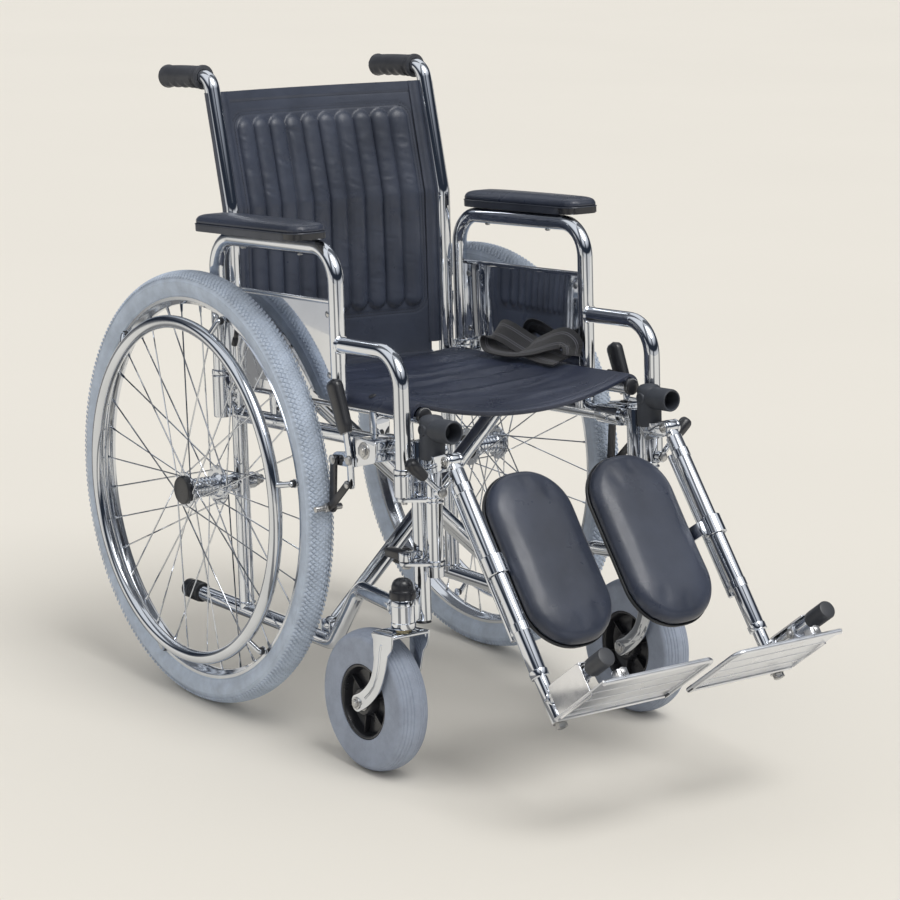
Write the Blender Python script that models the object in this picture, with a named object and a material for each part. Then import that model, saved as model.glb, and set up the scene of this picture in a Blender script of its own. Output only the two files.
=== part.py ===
# A folding wheelchair with removable desk-length armrests and elevating leg rests.
# Metres. Everything is modelled in the chair's own axes: +X to the user's left, the chair faces -Y,
# z = 0 under an upright rear wheel and y = 0 at the rear axle. An empty then leans the chair back
# about the rear axle, by the angle that its front casters give it, and centres it on the origin.
import math

import bmesh
import bpy
from mathutils import Matrix, Vector

# Clearances
GAP = 0.0003                 # between two pieces that touch
TURNING_GAP = 0.0005         # round a pin, an axle or a sliding tube
BOLT_CLEARANCE = 0.0025      # between pieces that pass each other

# Frame
FRAME_LEAN = math.radians(4.0)
HALF_WIDTH = 0.182           # from the middle to the plane of a side frame's tubes
TUBE_RADIUS = 0.011
BEND_RADIUS = 0.045
REAR_POST_Y = -0.003
FRONT_POST_SET = 0.127       # from the tyre's front to the front post
FRONT_POST_BOTTOM = 0.178
FRONT_POST_RISE = 0.013      # above the upper rail
RAIL_Z = 0.402
LOWER_REAR = (0.150, 0.127)  # the lower tube's rear end, as y and z
LOWER_FRONT = (-0.211, 0.111)
LOWER_BENDS = (0.224, 0.134)  # behind the caster's stem, where the lower tube turns up and levels out
LOWER_SPREAD = 0.016         # outwards at the second bend
CANE_LEAN_RISE = 0.181       # the leaning part of the cane, up to its top
CANE_BENDS = (0.070, 0.022)
CANE_LEAN = math.radians(12.6)
CANE_TOP_Z = 0.871
GRIP_END_Y = 0.152
GRIP_LENGTH = 0.098
GRIP_WALL = 0.0045
GRIP_GROOVES = 4
GRIP_GROOVE_DEPTH = 0.0025
TIP_CAP_LENGTH = 0.040
TIP_CAP_WALL = 0.003
TIP_CAP_END = 0.004

# Rear wheels
WHEEL_RADIUS = 0.305
WHEEL_OFFSET = 0.0635        # from the side frame's plane out to the wheel's middle
TYRE_HALF_WIDTH = 0.020
TYRE_DEPTH = 0.0365
RIM_HALF_WIDTH = 0.0135
RIM_DEPTH = 0.0105
SPOKES = 36
SPOKE_RADIUS = 0.0011
SPOKE_LACING = math.radians(62.0)
HUB_INNER_SET = 0.0256       # from the wheel's middle to each flange
HUB_OUTER_SET = 0.0281
HUB_FLANGE_THICKNESS = 0.003
HUB_INNER_FLANGE_RADIUS = 0.028
HUB_OUTER_FLANGE_RADIUS = 0.025
HUB_BARREL_RADIUS = 0.0145
HUB_CAP_RADIUS = 0.020
HUB_CAP_LENGTH = 0.007
AXLE_RADIUS = 0.006
AXLE_NUT_RADIUS = 0.010
AXLE_NUT_LENGTH = 0.009
AXLE_SLEEVE_WALL = 0.006
AXLE_SLEEVE_INNER = 0.020    # from the side frame's plane
AXLE_SLEEVE_OUTER = 0.0275
HANDRIM_SET = 0.0325         # outwards from the wheel's middle
HANDRIM_INSET = 0.069        # from the tyre's outside in to the handrim
HANDRIM_TUBE = 0.0095
STANDOFFS = 6
STANDOFF_RADIUS = 0.005

# Casters
CASTER_RADIUS = 0.0952
CASTER_TYRE_HALF_WIDTH = 0.0228
CASTER_TYRE_DEPTH = 0.034
CASTER_WHEEL_LIP = 0.0188
CASTER_OFFSET = 0.042        # from the side frame's plane
CASTER_SET_FORWARD = 0.014   # from the front post
CASTER_TRAIL = 0.069
CASTER_STEM_RADIUS = 0.008
CASTER_HOUSING_RADIUS = 0.0165
CASTER_HOUSING_BOTTOM = 0.1765
CASTER_HOUSING_HEIGHT = 0.038
CASTER_CAP_RADIUS = 0.0175
CASTER_CAP_HEIGHT = 0.032
FORK_PLATE = 0.0032
FORK_FOOT = 2.9                # radius of a leg's round foot, in axle radii
FORK_PLATE_DROP = 0.0045     # from the housing down to the fork's crown
FORK_SIDE_CLEARANCE = 0.0045
CASTER_AXLE_RADIUS = 0.005

# Armrests
ARM_OFFSET = 0.028           # from the side frame's plane
ARM_REAR_Y = -0.005
ARM_FRONT_Y = -0.297
ARM_OVER_WHEEL = 0.045       # from the tyre's top to the arm tube
ARM_STEP = 0.125             # from the arm tube down to the extension
ARM_EXTENSION_SET = 0.005    # forwards from the front post
REAR_SOCKET_SET = 0.097      # from the axle up to the socket, clear of the spokes
REAR_SOCKET_DEPTH = 0.059
FRONT_SOCKET_BOTTOM = 0.345
FRONT_SOCKET_TOP = 0.375
SOCKET_FLOOR = 0.006
SOCKET_WALL = 0.0016
PAD_REAR_Y = -0.018
PAD_FRONT_Y = -0.277
PAD_OFFSET = 0.020           # from the arm tube
PAD_WIDTH = 0.060
PAD_THICKNESS = 0.0255
GUARD_OVER_SOCKET = 0.009
GUARD_BELOW_TUBE = 0.070
GUARD_SKIRT = 0.018          # the lower part beside the rear socket
GUARD_SKIRT_SET = 0.008      # in front of the rear socket
GUARD_THICKNESS = 0.002
GUARD_ROLL_RADIUS = 0.0035

# Seat, back and cross brace
BRACE_Y = -0.190
BRACE_TUBE = 0.0125
BRACE_PIVOT_INSET = 0.012    # from the side frame's plane inwards to the lower pivot
BRACE_PIVOT_Z = 0.130
BRACE_CENTRE_Z = 0.286
BRACE_EYE_RADIUS = 0.009
BRACE_EYE_LENGTH = 0.016
BRACE_LUG = 0.004
PIVOT_PIN_RADIUS = 0.004
SEAT_RAIL_INSET = 0.008      # from the side frame's plane inwards to the seat rail
SEAT_RAIL_OVERHANG = 0.006   # in front of the front post
SEAT_RAIL_REAR_Y = -0.020
SADDLE_PLACES = (-0.095, -0.335)
SADDLE_LENGTH = 0.016
SADDLE_HALF_WIDTH = 0.0115
SLING_THICKNESS = 0.0035
SLEEVE_CLEARANCE = 0.0012
SEAT_SAG_FRONT = 0.026
SEAT_SAG_REAR = 0.006
SEAT_FRONT_SET = 0.002       # behind the front post
SEAT_REAR_Y = -0.026
BACK_BELOW_CANE = 0.021      # from the cane's top down to the back's
BACK_BOTTOM_Z = 0.470
BACK_TAIL = 0.028            # how far the panel hangs lower between its sleeves
BACK_SAG = 0.022
BACK_CHANNELS = 10
BACK_CHANNEL_INSET = 0.036   # from the side frame's plane
BACK_CHANNEL_BELOW_TOP = 0.038
BACK_CHANNEL_BOTTOM_Z = 0.525
BACK_CHANNEL_DEPTH = 0.007
BACK_THICKNESS = 0.007
BELT_WIDTH = 0.040
BELT_THICKNESS = 0.003
BELT_LAYERS = 3
BELT_LIFT = 0.0012           # above the sling's highest line, where the rail pushes it up
BELT_LENGTH = 0.170
BELT_INSET = 0.003           # from the seat rail
BELT_Y = -0.222

# Brakes
BRAKE_OFFSET = 0.055         # from the side frame's plane
BRAKE_PLATE = 0.004
BRAKE_SET_FORWARD = 0.051    # from the tyre's front to the lever's pivot
BRAKE_DROP = 0.016           # from the upper rail down to the pivot
TOGGLE_FROM_PIVOT = (-0.001, -0.031)
LEVER_BEND_FROM_PIVOT = (0.007, 0.036)
LEVER_TOP_FROM_PIVOT = (0.034, 0.104)
BRAKE_LEVER_WIDTH = 0.012
BRAKE_GRIP_WIDTH = 0.026
BRAKE_GRIP_THICKNESS = 0.018
BRAKE_GRIP_LENGTH = 0.074
SHOE_FROM_PIVOT = (0.038, -0.003)
SHOE_DIRECTION = math.radians(177.6)
SHOE_ROD_RADIUS = 0.0042
SHOE_ROD_INNER = 0.0235      # from the wheel's middle
SHOE_ROD_OUTER = 0.0185
SHOE_TYRE_GAP = 0.0008
LINK_SET_FORWARD = 0.0027    # of the shoe's link, so that its edge clears the tyre
CLAMP_FROM_PIVOT = (-0.052, -0.006)

# Leg rests, in axes turned with the leg: a runs down the leg from the knee pin, b to its front
LEG_RAISE = math.radians(34.5)
HANGER_SET_FORWARD = 0.031   # from the front post
HANGER_BOTTOM = 0.240
HANGER_TOP = 0.402
HINGE_PLATE = 0.0055
HINGE_UPPER_Z = FRONT_SOCKET_BOTTOM - TURNING_GAP - HINGE_PLATE
HINGE_LOWER_Z = 0.255
HINGE_EYE_RADIUS = 0.010
KNEE_SET_FORWARD = 0.041     # from the hanger
KNEE_Z = 0.397
KNEE_KNUCKLE_RADIUS = 0.010
KNEE_KNUCKLE_WIDTH = 0.014
KNEE_EAR = 0.004
KNEE_COVER_RADIUS = 0.0165
KNEE_COVER_TOP = 0.451
KNEE_SNOUT_Z = 0.4335
KNEE_SNOUT_REACH = 0.047     # from the hanger
LEG_TUBE_RADIUS = 0.0110
LEG_TUBE_END = 0.305
FOOT_TUBE_START = 0.190
FOOT_TUBE_END = 0.366
FOOT_BAR_LEVEL = 0.336
FOOT_BAR_LENGTH = 0.132
FOOT_BAR_RADIUS = 0.009
FOOT_TUBE_RADIUS = 0.0088
FOOT_CAP_LENGTH = 0.036
FOOT_CAP_WALL = 0.003
FOOT_PLATE_LEVEL = 0.362
FOOT_PLATE_DEPTH = 0.118
FOOT_PLATE_THICKNESS = 0.0035
FOOT_PLATE_LIP = 0.007
FOOT_PLATE_INNER_X = 0.016
FOOT_PLATE_OUTER_SET = 0.015  # from the leg tube's plane out to the plate's folded side
FOOT_PLATE_HEEL = 0.0125
CHEEK_THICKNESS = 0.003
CHEEK_LENGTH = 0.078
CHEEK_FLANGE = 0.020           # folded over the bar
HINGE_RING_WALL = 0.0035
HINGE_RING_WIDTH = 0.012
HINGE_RING_PLACES = (0.022, 0.067)
LEG_ROD_RADIUS = 0.004
LEG_ROD_SET_BACK = 0.022
LEG_ROD_SPAN = (0.032, 0.245)
CALF_PAD_INNER_X = 0.017     # half the gap between the two pads
CALF_PAD_OUTER_SET = 0.029   # from the leg tube's plane in to the pad
CALF_PAD_LENGTH = 0.248
CALF_PAD_CENTRE = 0.146
CALF_PAD_SET_BACK = 0.010
CALF_PAD_THICKNESS = 0.033
CALF_CLAMP_PLACE = 0.150
CALF_CLAMP_HEIGHT = 0.026
CALF_CLAMP_WALL = 0.0035
CALF_ARM_THICKNESS = 0.004
CALF_PLATE_SIZE = (0.070, 0.090)
LEVER_STEM_RADIUS = 0.004
LEVER_GRIP_RADIUS = 0.009
LEVER_REACH = (0.052, 0.060)
LEVER_GRIP_LENGTH = 0.034

# Facets
TUBE_SIDES = 8
PIN_SIDES = 6
BORE_SIDES = 10
BEND_STEPS = 3
WHEEL_STEPS = 30
HUB_STEPS = 12
CASTER_STEPS = 16
SHARP_ANGLE = math.radians(38.0)

# Places worked out from the sizes above
AXLE_Z = WHEEL_RADIUS
FRONT_POST_Y = -(WHEEL_RADIUS + FRONT_POST_SET)
CANE_BEND_Z = CANE_TOP_Z - CANE_LEAN_RISE
WHEEL_X = HALF_WIDTH + WHEEL_OFFSET
HUB_INNER_X = WHEEL_X - HUB_INNER_SET
HUB_OUTER_X = WHEEL_X + HUB_OUTER_SET
AXLE_SLEEVE_INNER_X = HALF_WIDTH - AXLE_SLEEVE_INNER
AXLE_SLEEVE_OUTER_X = HALF_WIDTH + AXLE_SLEEVE_OUTER
HANDRIM_X = WHEEL_X + HANDRIM_SET
HANDRIM_RADIUS = WHEEL_RADIUS - HANDRIM_INSET
CASTER_STEM_X = HALF_WIDTH + CASTER_OFFSET
CASTER_STEM_Y = FRONT_POST_Y - CASTER_SET_FORWARD
ARM_X = HALF_WIDTH + ARM_OFFSET
ARM_TOP_Z = 2 * WHEEL_RADIUS + ARM_OVER_WHEEL
ARM_EXTENSION_Z = ARM_TOP_Z - ARM_STEP
ARM_EXTENSION_Y = FRONT_POST_Y - ARM_EXTENSION_SET
REAR_SOCKET_BOTTOM = AXLE_Z + REAR_SOCKET_SET
REAR_SOCKET_TOP = REAR_SOCKET_BOTTOM + REAR_SOCKET_DEPTH
PAD_X = ARM_X + PAD_OFFSET
GUARD_BOTTOM = REAR_SOCKET_TOP + GUARD_OVER_SOCKET
GUARD_TOP = ARM_TOP_Z - GUARD_BELOW_TUBE
SEAT_RAIL_FRONT_Y = FRONT_POST_Y - SEAT_RAIL_OVERHANG
SEAT_FRONT_Y = FRONT_POST_Y + SEAT_FRONT_SET
BACK_TOP_Z = CANE_TOP_Z - BACK_BELOW_CANE
BACK_CHANNEL_HALF_WIDTH = HALF_WIDTH - BACK_CHANNEL_INSET
BACK_CHANNEL_TOP_Z = BACK_TOP_Z - BACK_CHANNEL_BELOW_TOP
BRAKE_X = HALF_WIDTH + BRAKE_OFFSET
BRAKE_PIVOT = (-(WHEEL_RADIUS + BRAKE_SET_FORWARD), RAIL_Z - BRAKE_DROP)
BRAKE_TOGGLE = (BRAKE_PIVOT[0] + TOGGLE_FROM_PIVOT[0], BRAKE_PIVOT[1] + TOGGLE_FROM_PIVOT[1])
BRAKE_LEVER_BEND = (BRAKE_PIVOT[0] + LEVER_BEND_FROM_PIVOT[0], BRAKE_PIVOT[1] + LEVER_BEND_FROM_PIVOT[1])
BRAKE_LEVER_TOP = (BRAKE_PIVOT[0] + LEVER_TOP_FROM_PIVOT[0], BRAKE_PIVOT[1] + LEVER_TOP_FROM_PIVOT[1])
BRAKE_CLAMP_Y = (BRAKE_PIVOT[0] + CLAMP_FROM_PIVOT[0], BRAKE_PIVOT[0] + CLAMP_FROM_PIVOT[1])
SHOE_PIVOT = (BRAKE_PIVOT[0] + SHOE_FROM_PIVOT[0], BRAKE_PIVOT[1] + SHOE_FROM_PIVOT[1])
SHOE_ROD_INNER_X = WHEEL_X - SHOE_ROD_INNER
SHOE_ROD_OUTER_X = WHEEL_X + SHOE_ROD_OUTER
HANGER_Y = FRONT_POST_Y - HANGER_SET_FORWARD
KNEE_Y = HANGER_Y - KNEE_SET_FORWARD
KNEE_SNOUT_Y = HANGER_Y - KNEE_SNOUT_REACH
FOOT_PLATE_OUTER_X = HALF_WIDTH + FOOT_PLATE_OUTER_SET
CALF_PAD_OUTER_X = HALF_WIDTH - CALF_PAD_OUTER_SET
CALF_PAD_X = (CALF_PAD_OUTER_X + CALF_PAD_INNER_X) / 2
CALF_PAD_HALF_WIDTH = (CALF_PAD_OUTER_X - CALF_PAD_INNER_X) / 2
CASTER_AXLE_Y = CASTER_STEM_Y + CASTER_TRAIL
CASTER_AXLE_Z = AXLE_Z + (
    CASTER_RADIUS - AXLE_Z + CASTER_AXLE_Y * math.sin(FRAME_LEAN)
) / math.cos(FRAME_LEAN)
BRACE_PIVOT_X = HALF_WIDTH - BRACE_PIVOT_INSET
SEAT_RAIL_X = HALF_WIDTH - SEAT_RAIL_INSET
SEAT_RAIL_Z = BRACE_CENTRE_Z + (BRACE_CENTRE_Z - BRACE_PIVOT_Z) * SEAT_RAIL_X / BRACE_PIVOT_X
BELT_X = SEAT_RAIL_X - BELT_INSET
BRACE_OFFSET = BRACE_TUBE + BOLT_CLEARANCE / 2
TYRE_SEAT_RADIUS = WHEEL_RADIUS - TYRE_DEPTH
RIM_RADIUS = TYRE_SEAT_RADIUS - GAP
CASTER_SEAT_RADIUS = CASTER_RADIUS - CASTER_TYRE_DEPTH
HOUSING_TOP = CASTER_HOUSING_BOTTOM + CASTER_HOUSING_HEIGHT
CROWN_TOP = CASTER_HOUSING_BOTTOM - FORK_PLATE_DROP
SOCKET_RADIUS = TUBE_RADIUS + TURNING_GAP + SOCKET_WALL
HINGE_Y = ARM_EXTENSION_Y
ROD_DISTANCE = WHEEL_RADIUS + SHOE_ROD_RADIUS + SHOE_TYRE_GAP
SHOE_ROD = (ROD_DISTANCE * math.cos(SHOE_DIRECTION), AXLE_Z + ROD_DISTANCE * math.sin(SHOE_DIRECTION))

MATERIALS = {
    "chrome": ((0.78, 0.79, 0.80), 0.12, 1.0),
    "zinc": ((0.55, 0.56, 0.58), 0.35, 1.0),
    "aluminium": ((0.74, 0.75, 0.77), 0.30, 1.0),
    "vinyl": ((0.020, 0.022, 0.028), 0.45, 0.0),
    "black_plastic": ((0.015, 0.015, 0.017), 0.40, 0.0),
    "dark_grey_plastic": ((0.060, 0.065, 0.075), 0.50, 0.0),
    "black_rubber": ((0.020, 0.020, 0.022), 0.60, 0.0),
    "grey_rubber": ((0.30, 0.33, 0.36), 0.70, 0.0),
    "webbing": ((0.012, 0.012, 0.014), 0.85, 0.0),
}


def clear_scene():
    for obj in list(bpy.data.objects):
        bpy.data.objects.remove(obj, do_unlink=True)


def make_materials():
    made = {}
    for name, (colour, roughness, metallic) in MATERIALS.items():
        material = bpy.data.materials.new(name)
        material.use_nodes = True
        shader = material.node_tree.nodes["Principled BSDF"]
        shader.inputs["Base Color"].default_value = (*colour, 1.0)
        shader.inputs["Roughness"].default_value = roughness
        shader.inputs["Metallic"].default_value = metallic
        made[name] = material
    return made


# Shapes: each function makes one closed mesh object in the chair's axes
def shape(mesh_builder):
    bmesh.ops.recalc_face_normals(mesh_builder, faces=mesh_builder.faces)
    mesh = bpy.data.meshes.new("shape")
    mesh_builder.to_mesh(mesh)
    mesh_builder.free()
    obj = bpy.data.objects.new("shape", mesh)
    bpy.context.scene.collection.objects.link(obj)
    return obj


def loft(rings, closed=False):
    builder = bmesh.new()
    loops = [[builder.verts.new(point) for point in ring] for ring in rings]
    pairs = list(zip(loops, loops[1:]))
    if closed:
        pairs.append((loops[-1], loops[0]))
    for first, second in pairs:
        count = len(first)
        for index in range(count):
            following = (index + 1) % count
            builder.faces.new((first[index], first[following], second[following], second[index]))
    if not closed:
        builder.faces.new(loops[0])
        builder.faces.new(loops[-1])
    return shape(builder)


def sweep(points, radius, sides=TUBE_SIDES):
    points = [Vector(point) for point in points]
    radii = radius if isinstance(radius, (list, tuple)) else [radius] * len(points)
    rings = []
    normal = None
    for index, point in enumerate(points):
        before = points[max(index - 1, 0)]
        after = points[min(index + 1, len(points) - 1)]
        along = (after - before).normalized()
        if normal is None:
            normal = along.orthogonal().normalized()
        normal = (normal - along * normal.dot(along)).normalized()
        across = along.cross(normal)
        # a mitred ring keeps the tube's width through a bend
        stretch = 1.0
        if 0 < index < len(points) - 1:
            turn = (point - before).angle(after - point)
            stretch = 1.0 / math.cos(turn / 2)
        bend = ((after - point).normalized() - (point - before).normalized()) if stretch > 1.0001 else None
        ring = []
        for side in range(sides):
            angle = 2 * math.pi * (side + 0.5) / sides
            offset = normal * math.cos(angle) + across * math.sin(angle)
            offset *= radii[index]
            if bend is not None and bend.length > 1e-6:
                towards = bend.normalized()
                offset += towards * offset.dot(towards) * (stretch - 1.0)
            ring.append(point + offset)
        rings.append(ring)
    return loft(rings)


def bent(corners, radius, steps=BEND_STEPS):
    # The corners' path with each inner corner rounded to an arc
    corners = [Vector(corner) for corner in corners]
    radii = radius if isinstance(radius, (list, tuple)) else [radius] * (len(corners) - 2)
    path = [corners[0]]
    for before, corner, after, bend in zip(corners, corners[1:], corners[2:], radii):
        arriving = (corner - before).normalized()
        leaving = (after - corner).normalized()
        turn = arriving.angle(leaving)
        reach = bend * math.tan(turn / 2)
        start = corner - arriving * reach
        inward = (leaving - arriving * leaving.dot(arriving)).normalized()
        centre = start + inward * bend
        for step in range(steps + 1):
            angle = turn * step / steps
            path.append(centre - inward * bend * math.cos(angle) + arriving * bend * math.sin(angle))
    path.append(corners[-1])
    return path


def rod(start, end, radius, sides=PIN_SIDES, end_radius=None):
    return sweep([start, end], [radius, radius if end_radius is None else end_radius], sides)


def bore(start, end, radius, gap=TURNING_GAP, sides=BORE_SIDES):
    # A cutter whose flats, not its corners, clear the round piece by the gap
    return rod(start, end, bore_radius(radius, gap, sides), sides)


def bore_radius(radius, gap, sides):
    return (radius + gap) / math.cos(math.pi / sides)


def block(low, high):
    centre = [(a + b) / 2 for a, b in zip(low, high)]
    size = [abs(b - a) for a, b in zip(low, high)]
    builder = bmesh.new()
    bmesh.ops.create_cube(builder, size=1.0)
    bmesh.ops.scale(builder, vec=size, verts=builder.verts)
    bmesh.ops.translate(builder, vec=centre, verts=builder.verts)
    return shape(builder)


def plate(outline, axis, low, high):
    # An outline of pairs in the plane across the axis, given its thickness along the axis
    def place(level, pair):
        point = list(pair)
        point.insert("XYZ".index(axis), level)
        return Vector(point)

    return loft([[place(level, pair) for pair in outline] for level in (low, high)])


def turned(profile, centre, axis, steps, closed=False, phase=0.0):
    # The profile holds pairs of a place along the axis and a radius
    along = Vector({"X": (1, 0, 0), "Y": (0, 1, 0), "Z": (0, 0, 1)}[axis])
    first = Vector({"X": (0, 0, -1), "Y": (0, 0, -1), "Z": (0, -1, 0)}[axis])
    second = along.cross(first)
    centre = Vector(centre)
    rings = []
    for step in range(steps):
        angle = phase + 2 * math.pi * step / steps
        outward = first * math.cos(angle) + second * math.sin(angle)
        rings.append([centre + along * place + outward * radius for place, radius in profile])
    if closed:
        return loft(rings, closed=True)
    builder = bmesh.new()
    loops = []
    for index, (place, radius) in enumerate(profile):
        if radius < 1e-7:
            loops.append([builder.verts.new(centre + along * place)])
        else:
            loops.append([builder.verts.new(ring[index]) for ring in rings])
    for one, other in zip(loops, loops[1:]):
        for step in range(steps):
            following = (step + 1) % steps
            if len(one) == 1:
                builder.faces.new((one[0], other[following], other[step]))
            elif len(other) == 1:
                builder.faces.new((one[step], one[following], other[0]))
            else:
                builder.faces.new((one[step], one[following], other[following], other[step]))
    for loop in (loops[0], loops[-1]):
        if len(loop) > 1:
            builder.faces.new(loop)
    return shape(builder)


def combine(base, tools, operation):
    for tool in tools:
        modifier = base.modifiers.new("join", "BOOLEAN")
        modifier.operation = operation
        modifier.object = tool
    bpy.context.view_layer.update()
    graph = bpy.context.evaluated_depsgraph_get()
    mesh = bpy.data.meshes.new_from_object(base.evaluated_get(graph))
    base.modifiers.clear()
    base.data = mesh
    for tool in tools:
        bpy.data.objects.remove(tool, do_unlink=True)
    return base


def fused(base, *tools):
    return combine(base, tools, "UNION")


def without(base, *tools):
    return combine(base, tools, "DIFFERENCE")


def mirrored(source):
    mesh = source.data.copy()
    mesh.transform(Matrix.Scale(-1, 4, (1, 0, 0)))
    mesh.flip_normals()
    obj = bpy.data.objects.new("shape", mesh)
    bpy.context.scene.collection.objects.link(obj)
    return obj


def mirrored_once(source):
    copy = mirrored(source)
    bpy.data.objects.remove(source, do_unlink=True)
    return copy


# Side frame and what is fixed to it
def cane_y(z):
    # The middle of the cane's leaning stretch, at a height
    return REAR_POST_Y + math.tan(CANE_LEAN) * max(z - CANE_BEND_Z, 0.0)


def lower_tube_point(y):
    share = (y - LOWER_FRONT[0]) / (LOWER_REAR[0] - LOWER_FRONT[0])
    return Vector((HALF_WIDTH, y, LOWER_FRONT[1] + share * (LOWER_REAR[1] - LOWER_FRONT[1])))


def side_frame(lug_y):
    x = HALF_WIDTH
    stem = Vector((CASTER_STEM_X, CASTER_STEM_Y, 0))
    cane = bent(
        [
            (x, REAR_POST_Y, lower_tube_point(REAR_POST_Y).z),
            (x, REAR_POST_Y, CANE_BEND_Z),
            (x, cane_y(CANE_TOP_Z), CANE_TOP_Z),
            (x, GRIP_END_Y - GRIP_WALL - GAP, CANE_TOP_Z),
        ],
        list(CANE_BENDS),
    )
    housing_tube_z = HOUSING_TOP - TUBE_RADIUS - 0.0008
    lower = bent(
        [
            lower_tube_point(LOWER_REAR[0]),
            lower_tube_point(stem.y + LOWER_BENDS[0]),
            (x + LOWER_SPREAD, stem.y + LOWER_BENDS[1], housing_tube_z),
            (stem.x, stem.y + CASTER_HOUSING_RADIUS / 2, housing_tube_z),
        ],
        0.032,
    )
    parts = [
        sweep(lower, TUBE_RADIUS),
        rod((x, REAR_POST_Y, RAIL_Z), (x, FRONT_POST_Y, RAIL_Z), TUBE_RADIUS, TUBE_SIDES),
        rod((x, FRONT_POST_Y, FRONT_POST_BOTTOM), (x, FRONT_POST_Y, RAIL_Z + FRONT_POST_RISE),
            TUBE_RADIUS, TUBE_SIDES),
        rod((AXLE_SLEEVE_INNER_X, 0, AXLE_Z), (AXLE_SLEEVE_OUTER_X, 0, AXLE_Z),
            AXLE_RADIUS + AXLE_SLEEVE_WALL, 10),
        rod(stem + Vector((0, 0, CASTER_HOUSING_BOTTOM)), stem + Vector((0, 0, HOUSING_TOP)),
            CASTER_HOUSING_RADIUS, 12),
        gusset(),
    ]
    bores = [
        bore((AXLE_SLEEVE_INNER_X - 0.01, 0, AXLE_Z), (AXLE_SLEEVE_OUTER_X + 0.01, 0, AXLE_Z), AXLE_RADIUS,
             GAP),
        bore(stem + Vector((0, 0, CASTER_HOUSING_BOTTOM - 0.01)), stem + Vector((0, 0, HOUSING_TOP + 0.01)),
             CASTER_STEM_RADIUS),
    ]
    for solids in (rear_socket(), front_socket(), hinge_lug(), brace_lugs(lug_y), saddles()):
        parts += solids[0]
        bores += solids[1]
    frame = fused(sweep(cane, TUBE_RADIUS), *parts)
    return without(frame, *bores)


def gusset():
    # The plate that joins the front post to the caster housing
    start = Vector((HALF_WIDTH, FRONT_POST_Y))
    end = Vector((CASTER_STEM_X, CASTER_STEM_Y))
    along = (end - start).normalized()
    side = Vector((-along.y, along.x)) * 0.004
    reach = end - along * CASTER_HOUSING_RADIUS * 0.8
    outline = [start + side, reach + side, reach - side, start - side]
    return plate([tuple(point) for point in outline], "Z", FRONT_POST_BOTTOM + 0.003, HOUSING_TOP - 0.003)


def rear_socket():
    base = Vector((ARM_X, ARM_REAR_Y, 0))
    solids = [rod(base + Vector((0, 0, REAR_SOCKET_BOTTOM)), base + Vector((0, 0, REAR_SOCKET_TOP)),
                  SOCKET_RADIUS, 10)]
    for z in (REAR_SOCKET_BOTTOM + 0.022, REAR_SOCKET_TOP - 0.022):
        solids.append(block((HALF_WIDTH + 0.004, ARM_REAR_Y - 0.006, z - 0.010),
                            (ARM_X - TUBE_RADIUS, ARM_REAR_Y + 0.008, z + 0.010)))
    inside = bore(base + Vector((0, 0, REAR_SOCKET_BOTTOM + SOCKET_FLOOR)),
                  base + Vector((0, 0, REAR_SOCKET_TOP + 0.01)), TUBE_RADIUS)
    return solids, [inside]


def front_socket():
    # The cup that the armrest's front leg drops into, with the leg rest's upper hinge pin below it
    base = Vector((ARM_X, ARM_EXTENSION_Y, 0))
    solids = [
        rod(base + Vector((0, 0, FRONT_SOCKET_BOTTOM)), base + Vector((0, 0, FRONT_SOCKET_TOP)),
            SOCKET_RADIUS, 10),
        block((HALF_WIDTH + 0.004, ARM_EXTENSION_Y - 0.005, FRONT_SOCKET_BOTTOM + 0.002),
              (ARM_X - TUBE_RADIUS, ARM_EXTENSION_Y + 0.007, FRONT_SOCKET_BOTTOM + 0.018)),
        rod(base + Vector((0, 0, FRONT_SOCKET_BOTTOM + 0.003)),
            base + Vector((0, 0, HINGE_UPPER_Z - 0.004)), PIVOT_PIN_RADIUS),
    ]
    inside = bore(base + Vector((0, 0, FRONT_SOCKET_BOTTOM + SOCKET_FLOOR)),
                  base + Vector((0, 0, FRONT_SOCKET_TOP + 0.01)), TUBE_RADIUS)
    return solids, [inside]


def hinge_lug():
    # The leg rest's lower hinge, with its moulded cover standing out to the rear
    base = Vector((ARM_X, HINGE_Y, 0))
    bottom = HINGE_LOWER_Z + HINGE_PLATE + TURNING_GAP
    solids = [
        rod(base + Vector((0, 0, bottom)), base + Vector((0, 0, bottom + 0.012)), HINGE_EYE_RADIUS, 12),
        block((HALF_WIDTH + 0.004, HINGE_Y - 0.005, bottom + 0.001),
              (ARM_X - 0.005, HINGE_Y + 0.007, bottom + 0.011)),
        rod(base + Vector((0, 0, bottom + 0.003)), base + Vector((0, 0, HINGE_LOWER_Z - 0.004)),
            PIVOT_PIN_RADIUS),
        block((ARM_X - 0.007, HINGE_Y + 0.004, bottom + 0.0005),
              (ARM_X + 0.008, HINGE_Y + 0.040, bottom + 0.0135)),
    ]
    return solids, []


def brace_lugs(lug_y):
    solids = []
    reach = BRACE_EYE_LENGTH / 2 + TURNING_GAP
    for side in (-1, 1):
        near = lug_y + side * reach
        far = near + side * BRACE_LUG
        solids.append(block((BRACE_PIVOT_X - BRACE_EYE_RADIUS, near, LOWER_FRONT[1] - 0.004),
                            (HALF_WIDTH + 0.003, far, BRACE_PIVOT_Z + BRACE_EYE_RADIUS)))
    end = reach + BRACE_LUG + 0.003
    solids.append(rod((BRACE_PIVOT_X, lug_y - end, BRACE_PIVOT_Z),
                      (BRACE_PIVOT_X, lug_y + end, BRACE_PIVOT_Z), PIVOT_PIN_RADIUS))
    return solids, []


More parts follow.
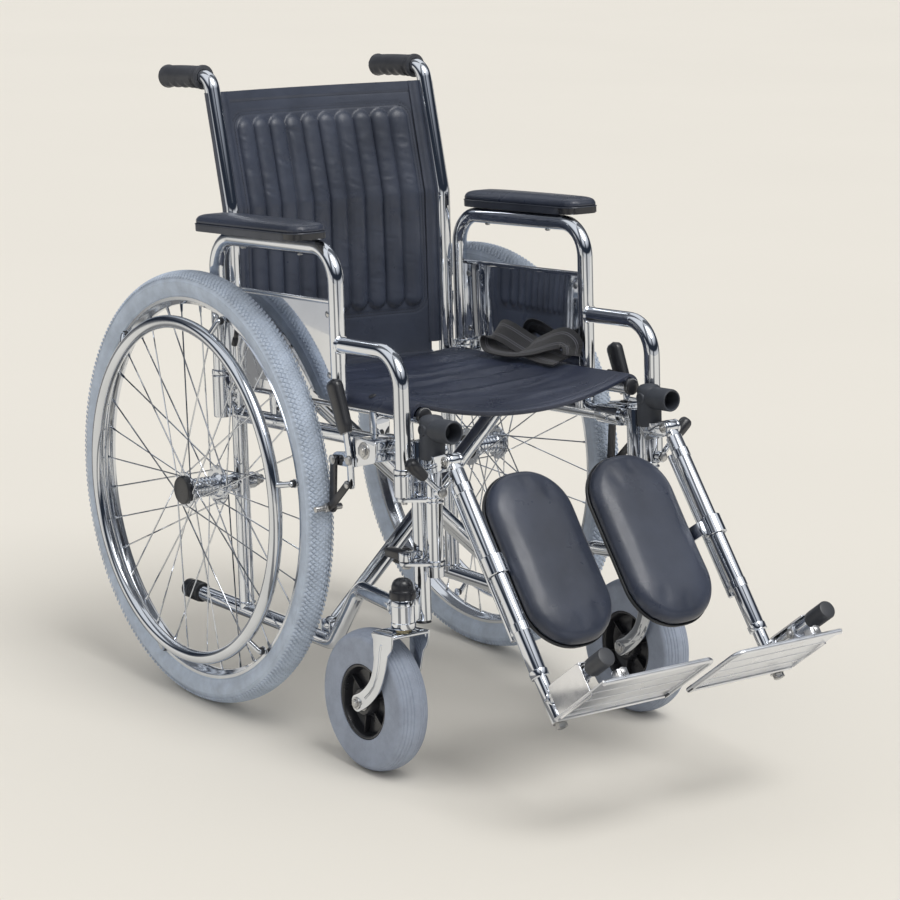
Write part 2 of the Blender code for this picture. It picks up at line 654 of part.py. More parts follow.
def saddles():
    solids = []
    for y in SADDLE_PLACES:
        solids.append(block((SEAT_RAIL_X - SADDLE_HALF_WIDTH, y - SADDLE_LENGTH / 2, RAIL_Z + 0.002),
                            (SEAT_RAIL_X + SADDLE_HALF_WIDTH, y + SADDLE_LENGTH / 2, SEAT_RAIL_Z - 0.004)))
    rail = bore((SEAT_RAIL_X, SADDLE_PLACES[0] + 0.05, SEAT_RAIL_Z),
                (SEAT_RAIL_X, SADDLE_PLACES[1] - 0.05, SEAT_RAIL_Z), TUBE_RADIUS, GAP)
    return solids, [rail]


def push_grip():
    start = GRIP_END_Y - GRIP_LENGTH
    outer = TUBE_RADIUS + GRIP_WALL
    stations = 2 * GRIP_GROOVES
    points = [(HALF_WIDTH, start, CANE_TOP_Z)]
    radii = [outer + 0.001]
    for step in range(stations + 1):
        share = step / stations
        points.append((HALF_WIDTH, start + 0.008 + share * (GRIP_LENGTH - 0.016), CANE_TOP_Z))
        radii.append(outer - GRIP_GROOVE_DEPTH / 2 * (1 - math.cos(2 * math.pi * GRIP_GROOVES * share)) / 2)
    points.append((HALF_WIDTH, GRIP_END_Y, CANE_TOP_Z))
    radii.append(outer - 0.001)
    inside = bore((HALF_WIDTH, start - 0.01, CANE_TOP_Z), (HALF_WIDTH, GRIP_END_Y - GRIP_WALL, CANE_TOP_Z),
                  TUBE_RADIUS, GAP)
    return without(sweep(points, radii, 10), inside)


def rear_tip_cap():
    end = lower_tube_point(LOWER_REAR[0])
    back = (end - lower_tube_point(LOWER_FRONT[0])).normalized()
    cap = rod(end - back * (TIP_CAP_LENGTH - TIP_CAP_END), end + back * TIP_CAP_END,
              TUBE_RADIUS + TIP_CAP_WALL, 12)
    inside = bore(end - back * TIP_CAP_LENGTH, end + back * GAP, TUBE_RADIUS, GAP)
    return without(cap, inside)


# Rear wheels
def axle():
    shaft = rod((AXLE_SLEEVE_INNER_X - AXLE_NUT_LENGTH - 0.003, 0, AXLE_Z),
                (HUB_OUTER_X - 0.008, 0, AXLE_Z), AXLE_RADIUS)
    nut = rod((AXLE_SLEEVE_INNER_X - AXLE_NUT_LENGTH, 0, AXLE_Z), (AXLE_SLEEVE_INNER_X - GAP, 0, AXLE_Z),
              AXLE_NUT_RADIUS, 6)
    collar = rod((AXLE_SLEEVE_OUTER_X + GAP, 0, AXLE_Z), (hub_start() - GAP, 0, AXLE_Z), AXLE_NUT_RADIUS)
    return fused(shaft, nut, collar)


def hub_start():
    return HUB_INNER_X - HUB_FLANGE_THICKNESS / 2 - 0.004


def wheel_point(x, radius, angle):
    return Vector((x, radius * math.sin(angle), AXLE_Z - radius * math.cos(angle)))


def rear_wheel():
    inner = RIM_RADIUS - RIM_DEPTH
    rim = turned(
        [
            (-RIM_HALF_WIDTH, RIM_RADIUS), (RIM_HALF_WIDTH, RIM_RADIUS),
            (RIM_HALF_WIDTH * 0.65, inner), (-RIM_HALF_WIDTH * 0.65, inner),
        ],
        (WHEEL_X, 0, AXLE_Z), "X", WHEEL_STEPS, closed=True, phase=FRAME_LEAN,
    )
    half = HUB_FLANGE_THICKNESS / 2
    bore_end = HUB_OUTER_X - 0.006
    cap_end = HUB_OUTER_X + half + HUB_CAP_LENGTH
    inside = bore_radius(AXLE_RADIUS, TURNING_GAP, HUB_STEPS)
    hub = turned(
        [
            (bore_end, 0), (bore_end, inside), (hub_start(), inside),
            (hub_start(), HUB_BARREL_RADIUS + 0.0015),
            (HUB_INNER_X - half, HUB_BARREL_RADIUS + 0.0015), (HUB_INNER_X - half, HUB_INNER_FLANGE_RADIUS),
            (HUB_INNER_X + half, HUB_INNER_FLANGE_RADIUS), (HUB_INNER_X + half, HUB_BARREL_RADIUS),
            (HUB_OUTER_X - half, HUB_BARREL_RADIUS), (HUB_OUTER_X - half, HUB_OUTER_FLANGE_RADIUS),
            (HUB_OUTER_X + half, HUB_OUTER_FLANGE_RADIUS), (HUB_OUTER_X + half, HUB_CAP_RADIUS),
            (cap_end - 0.002, HUB_CAP_RADIUS), (cap_end, HUB_CAP_RADIUS - 0.003), (cap_end, 0),
        ],
        (0, 0, AXLE_Z), "X", HUB_STEPS,
    )
    spokes = []
    for index in range(SPOKES):
        rim_angle = 2 * math.pi * (index + 0.25) / SPOKES
        lacing = SPOKE_LACING if (index // 2) % 2 == 0 else -SPOKE_LACING
        side = 0.0016 if lacing > 0 else -0.0016
        flange_x, flange_radius = ((HUB_INNER_X, HUB_INNER_FLANGE_RADIUS) if index % 2 == 0
                                   else (HUB_OUTER_X, HUB_OUTER_FLANGE_RADIUS))
        start = wheel_point(flange_x + side, flange_radius - 0.0045, rim_angle + lacing)
        end = wheel_point(WHEEL_X + side, inner + RIM_DEPTH / 2, rim_angle)
        spokes.append(rod(start, end, SPOKE_RADIUS, 3))
    return fused(rim, hub, *spokes)


def rear_tyre():
    width = TYRE_HALF_WIDTH
    seat = TYRE_SEAT_RADIUS
    return turned(
        [
            (-RIM_HALF_WIDTH * 0.95, seat), (-width, seat + TYRE_DEPTH * 0.52),
            (-width * 0.45, WHEEL_RADIUS), (width * 0.45, WHEEL_RADIUS),
            (width, seat + TYRE_DEPTH * 0.52), (RIM_HALF_WIDTH * 0.95, seat),
        ],
        (WHEEL_X, 0, AXLE_Z), "X", WHEEL_STEPS, closed=True, phase=FRAME_LEAN,
    )


def handrim():
    profile = []
    for step in range(6):
        angle = 2 * math.pi * step / 6
        profile.append((HANDRIM_TUBE * math.cos(angle), HANDRIM_RADIUS + HANDRIM_TUBE * math.sin(angle)))
    ring = turned(profile, (HANDRIM_X, 0, AXLE_Z), "X", WHEEL_STEPS, closed=True)
    foot_radius = RIM_RADIUS - RIM_DEPTH / 2 - STANDOFF_RADIUS * 0.4
    foot_x = WHEEL_X + RIM_HALF_WIDTH + GAP
    knee_x = foot_x + STANDOFF_RADIUS * 1.3
    solids = []
    for index in range(STANDOFFS):
        angle = 2 * math.pi * (index + 0.35) / STANDOFFS
        solids.append(sweep([wheel_point(foot_x, foot_radius, angle), wheel_point(knee_x, foot_radius, angle),
                             wheel_point(HANDRIM_X, HANDRIM_RADIUS + HANDRIM_TUBE * 0.3, angle)],
                            STANDOFF_RADIUS, 6))
    return fused(ring, *solids)


# Casters
def caster_cap():
    # A domed dust cap, pressed on the housing's top
    bottom = HOUSING_TOP + GAP
    radius = CASTER_CAP_RADIUS
    profile = [(0, 0), (0, radius - 0.001), (0.002, radius), (CASTER_CAP_HEIGHT * 0.33, radius)]
    for step in range(3):
        angle = math.pi / 2 * step / 3
        profile.append((CASTER_CAP_HEIGHT * (0.38 + 0.62 * math.sin(angle)), radius * 0.9 * math.cos(angle)))
    profile.append((CASTER_CAP_HEIGHT, 0))
    return turned(profile, (CASTER_STEM_X, CASTER_STEM_Y, bottom), "Z", 12)


def fork_arm(stem_y, axle_y, axle_z):
    # The outline of a pressed leg: it narrows below the crown, then curves back to the axle
    line = [(stem_y + 0.0075, CROWN_TOP - 0.001, 0.0235), (stem_y + 0.0075, CROWN_TOP - 0.012, 0.0215),
            (stem_y + 0.0115, CROWN_TOP - 0.025, 0.0160), (stem_y + 0.0140, CROWN_TOP - 0.040, 0.0135),
            (axle_y - 0.050, axle_z + 0.0467, 0.0125), (axle_y - 0.041, axle_z + 0.0297, 0.0120),
            (axle_y - 0.027, axle_z + 0.0157, 0.0116), (axle_y - 0.013, axle_z + 0.0062, 0.0114)]
    middle = [Vector((along, up)) for along, up, half in line] + [Vector((axle_y, axle_z))]
    front, rear = [], []
    for index, (along, up, half) in enumerate(line):
        direction = (middle[index + 1] - middle[max(index - 1, 0)]).normalized()
        across = Vector((-direction.y, direction.x)) * half
        front.append(tuple(middle[index] - across))
        rear.append(tuple(middle[index] + across))
    end = (middle[-1] - middle[-2]).normalized()
    across = Vector((-end.y, end.x))
    foot = CASTER_AXLE_RADIUS * FORK_FOOT
    cap = [tuple(middle[-1] + (end * math.sin(math.pi * step / 6) - across * math.cos(math.pi * step / 6)) * foot)
           for step in range(7)]
    return front + cap + rear[::-1]


def caster_fork():
    x = CASTER_STEM_X
    y = CASTER_STEM_Y
    inner = CASTER_TYRE_HALF_WIDTH + FORK_SIDE_CLEARANCE
    outer = inner + FORK_PLATE
    axle_y = CASTER_AXLE_Y
    axle_z = CASTER_AXLE_Z
    arm = fork_arm(y, axle_y, axle_z)
    crown = block((x - outer + 0.0004, y - 0.0165, CROWN_TOP - 0.005),
                  (x + outer - 0.0004, y + 0.0315, CROWN_TOP))
    solids = [plate(arm, "X", x + side * inner, x + side * outer) for side in (-1, 1)]
    solids.append(rod((x, y, CROWN_TOP - 0.003), (x, y, HOUSING_TOP - 0.004), CASTER_STEM_RADIUS, 10))
    solids.append(rod((x, y, CROWN_TOP - 0.003), (x, y, CASTER_HOUSING_BOTTOM - TURNING_GAP), 0.0125, 10))
    solids.append(rod((x - outer - 0.004, axle_y, axle_z), (x + outer + 0.004, axle_y, axle_z),
                      CASTER_AXLE_RADIUS, 8))
    for side in (-1, 1):
        solids.append(rod((x + side * (outer - 0.001), axle_y, axle_z),
                          (x + side * (outer + 0.0035), axle_y, axle_z), CASTER_AXLE_RADIUS * 1.6, 6))
    return fused(crown, *solids)


def caster_wheel():
    rim = CASTER_SEAT_RADIUS - GAP
    lip = CASTER_WHEEL_LIP
    hub = CASTER_AXLE_RADIUS + 0.013
    inside = bore_radius(CASTER_AXLE_RADIUS, TURNING_GAP, CASTER_STEPS)
    half = [(lip * 0.9, inside), (lip * 0.9, hub), (0.006, hub + 0.002), (0.006, rim - 0.009), (lip, rim)]
    profile = half + [(-place, radius) for place, radius in reversed(half)]
    return turned(profile, (CASTER_STEM_X, CASTER_AXLE_Y, CASTER_AXLE_Z), "X", CASTER_STEPS, closed=True,
                  phase=FRAME_LEAN)


def caster_tyre():
    width = CASTER_TYRE_HALF_WIDTH
    seat = CASTER_SEAT_RADIUS
    depth = CASTER_TYRE_DEPTH
    half = [(width * 0.72, seat), (width, seat + depth * 0.35), (width * 0.88, seat + depth * 0.84),
            (width * 0.42, CASTER_RADIUS)]
    profile = half + [(-place, radius) for place, radius in reversed(half)]
    return turned(profile, (CASTER_STEM_X, CASTER_AXLE_Y, CASTER_AXLE_Z), "X", CASTER_STEPS, closed=True,
                  phase=FRAME_LEAN)


# Armrests
def armrest():
    x = ARM_X
    loop = bent(
        [
            (x, ARM_REAR_Y, REAR_SOCKET_BOTTOM + SOCKET_FLOOR + GAP),
            (x, ARM_REAR_Y, ARM_TOP_Z),
            (x, ARM_FRONT_Y, ARM_TOP_Z),
            (x, ARM_FRONT_Y, GUARD_BOTTOM - GUARD_SKIRT),
        ],
        [BEND_RADIUS, BEND_RADIUS],
    )
    extension = bent(
        [
            (x, ARM_FRONT_Y - TUBE_RADIUS * 0.3, ARM_EXTENSION_Z),
            (x, ARM_EXTENSION_Y, ARM_EXTENSION_Z),
            (x, ARM_EXTENSION_Y, FRONT_SOCKET_BOTTOM + SOCKET_FLOOR + GAP),
        ],
        [BEND_RADIUS],
    )
    return fused(sweep(loop, TUBE_RADIUS), sweep(extension, TUBE_RADIUS))


def skirt_guard():
    rear = ARM_REAR_Y - TUBE_RADIUS - GAP
    front = ARM_FRONT_Y + TUBE_RADIUS + GAP
    half = GUARD_THICKNESS / 2
    skirt_rear = ARM_REAR_Y - SOCKET_RADIUS - GUARD_SKIRT_SET
    sheet = plate([(front, GUARD_TOP), (front, GUARD_BOTTOM - GUARD_SKIRT),
                   (skirt_rear, GUARD_BOTTOM - GUARD_SKIRT), (skirt_rear, GUARD_BOTTOM),
                   (rear, GUARD_BOTTOM), (rear, GUARD_TOP)], "X", ARM_X - half, ARM_X + half)
    return fused(sheet, rod((ARM_X, front + 0.0005, GUARD_TOP), (ARM_X, rear - 0.0005, GUARD_TOP),
                            GUARD_ROLL_RADIUS, 8))


def rounded_outline(half_width, half_length, corner, steps):
    points = []
    for quarter, (sx, sy) in enumerate(((1, 1), (-1, 1), (-1, -1), (1, -1))):
        for step in range(steps + 1):
            angle = math.pi / 2 * (quarter + step / steps)
            points.append((sx * (half_width - corner) + corner * math.cos(angle),
                           sy * (half_length - corner) + corner * math.sin(angle)))
    return points


def cushion(place, half_width, half_length, corner, levels, steps=4):
    # Each level holds how far the outline is drawn in and how high it lies
    rings = []
    for inset, level in levels:
        outline = rounded_outline(half_width - inset, half_length - inset, max(corner - inset, 0.002), steps)
        rings.append([place(u, v, level) for u, v in outline])
    return loft(rings)


def arm_pad():
    bottom = ARM_TOP_Z + TUBE_RADIUS + GAP
    middle = (PAD_REAR_Y + PAD_FRONT_Y) / 2
    levels = [(0.004, 0), (0, 0.004), (0, PAD_THICKNESS - 0.010), (0.003, PAD_THICKNESS - 0.004),
              (0.010, PAD_THICKNESS - 0.001), (0.018, PAD_THICKNESS)]

    def place(u, v, level):
        return Vector((PAD_X + u, middle + v, bottom + level))

    return cushion(place, PAD_WIDTH / 2, (PAD_REAR_Y - PAD_FRONT_Y) / 2, 0.022, levels)


# Cross brace, seat, back and belt
def cross_brace(lean_side, y):
    # From the lower pivot on one side, through the centre bolt, to the seat rail on the other
    low = Vector((-lean_side * BRACE_PIVOT_X, y, BRACE_PIVOT_Z))
    high = Vector((lean_side * SEAT_RAIL_X, y, SEAT_RAIL_Z))
    along = (high - low).normalized()
    half = BRACE_EYE_LENGTH / 2
    solids = [
        rod(low - Vector((0, half, 0)), low + Vector((0, half, 0)), BRACE_EYE_RADIUS, 12),
        rod((lean_side * SEAT_RAIL_X, SEAT_RAIL_FRONT_Y, SEAT_RAIL_Z),
            (lean_side * SEAT_RAIL_X, SEAT_RAIL_REAR_Y, SEAT_RAIL_Z), TUBE_RADIUS, TUBE_SIDES),
        rod((lean_side * SEAT_RAIL_X, SEAT_RAIL_FRONT_Y - 0.006, SEAT_RAIL_Z),
            (lean_side * SEAT_RAIL_X, SEAT_FRONT_Y - GAP, SEAT_RAIL_Z), TUBE_RADIUS + 0.0012, TUBE_SIDES),
    ]
    tube = sweep([low + along * BRACE_EYE_RADIUS * 0.7, low + along * 0.030, high],
                 [BRACE_EYE_LENGTH / 2 - 0.0005, BRACE_TUBE, BRACE_TUBE])
    bolt = []
    centre = Vector((0, BRACE_Y, BRACE_CENTRE_Z))
    towards = 1 if y < BRACE_Y else -1
    bores = [bore(low - Vector((0, 0.03, 0)), low + Vector((0, 0.03, 0)), PIVOT_PIN_RADIUS)]
    bolt_end = BRACE_OFFSET + BRACE_TUBE + 0.004
    if towards > 0:
        bolt.append(rod(centre - Vector((0, bolt_end, 0)), centre + Vector((0, bolt_end, 0)),
                        PIVOT_PIN_RADIUS))
        bolt.append(rod(centre - Vector((0, bolt_end, 0)), centre - Vector((0, bolt_end - 0.005, 0)), 0.008,
                        6))
    else:
        bores.append(bore(centre - Vector((0, 0.06, 0)), centre + Vector((0, 0.06, 0)), PIVOT_PIN_RADIUS))
    return without(fused(tube, *solids, *bolt), *bores)


def seat_sag(y):
    share = (y - SEAT_REAR_Y) / (SEAT_FRONT_Y - SEAT_REAR_Y)
    return SEAT_SAG_REAR + share * (SEAT_SAG_FRONT - SEAT_SAG_REAR)


def seat_sling():
    # Each station across the seat wraps over both rails and sags between them
    hem_angle = math.radians(-5)
    hem_steps = 3
    hem_turn = (math.pi / 2 - hem_angle) / hem_steps
    wrap = (TUBE_RADIUS + GAP) / math.cos(hem_turn / 2)
    inner_steps = 12
    stations = 6
    rings = []
    for station in range(stations + 1):
        y = SEAT_REAR_Y + (SEAT_FRONT_Y - SEAT_REAR_Y) * station / stations
        hem = 1.9 if station in (0, stations) else 1.0
        thickness = SLING_THICKNESS * hem
        lower = []
        upper = []
        for step in range(hem_steps + 1):
            angle = hem_angle + hem_turn * step
            for line, reach in ((lower, wrap), (upper, wrap + thickness)):
                line.append((SEAT_RAIL_X + reach * math.cos(angle), SEAT_RAIL_Z + reach * math.sin(angle)))
        for step in range(1, inner_steps):
            x = SEAT_RAIL_X * (1 - 2 * step / inner_steps)
            drop = seat_sag(y) * (1 - (x / SEAT_RAIL_X) ** 2)
            lower.append((x, SEAT_RAIL_Z + wrap - drop))
            upper.append((x, SEAT_RAIL_Z + wrap + thickness - drop))
        for line in (lower, upper):
            line += [(-x, z) for x, z in reversed(line[:hem_steps + 1])]
        rings.append([(x, y, z) for x, z in lower + upper[::-1]])
    return loft(rings)


def back_sling():
    # Each station up the back wraps behind both canes, with sewn channels between
    sleeve_turn = math.radians(200)
    sleeve_steps = 4
    wrap = (TUBE_RADIUS + SLEEVE_CLEARANCE) / math.cos(sleeve_turn / sleeve_steps / 2)
    edge = HALF_WIDTH - wrap
    per_channel = 3
    levels = [BACK_BOTTOM_Z, BACK_CHANNEL_BOTTOM_Z - 0.006, BACK_CHANNEL_BOTTOM_Z + 0.008,
              CANE_BEND_Z - 0.006, CANE_BEND_Z + 0.007, BACK_CHANNEL_TOP_Z - 0.012, BACK_CHANNEL_TOP_Z,
              BACK_TOP_Z]
    rings = []
    for level in levels:
        cane = cane_y(level)
        swell = 1.0 if BACK_CHANNEL_BOTTOM_Z < level < BACK_CHANNEL_TOP_Z - 0.001 else 0.0
        front = []
        for step in range(sleeve_steps + 1):
            angle = math.radians(-20) + sleeve_turn * step / sleeve_steps
            front.append((HALF_WIDTH + wrap * math.cos(angle), cane + wrap * math.sin(angle)))
        count = BACK_CHANNELS * per_channel
        for step in range(count + 1):
            x = BACK_CHANNEL_HALF_WIDTH * (1 - 2 * step / count)
            bulge = BACK_CHANNEL_DEPTH * abs(math.sin(math.pi * step / per_channel)) * swell
            front.append((x, cane + 0.002 + BACK_SAG * (1 - (x / edge) ** 2) - bulge))
        front += [(-x, y) for x, y in reversed(front[:sleeve_steps + 1])]
        rear = []
        for step in range(sleeve_steps + 1):
            angle = math.radians(-20 + 155 * step / sleeve_steps)
            rear.append((HALF_WIDTH + (wrap + SLING_THICKNESS) * math.cos(angle),
                         cane + (wrap + SLING_THICKNESS) * math.sin(angle)))
        inner = []
        for step in range(5):
            x = BACK_CHANNEL_HALF_WIDTH * (1 - 2 * step / 4)
            inner.append((x, cane + 0.002 + BACK_THICKNESS + BACK_SAG * (1 - (x / edge) ** 2)))
        rear = rear + inner + [(-x, y) for x, y in reversed(rear)]
        tail = BACK_TAIL if level == BACK_BOTTOM_Z else 0.0
        rings.append([(x, y, level - tail * (abs(x) < BACK_CHANNEL_HALF_WIDTH + 0.001))
                      for x, y in front + rear[::-1]])
    return loft(rings)


def belt():
    # Folded webbing that lies along the seat's left edge
    base = SEAT_RAIL_Z + TUBE_RADIUS + GAP + SLING_THICKNESS + BELT_LIFT
    pitch = BELT_THICKNESS * 2.3
    path = []
    for layer in range(BELT_LAYERS):
        level = base + BELT_THICKNESS / 2 + pitch * layer
        half = BELT_LENGTH / 2 - 0.008 * layer
        ends = (-half, half) if layer % 2 == 0 else (half, -half)
        path.append(Vector((BELT_Y + ends[0], level)))
        path.append(Vector((BELT_Y + ends[1], level)))
        if layer < BELT_LAYERS - 1:
            outward = 1 if ends[1] > 0 else -1
            for angle in (-45, 0, 45):
                turn = math.radians(angle)
                path.append(Vector((BELT_Y + ends[1] - 0.004 * outward + outward * (0.004 + pitch / 2 * math.cos(turn)),
                                    level + pitch / 2 + pitch / 2 * math.sin(turn))))
    left = []
    right = []
    for index, point in enumerate(path):
        before = path[max(index - 1, 0)]
        after = path[min(index + 1, len(path) - 1)]
        along = (after - before).normalized()
        across = Vector((-along.y, along.x)) * BELT_THICKNESS / 2
        left.append(tuple(point + across))
        right.append(tuple(point - across))
    return plate(left + right[::-1], "X", BELT_X - BELT_WIDTH / 2, BELT_X + BELT_WIDTH / 2)


# Brakes
def bar_outline(points, width):
    # A flat bar's outline along a path of pairs, with square ends
    path = [Vector(point) for point in points]
    left = []
    right = []
    for index, point in enumerate(path):
        before = path[max(index - 1, 0)]
        after = path[min(index + 1, len(path) - 1)]
        along = (after - before).normalized()
        across = Vector((-along.y, along.x)) * width / 2
        left.append(tuple(point + across))
        right.append(tuple(point - across))
    return left + right[::-1]


def brake_bracket():
    # A clamp round the upper rail, with a plate that carries the lever's and the shoe's pins
    inner = BRAKE_X - BRAKE_PLATE / 2 - TURNING_GAP
    rear, front = BRAKE_CLAMP_Y[1], BRAKE_CLAMP_Y[0]
    pivot = Vector(BRAKE_PIVOT)
    shoe = Vector(SHOE_PIVOT)
    outline = [
        (shoe.x + 0.009, shoe.y + 0.004), (shoe.x + 0.006, shoe.y - 0.008), (pivot.x, pivot.y - 0.010),
        (front, RAIL_Z - 0.014), (front - 0.004, RAIL_Z + 0.014), (rear, RAIL_Z + 0.016),
        (pivot.x + 0.014, pivot.y + 0.010), (shoe.x, shoe.y + 0.010),
    ]
    sheet = plate(outline, "X", inner - BRAKE_PLATE, inner)
    clamp = block((HALF_WIDTH + 0.002, front, RAIL_Z - 0.0145), (inner - 0.001, rear, RAIL_Z + 0.0145))
    pins = [rod((inner - 0.001, pin.x, pin.y), (BRAKE_X + BRAKE_PLATE / 2 + 0.0025, pin.x, pin.y),
                PIVOT_PIN_RADIUS) for pin in (pivot, shoe)]
    bolt = rod((inner - 0.001, (rear + front) / 2, RAIL_Z), (inner + 0.005, (rear + front) / 2, RAIL_Z),
               0.009, 6)
    rail = bore((HALF_WIDTH, front - 0.02, RAIL_Z), (HALF_WIDTH, rear + 0.02, RAIL_Z), TUBE_RADIUS, GAP)
    return without(fused(sheet, clamp, bolt, *pins), rail)


def brake_lever():
    half = BRAKE_PLATE / 2
    top = Vector(BRAKE_LEVER_TOP)
    bend = Vector(BRAKE_LEVER_BEND)
    hidden = top - (top - bend).normalized() * 0.010
    path = [Vector(BRAKE_TOGGLE) - Vector((0, 0.006)), Vector(BRAKE_TOGGLE), Vector(BRAKE_PIVOT), bend,
            hidden]
    bar = plate(bar_outline(path, BRAKE_LEVER_WIDTH), "X", BRAKE_X - half, BRAKE_X + half)
    eye = bore((BRAKE_X - 0.02, *BRAKE_PIVOT), (BRAKE_X + 0.02, *BRAKE_PIVOT), PIVOT_PIN_RADIUS)
    return without(bar, eye)


def brake_grip():
    top = Vector(BRAKE_LEVER_TOP)
    bend = Vector(BRAKE_LEVER_BEND)
    along = (top - bend).normalized()
    across = Vector((-along.y, along.x))
    start = top - along * BRAKE_GRIP_LENGTH
    half = BRAKE_GRIP_WIDTH / 2
    outline = [start - across * half * 0.8, start + along * 0.006 - across * half,
               top - along * 0.008 - across * half, top - across * half * 0.5,
               top + across * half * 0.5, top - along * 0.008 + across * half,
               start + along * 0.006 + across * half, start + across * half * 0.8]
    grip = plate([tuple(point) for point in outline], "X", BRAKE_X - BRAKE_GRIP_THICKNESS / 2,
                 BRAKE_X + BRAKE_GRIP_THICKNESS / 2)
    pocket_path = [bend - (bend - Vector(BRAKE_PIVOT)), bend, top - along * (0.010 - GAP)]
    pocket = plate(bar_outline(pocket_path, BRAKE_LEVER_WIDTH + 2 * GAP), "X",
                   BRAKE_X - BRAKE_PLATE / 2 - GAP, BRAKE_X + BRAKE_PLATE / 2 + GAP)
    return without(grip, pocket)


def brake_shoe():
    # The shoe link hangs from its pin, with the arm to the lever's toe on its outer face
    half = BRAKE_PLATE / 2
    shoe = Vector(SHOE_ROD)
    pivot = Vector(SHOE_PIVOT)
    toe = Vector(BRAKE_TOGGLE)
    elbow = shoe + Vector((-0.014, 0.008))
    foot = shoe - Vector((LINK_SET_FORWARD, 0))
    link = plate(bar_outline([pivot + Vector((0, 0.007)), pivot, foot, foot - Vector((0, 0.006))], 0.013),
                 "X",
                 BRAKE_X - half, BRAKE_X + half)
    outer = BRAKE_X + half + 0.003
    arm = plate(bar_outline([shoe, elbow, toe], 0.011), "X", outer, outer + 0.003)
    boss = rod((BRAKE_X, *shoe), (outer + 0.001, *shoe), 0.0055)
    press = rod((SHOE_ROD_INNER_X, *shoe), (SHOE_ROD_OUTER_X, *shoe), SHOE_ROD_RADIUS, 10)
    eye = bore((BRAKE_X - 0.01, *pivot), (BRAKE_X + half + 0.001, *pivot), PIVOT_PIN_RADIUS)
    return without(fused(link, arm, boss, press), eye)


# Leg rests: the hanger stands with the frame, the rest is modelled upright and leans with the leg
def leg_hanger():
    top = HANGER_TOP
    hinge = Vector((ARM_X, HINGE_Y))
    tube = Vector((HALF_WIDTH, HANGER_Y))
    along = (hinge - tube).normalized()
    across = Vector((-along.y, along.x)) * (HINGE_EYE_RADIUS - 0.0015)
    solids = []
    for z in (HINGE_UPPER_Z, HINGE_LOWER_Z):
        outline = [tube - across, hinge - across, hinge + across, tube + across]
        solids.append(plate([tuple(point) for point in outline], "Z", z, z + HINGE_PLATE))
        solids.append(rod((*hinge, z + 0.0003), (*hinge, z + HINGE_PLATE - 0.0003), HINGE_EYE_RADIUS, 12))
    for side in (-1, 1):
        near = HALF_WIDTH + side * (KNEE_KNUCKLE_WIDTH / 2 + TURNING_GAP)
        ear = [(HANGER_Y + 0.007, top - 0.018), (HANGER_Y + 0.007, top - 0.001),
               (HANGER_Y - KNEE_COVER_RADIUS - 0.002, top - 0.001), (KNEE_Y - 0.005, KNEE_Z + 0.0095),
               (KNEE_Y - 0.0105, KNEE_Z), (KNEE_Y - 0.005, KNEE_Z - 0.0095), (HANGER_Y - 0.007, top - 0.026)]
        solids.append(plate(ear, "X", near, near + side * KNEE_EAR))
    pin = KNEE_KNUCKLE_WIDTH / 2 + TURNING_GAP + KNEE_EAR + 0.002
    solids.append(rod((HALF_WIDTH - pin, KNEE_Y, KNEE_Z), (HALF_WIDTH + pin, KNEE_Y, KNEE_Z),
                      PIVOT_PIN_RADIUS))
    lever = Vector((lever_pin_x(), 0, lever_pin_z()))
    solids.append(rod(lever + Vector((0, HANGER_Y, 0)), lever + Vector((0, HANGER_Y - TUBE_RADIUS - 0.0145,
                                                                        0)),
                      PIVOT_PIN_RADIUS))
    bores = [bore((*hinge, z - 0.002), (*hinge, z + HINGE_PLATE + 0.002), PIVOT_PIN_RADIUS)
             for z in (HINGE_UPPER_Z, HINGE_LOWER_Z)]
    return without(fused(rod((*tube, HANGER_BOTTOM), (*tube, top), TUBE_RADIUS, TUBE_SIDES), *solids), *bores)


def lever_pin_x():
    return HALF_WIDTH + 0.003


def lever_pin_z():
    return HINGE_UPPER_Z + HINGE_PLATE + 0.009


def release_lever():
    y = HANGER_Y - TUBE_RADIUS - 0.0075
    eye = Vector((lever_pin_x(), y, lever_pin_z()))
    tip = Vector((HALF_WIDTH + LEVER_REACH[0], y, HINGE_UPPER_Z + LEVER_REACH[1]))
    along = (tip - eye).normalized()
    grip_start = tip - along * LEVER_GRIP_LENGTH
    grip = sweep([grip_start, grip_start + along * 0.006, tip - along * 0.005, tip],
                 [LEVER_GRIP_RADIUS * 0.8, LEVER_GRIP_RADIUS * 0.9, LEVER_GRIP_RADIUS,
                  LEVER_GRIP_RADIUS * 0.7], 10)
    hub = rod(eye - Vector((0, 0.005, 0)), eye + Vector((0, 0.005, 0)), 0.0075, 12)
    stem = rod(eye + along * 0.004, grip_start + along * 0.006, LEVER_STEM_RADIUS, 8)
    inside = bore(eye - Vector((0, 0.01, 0)), eye + Vector((0, 0.01, 0)), PIVOT_PIN_RADIUS)
    return without(fused(stem, hub, grip), inside)


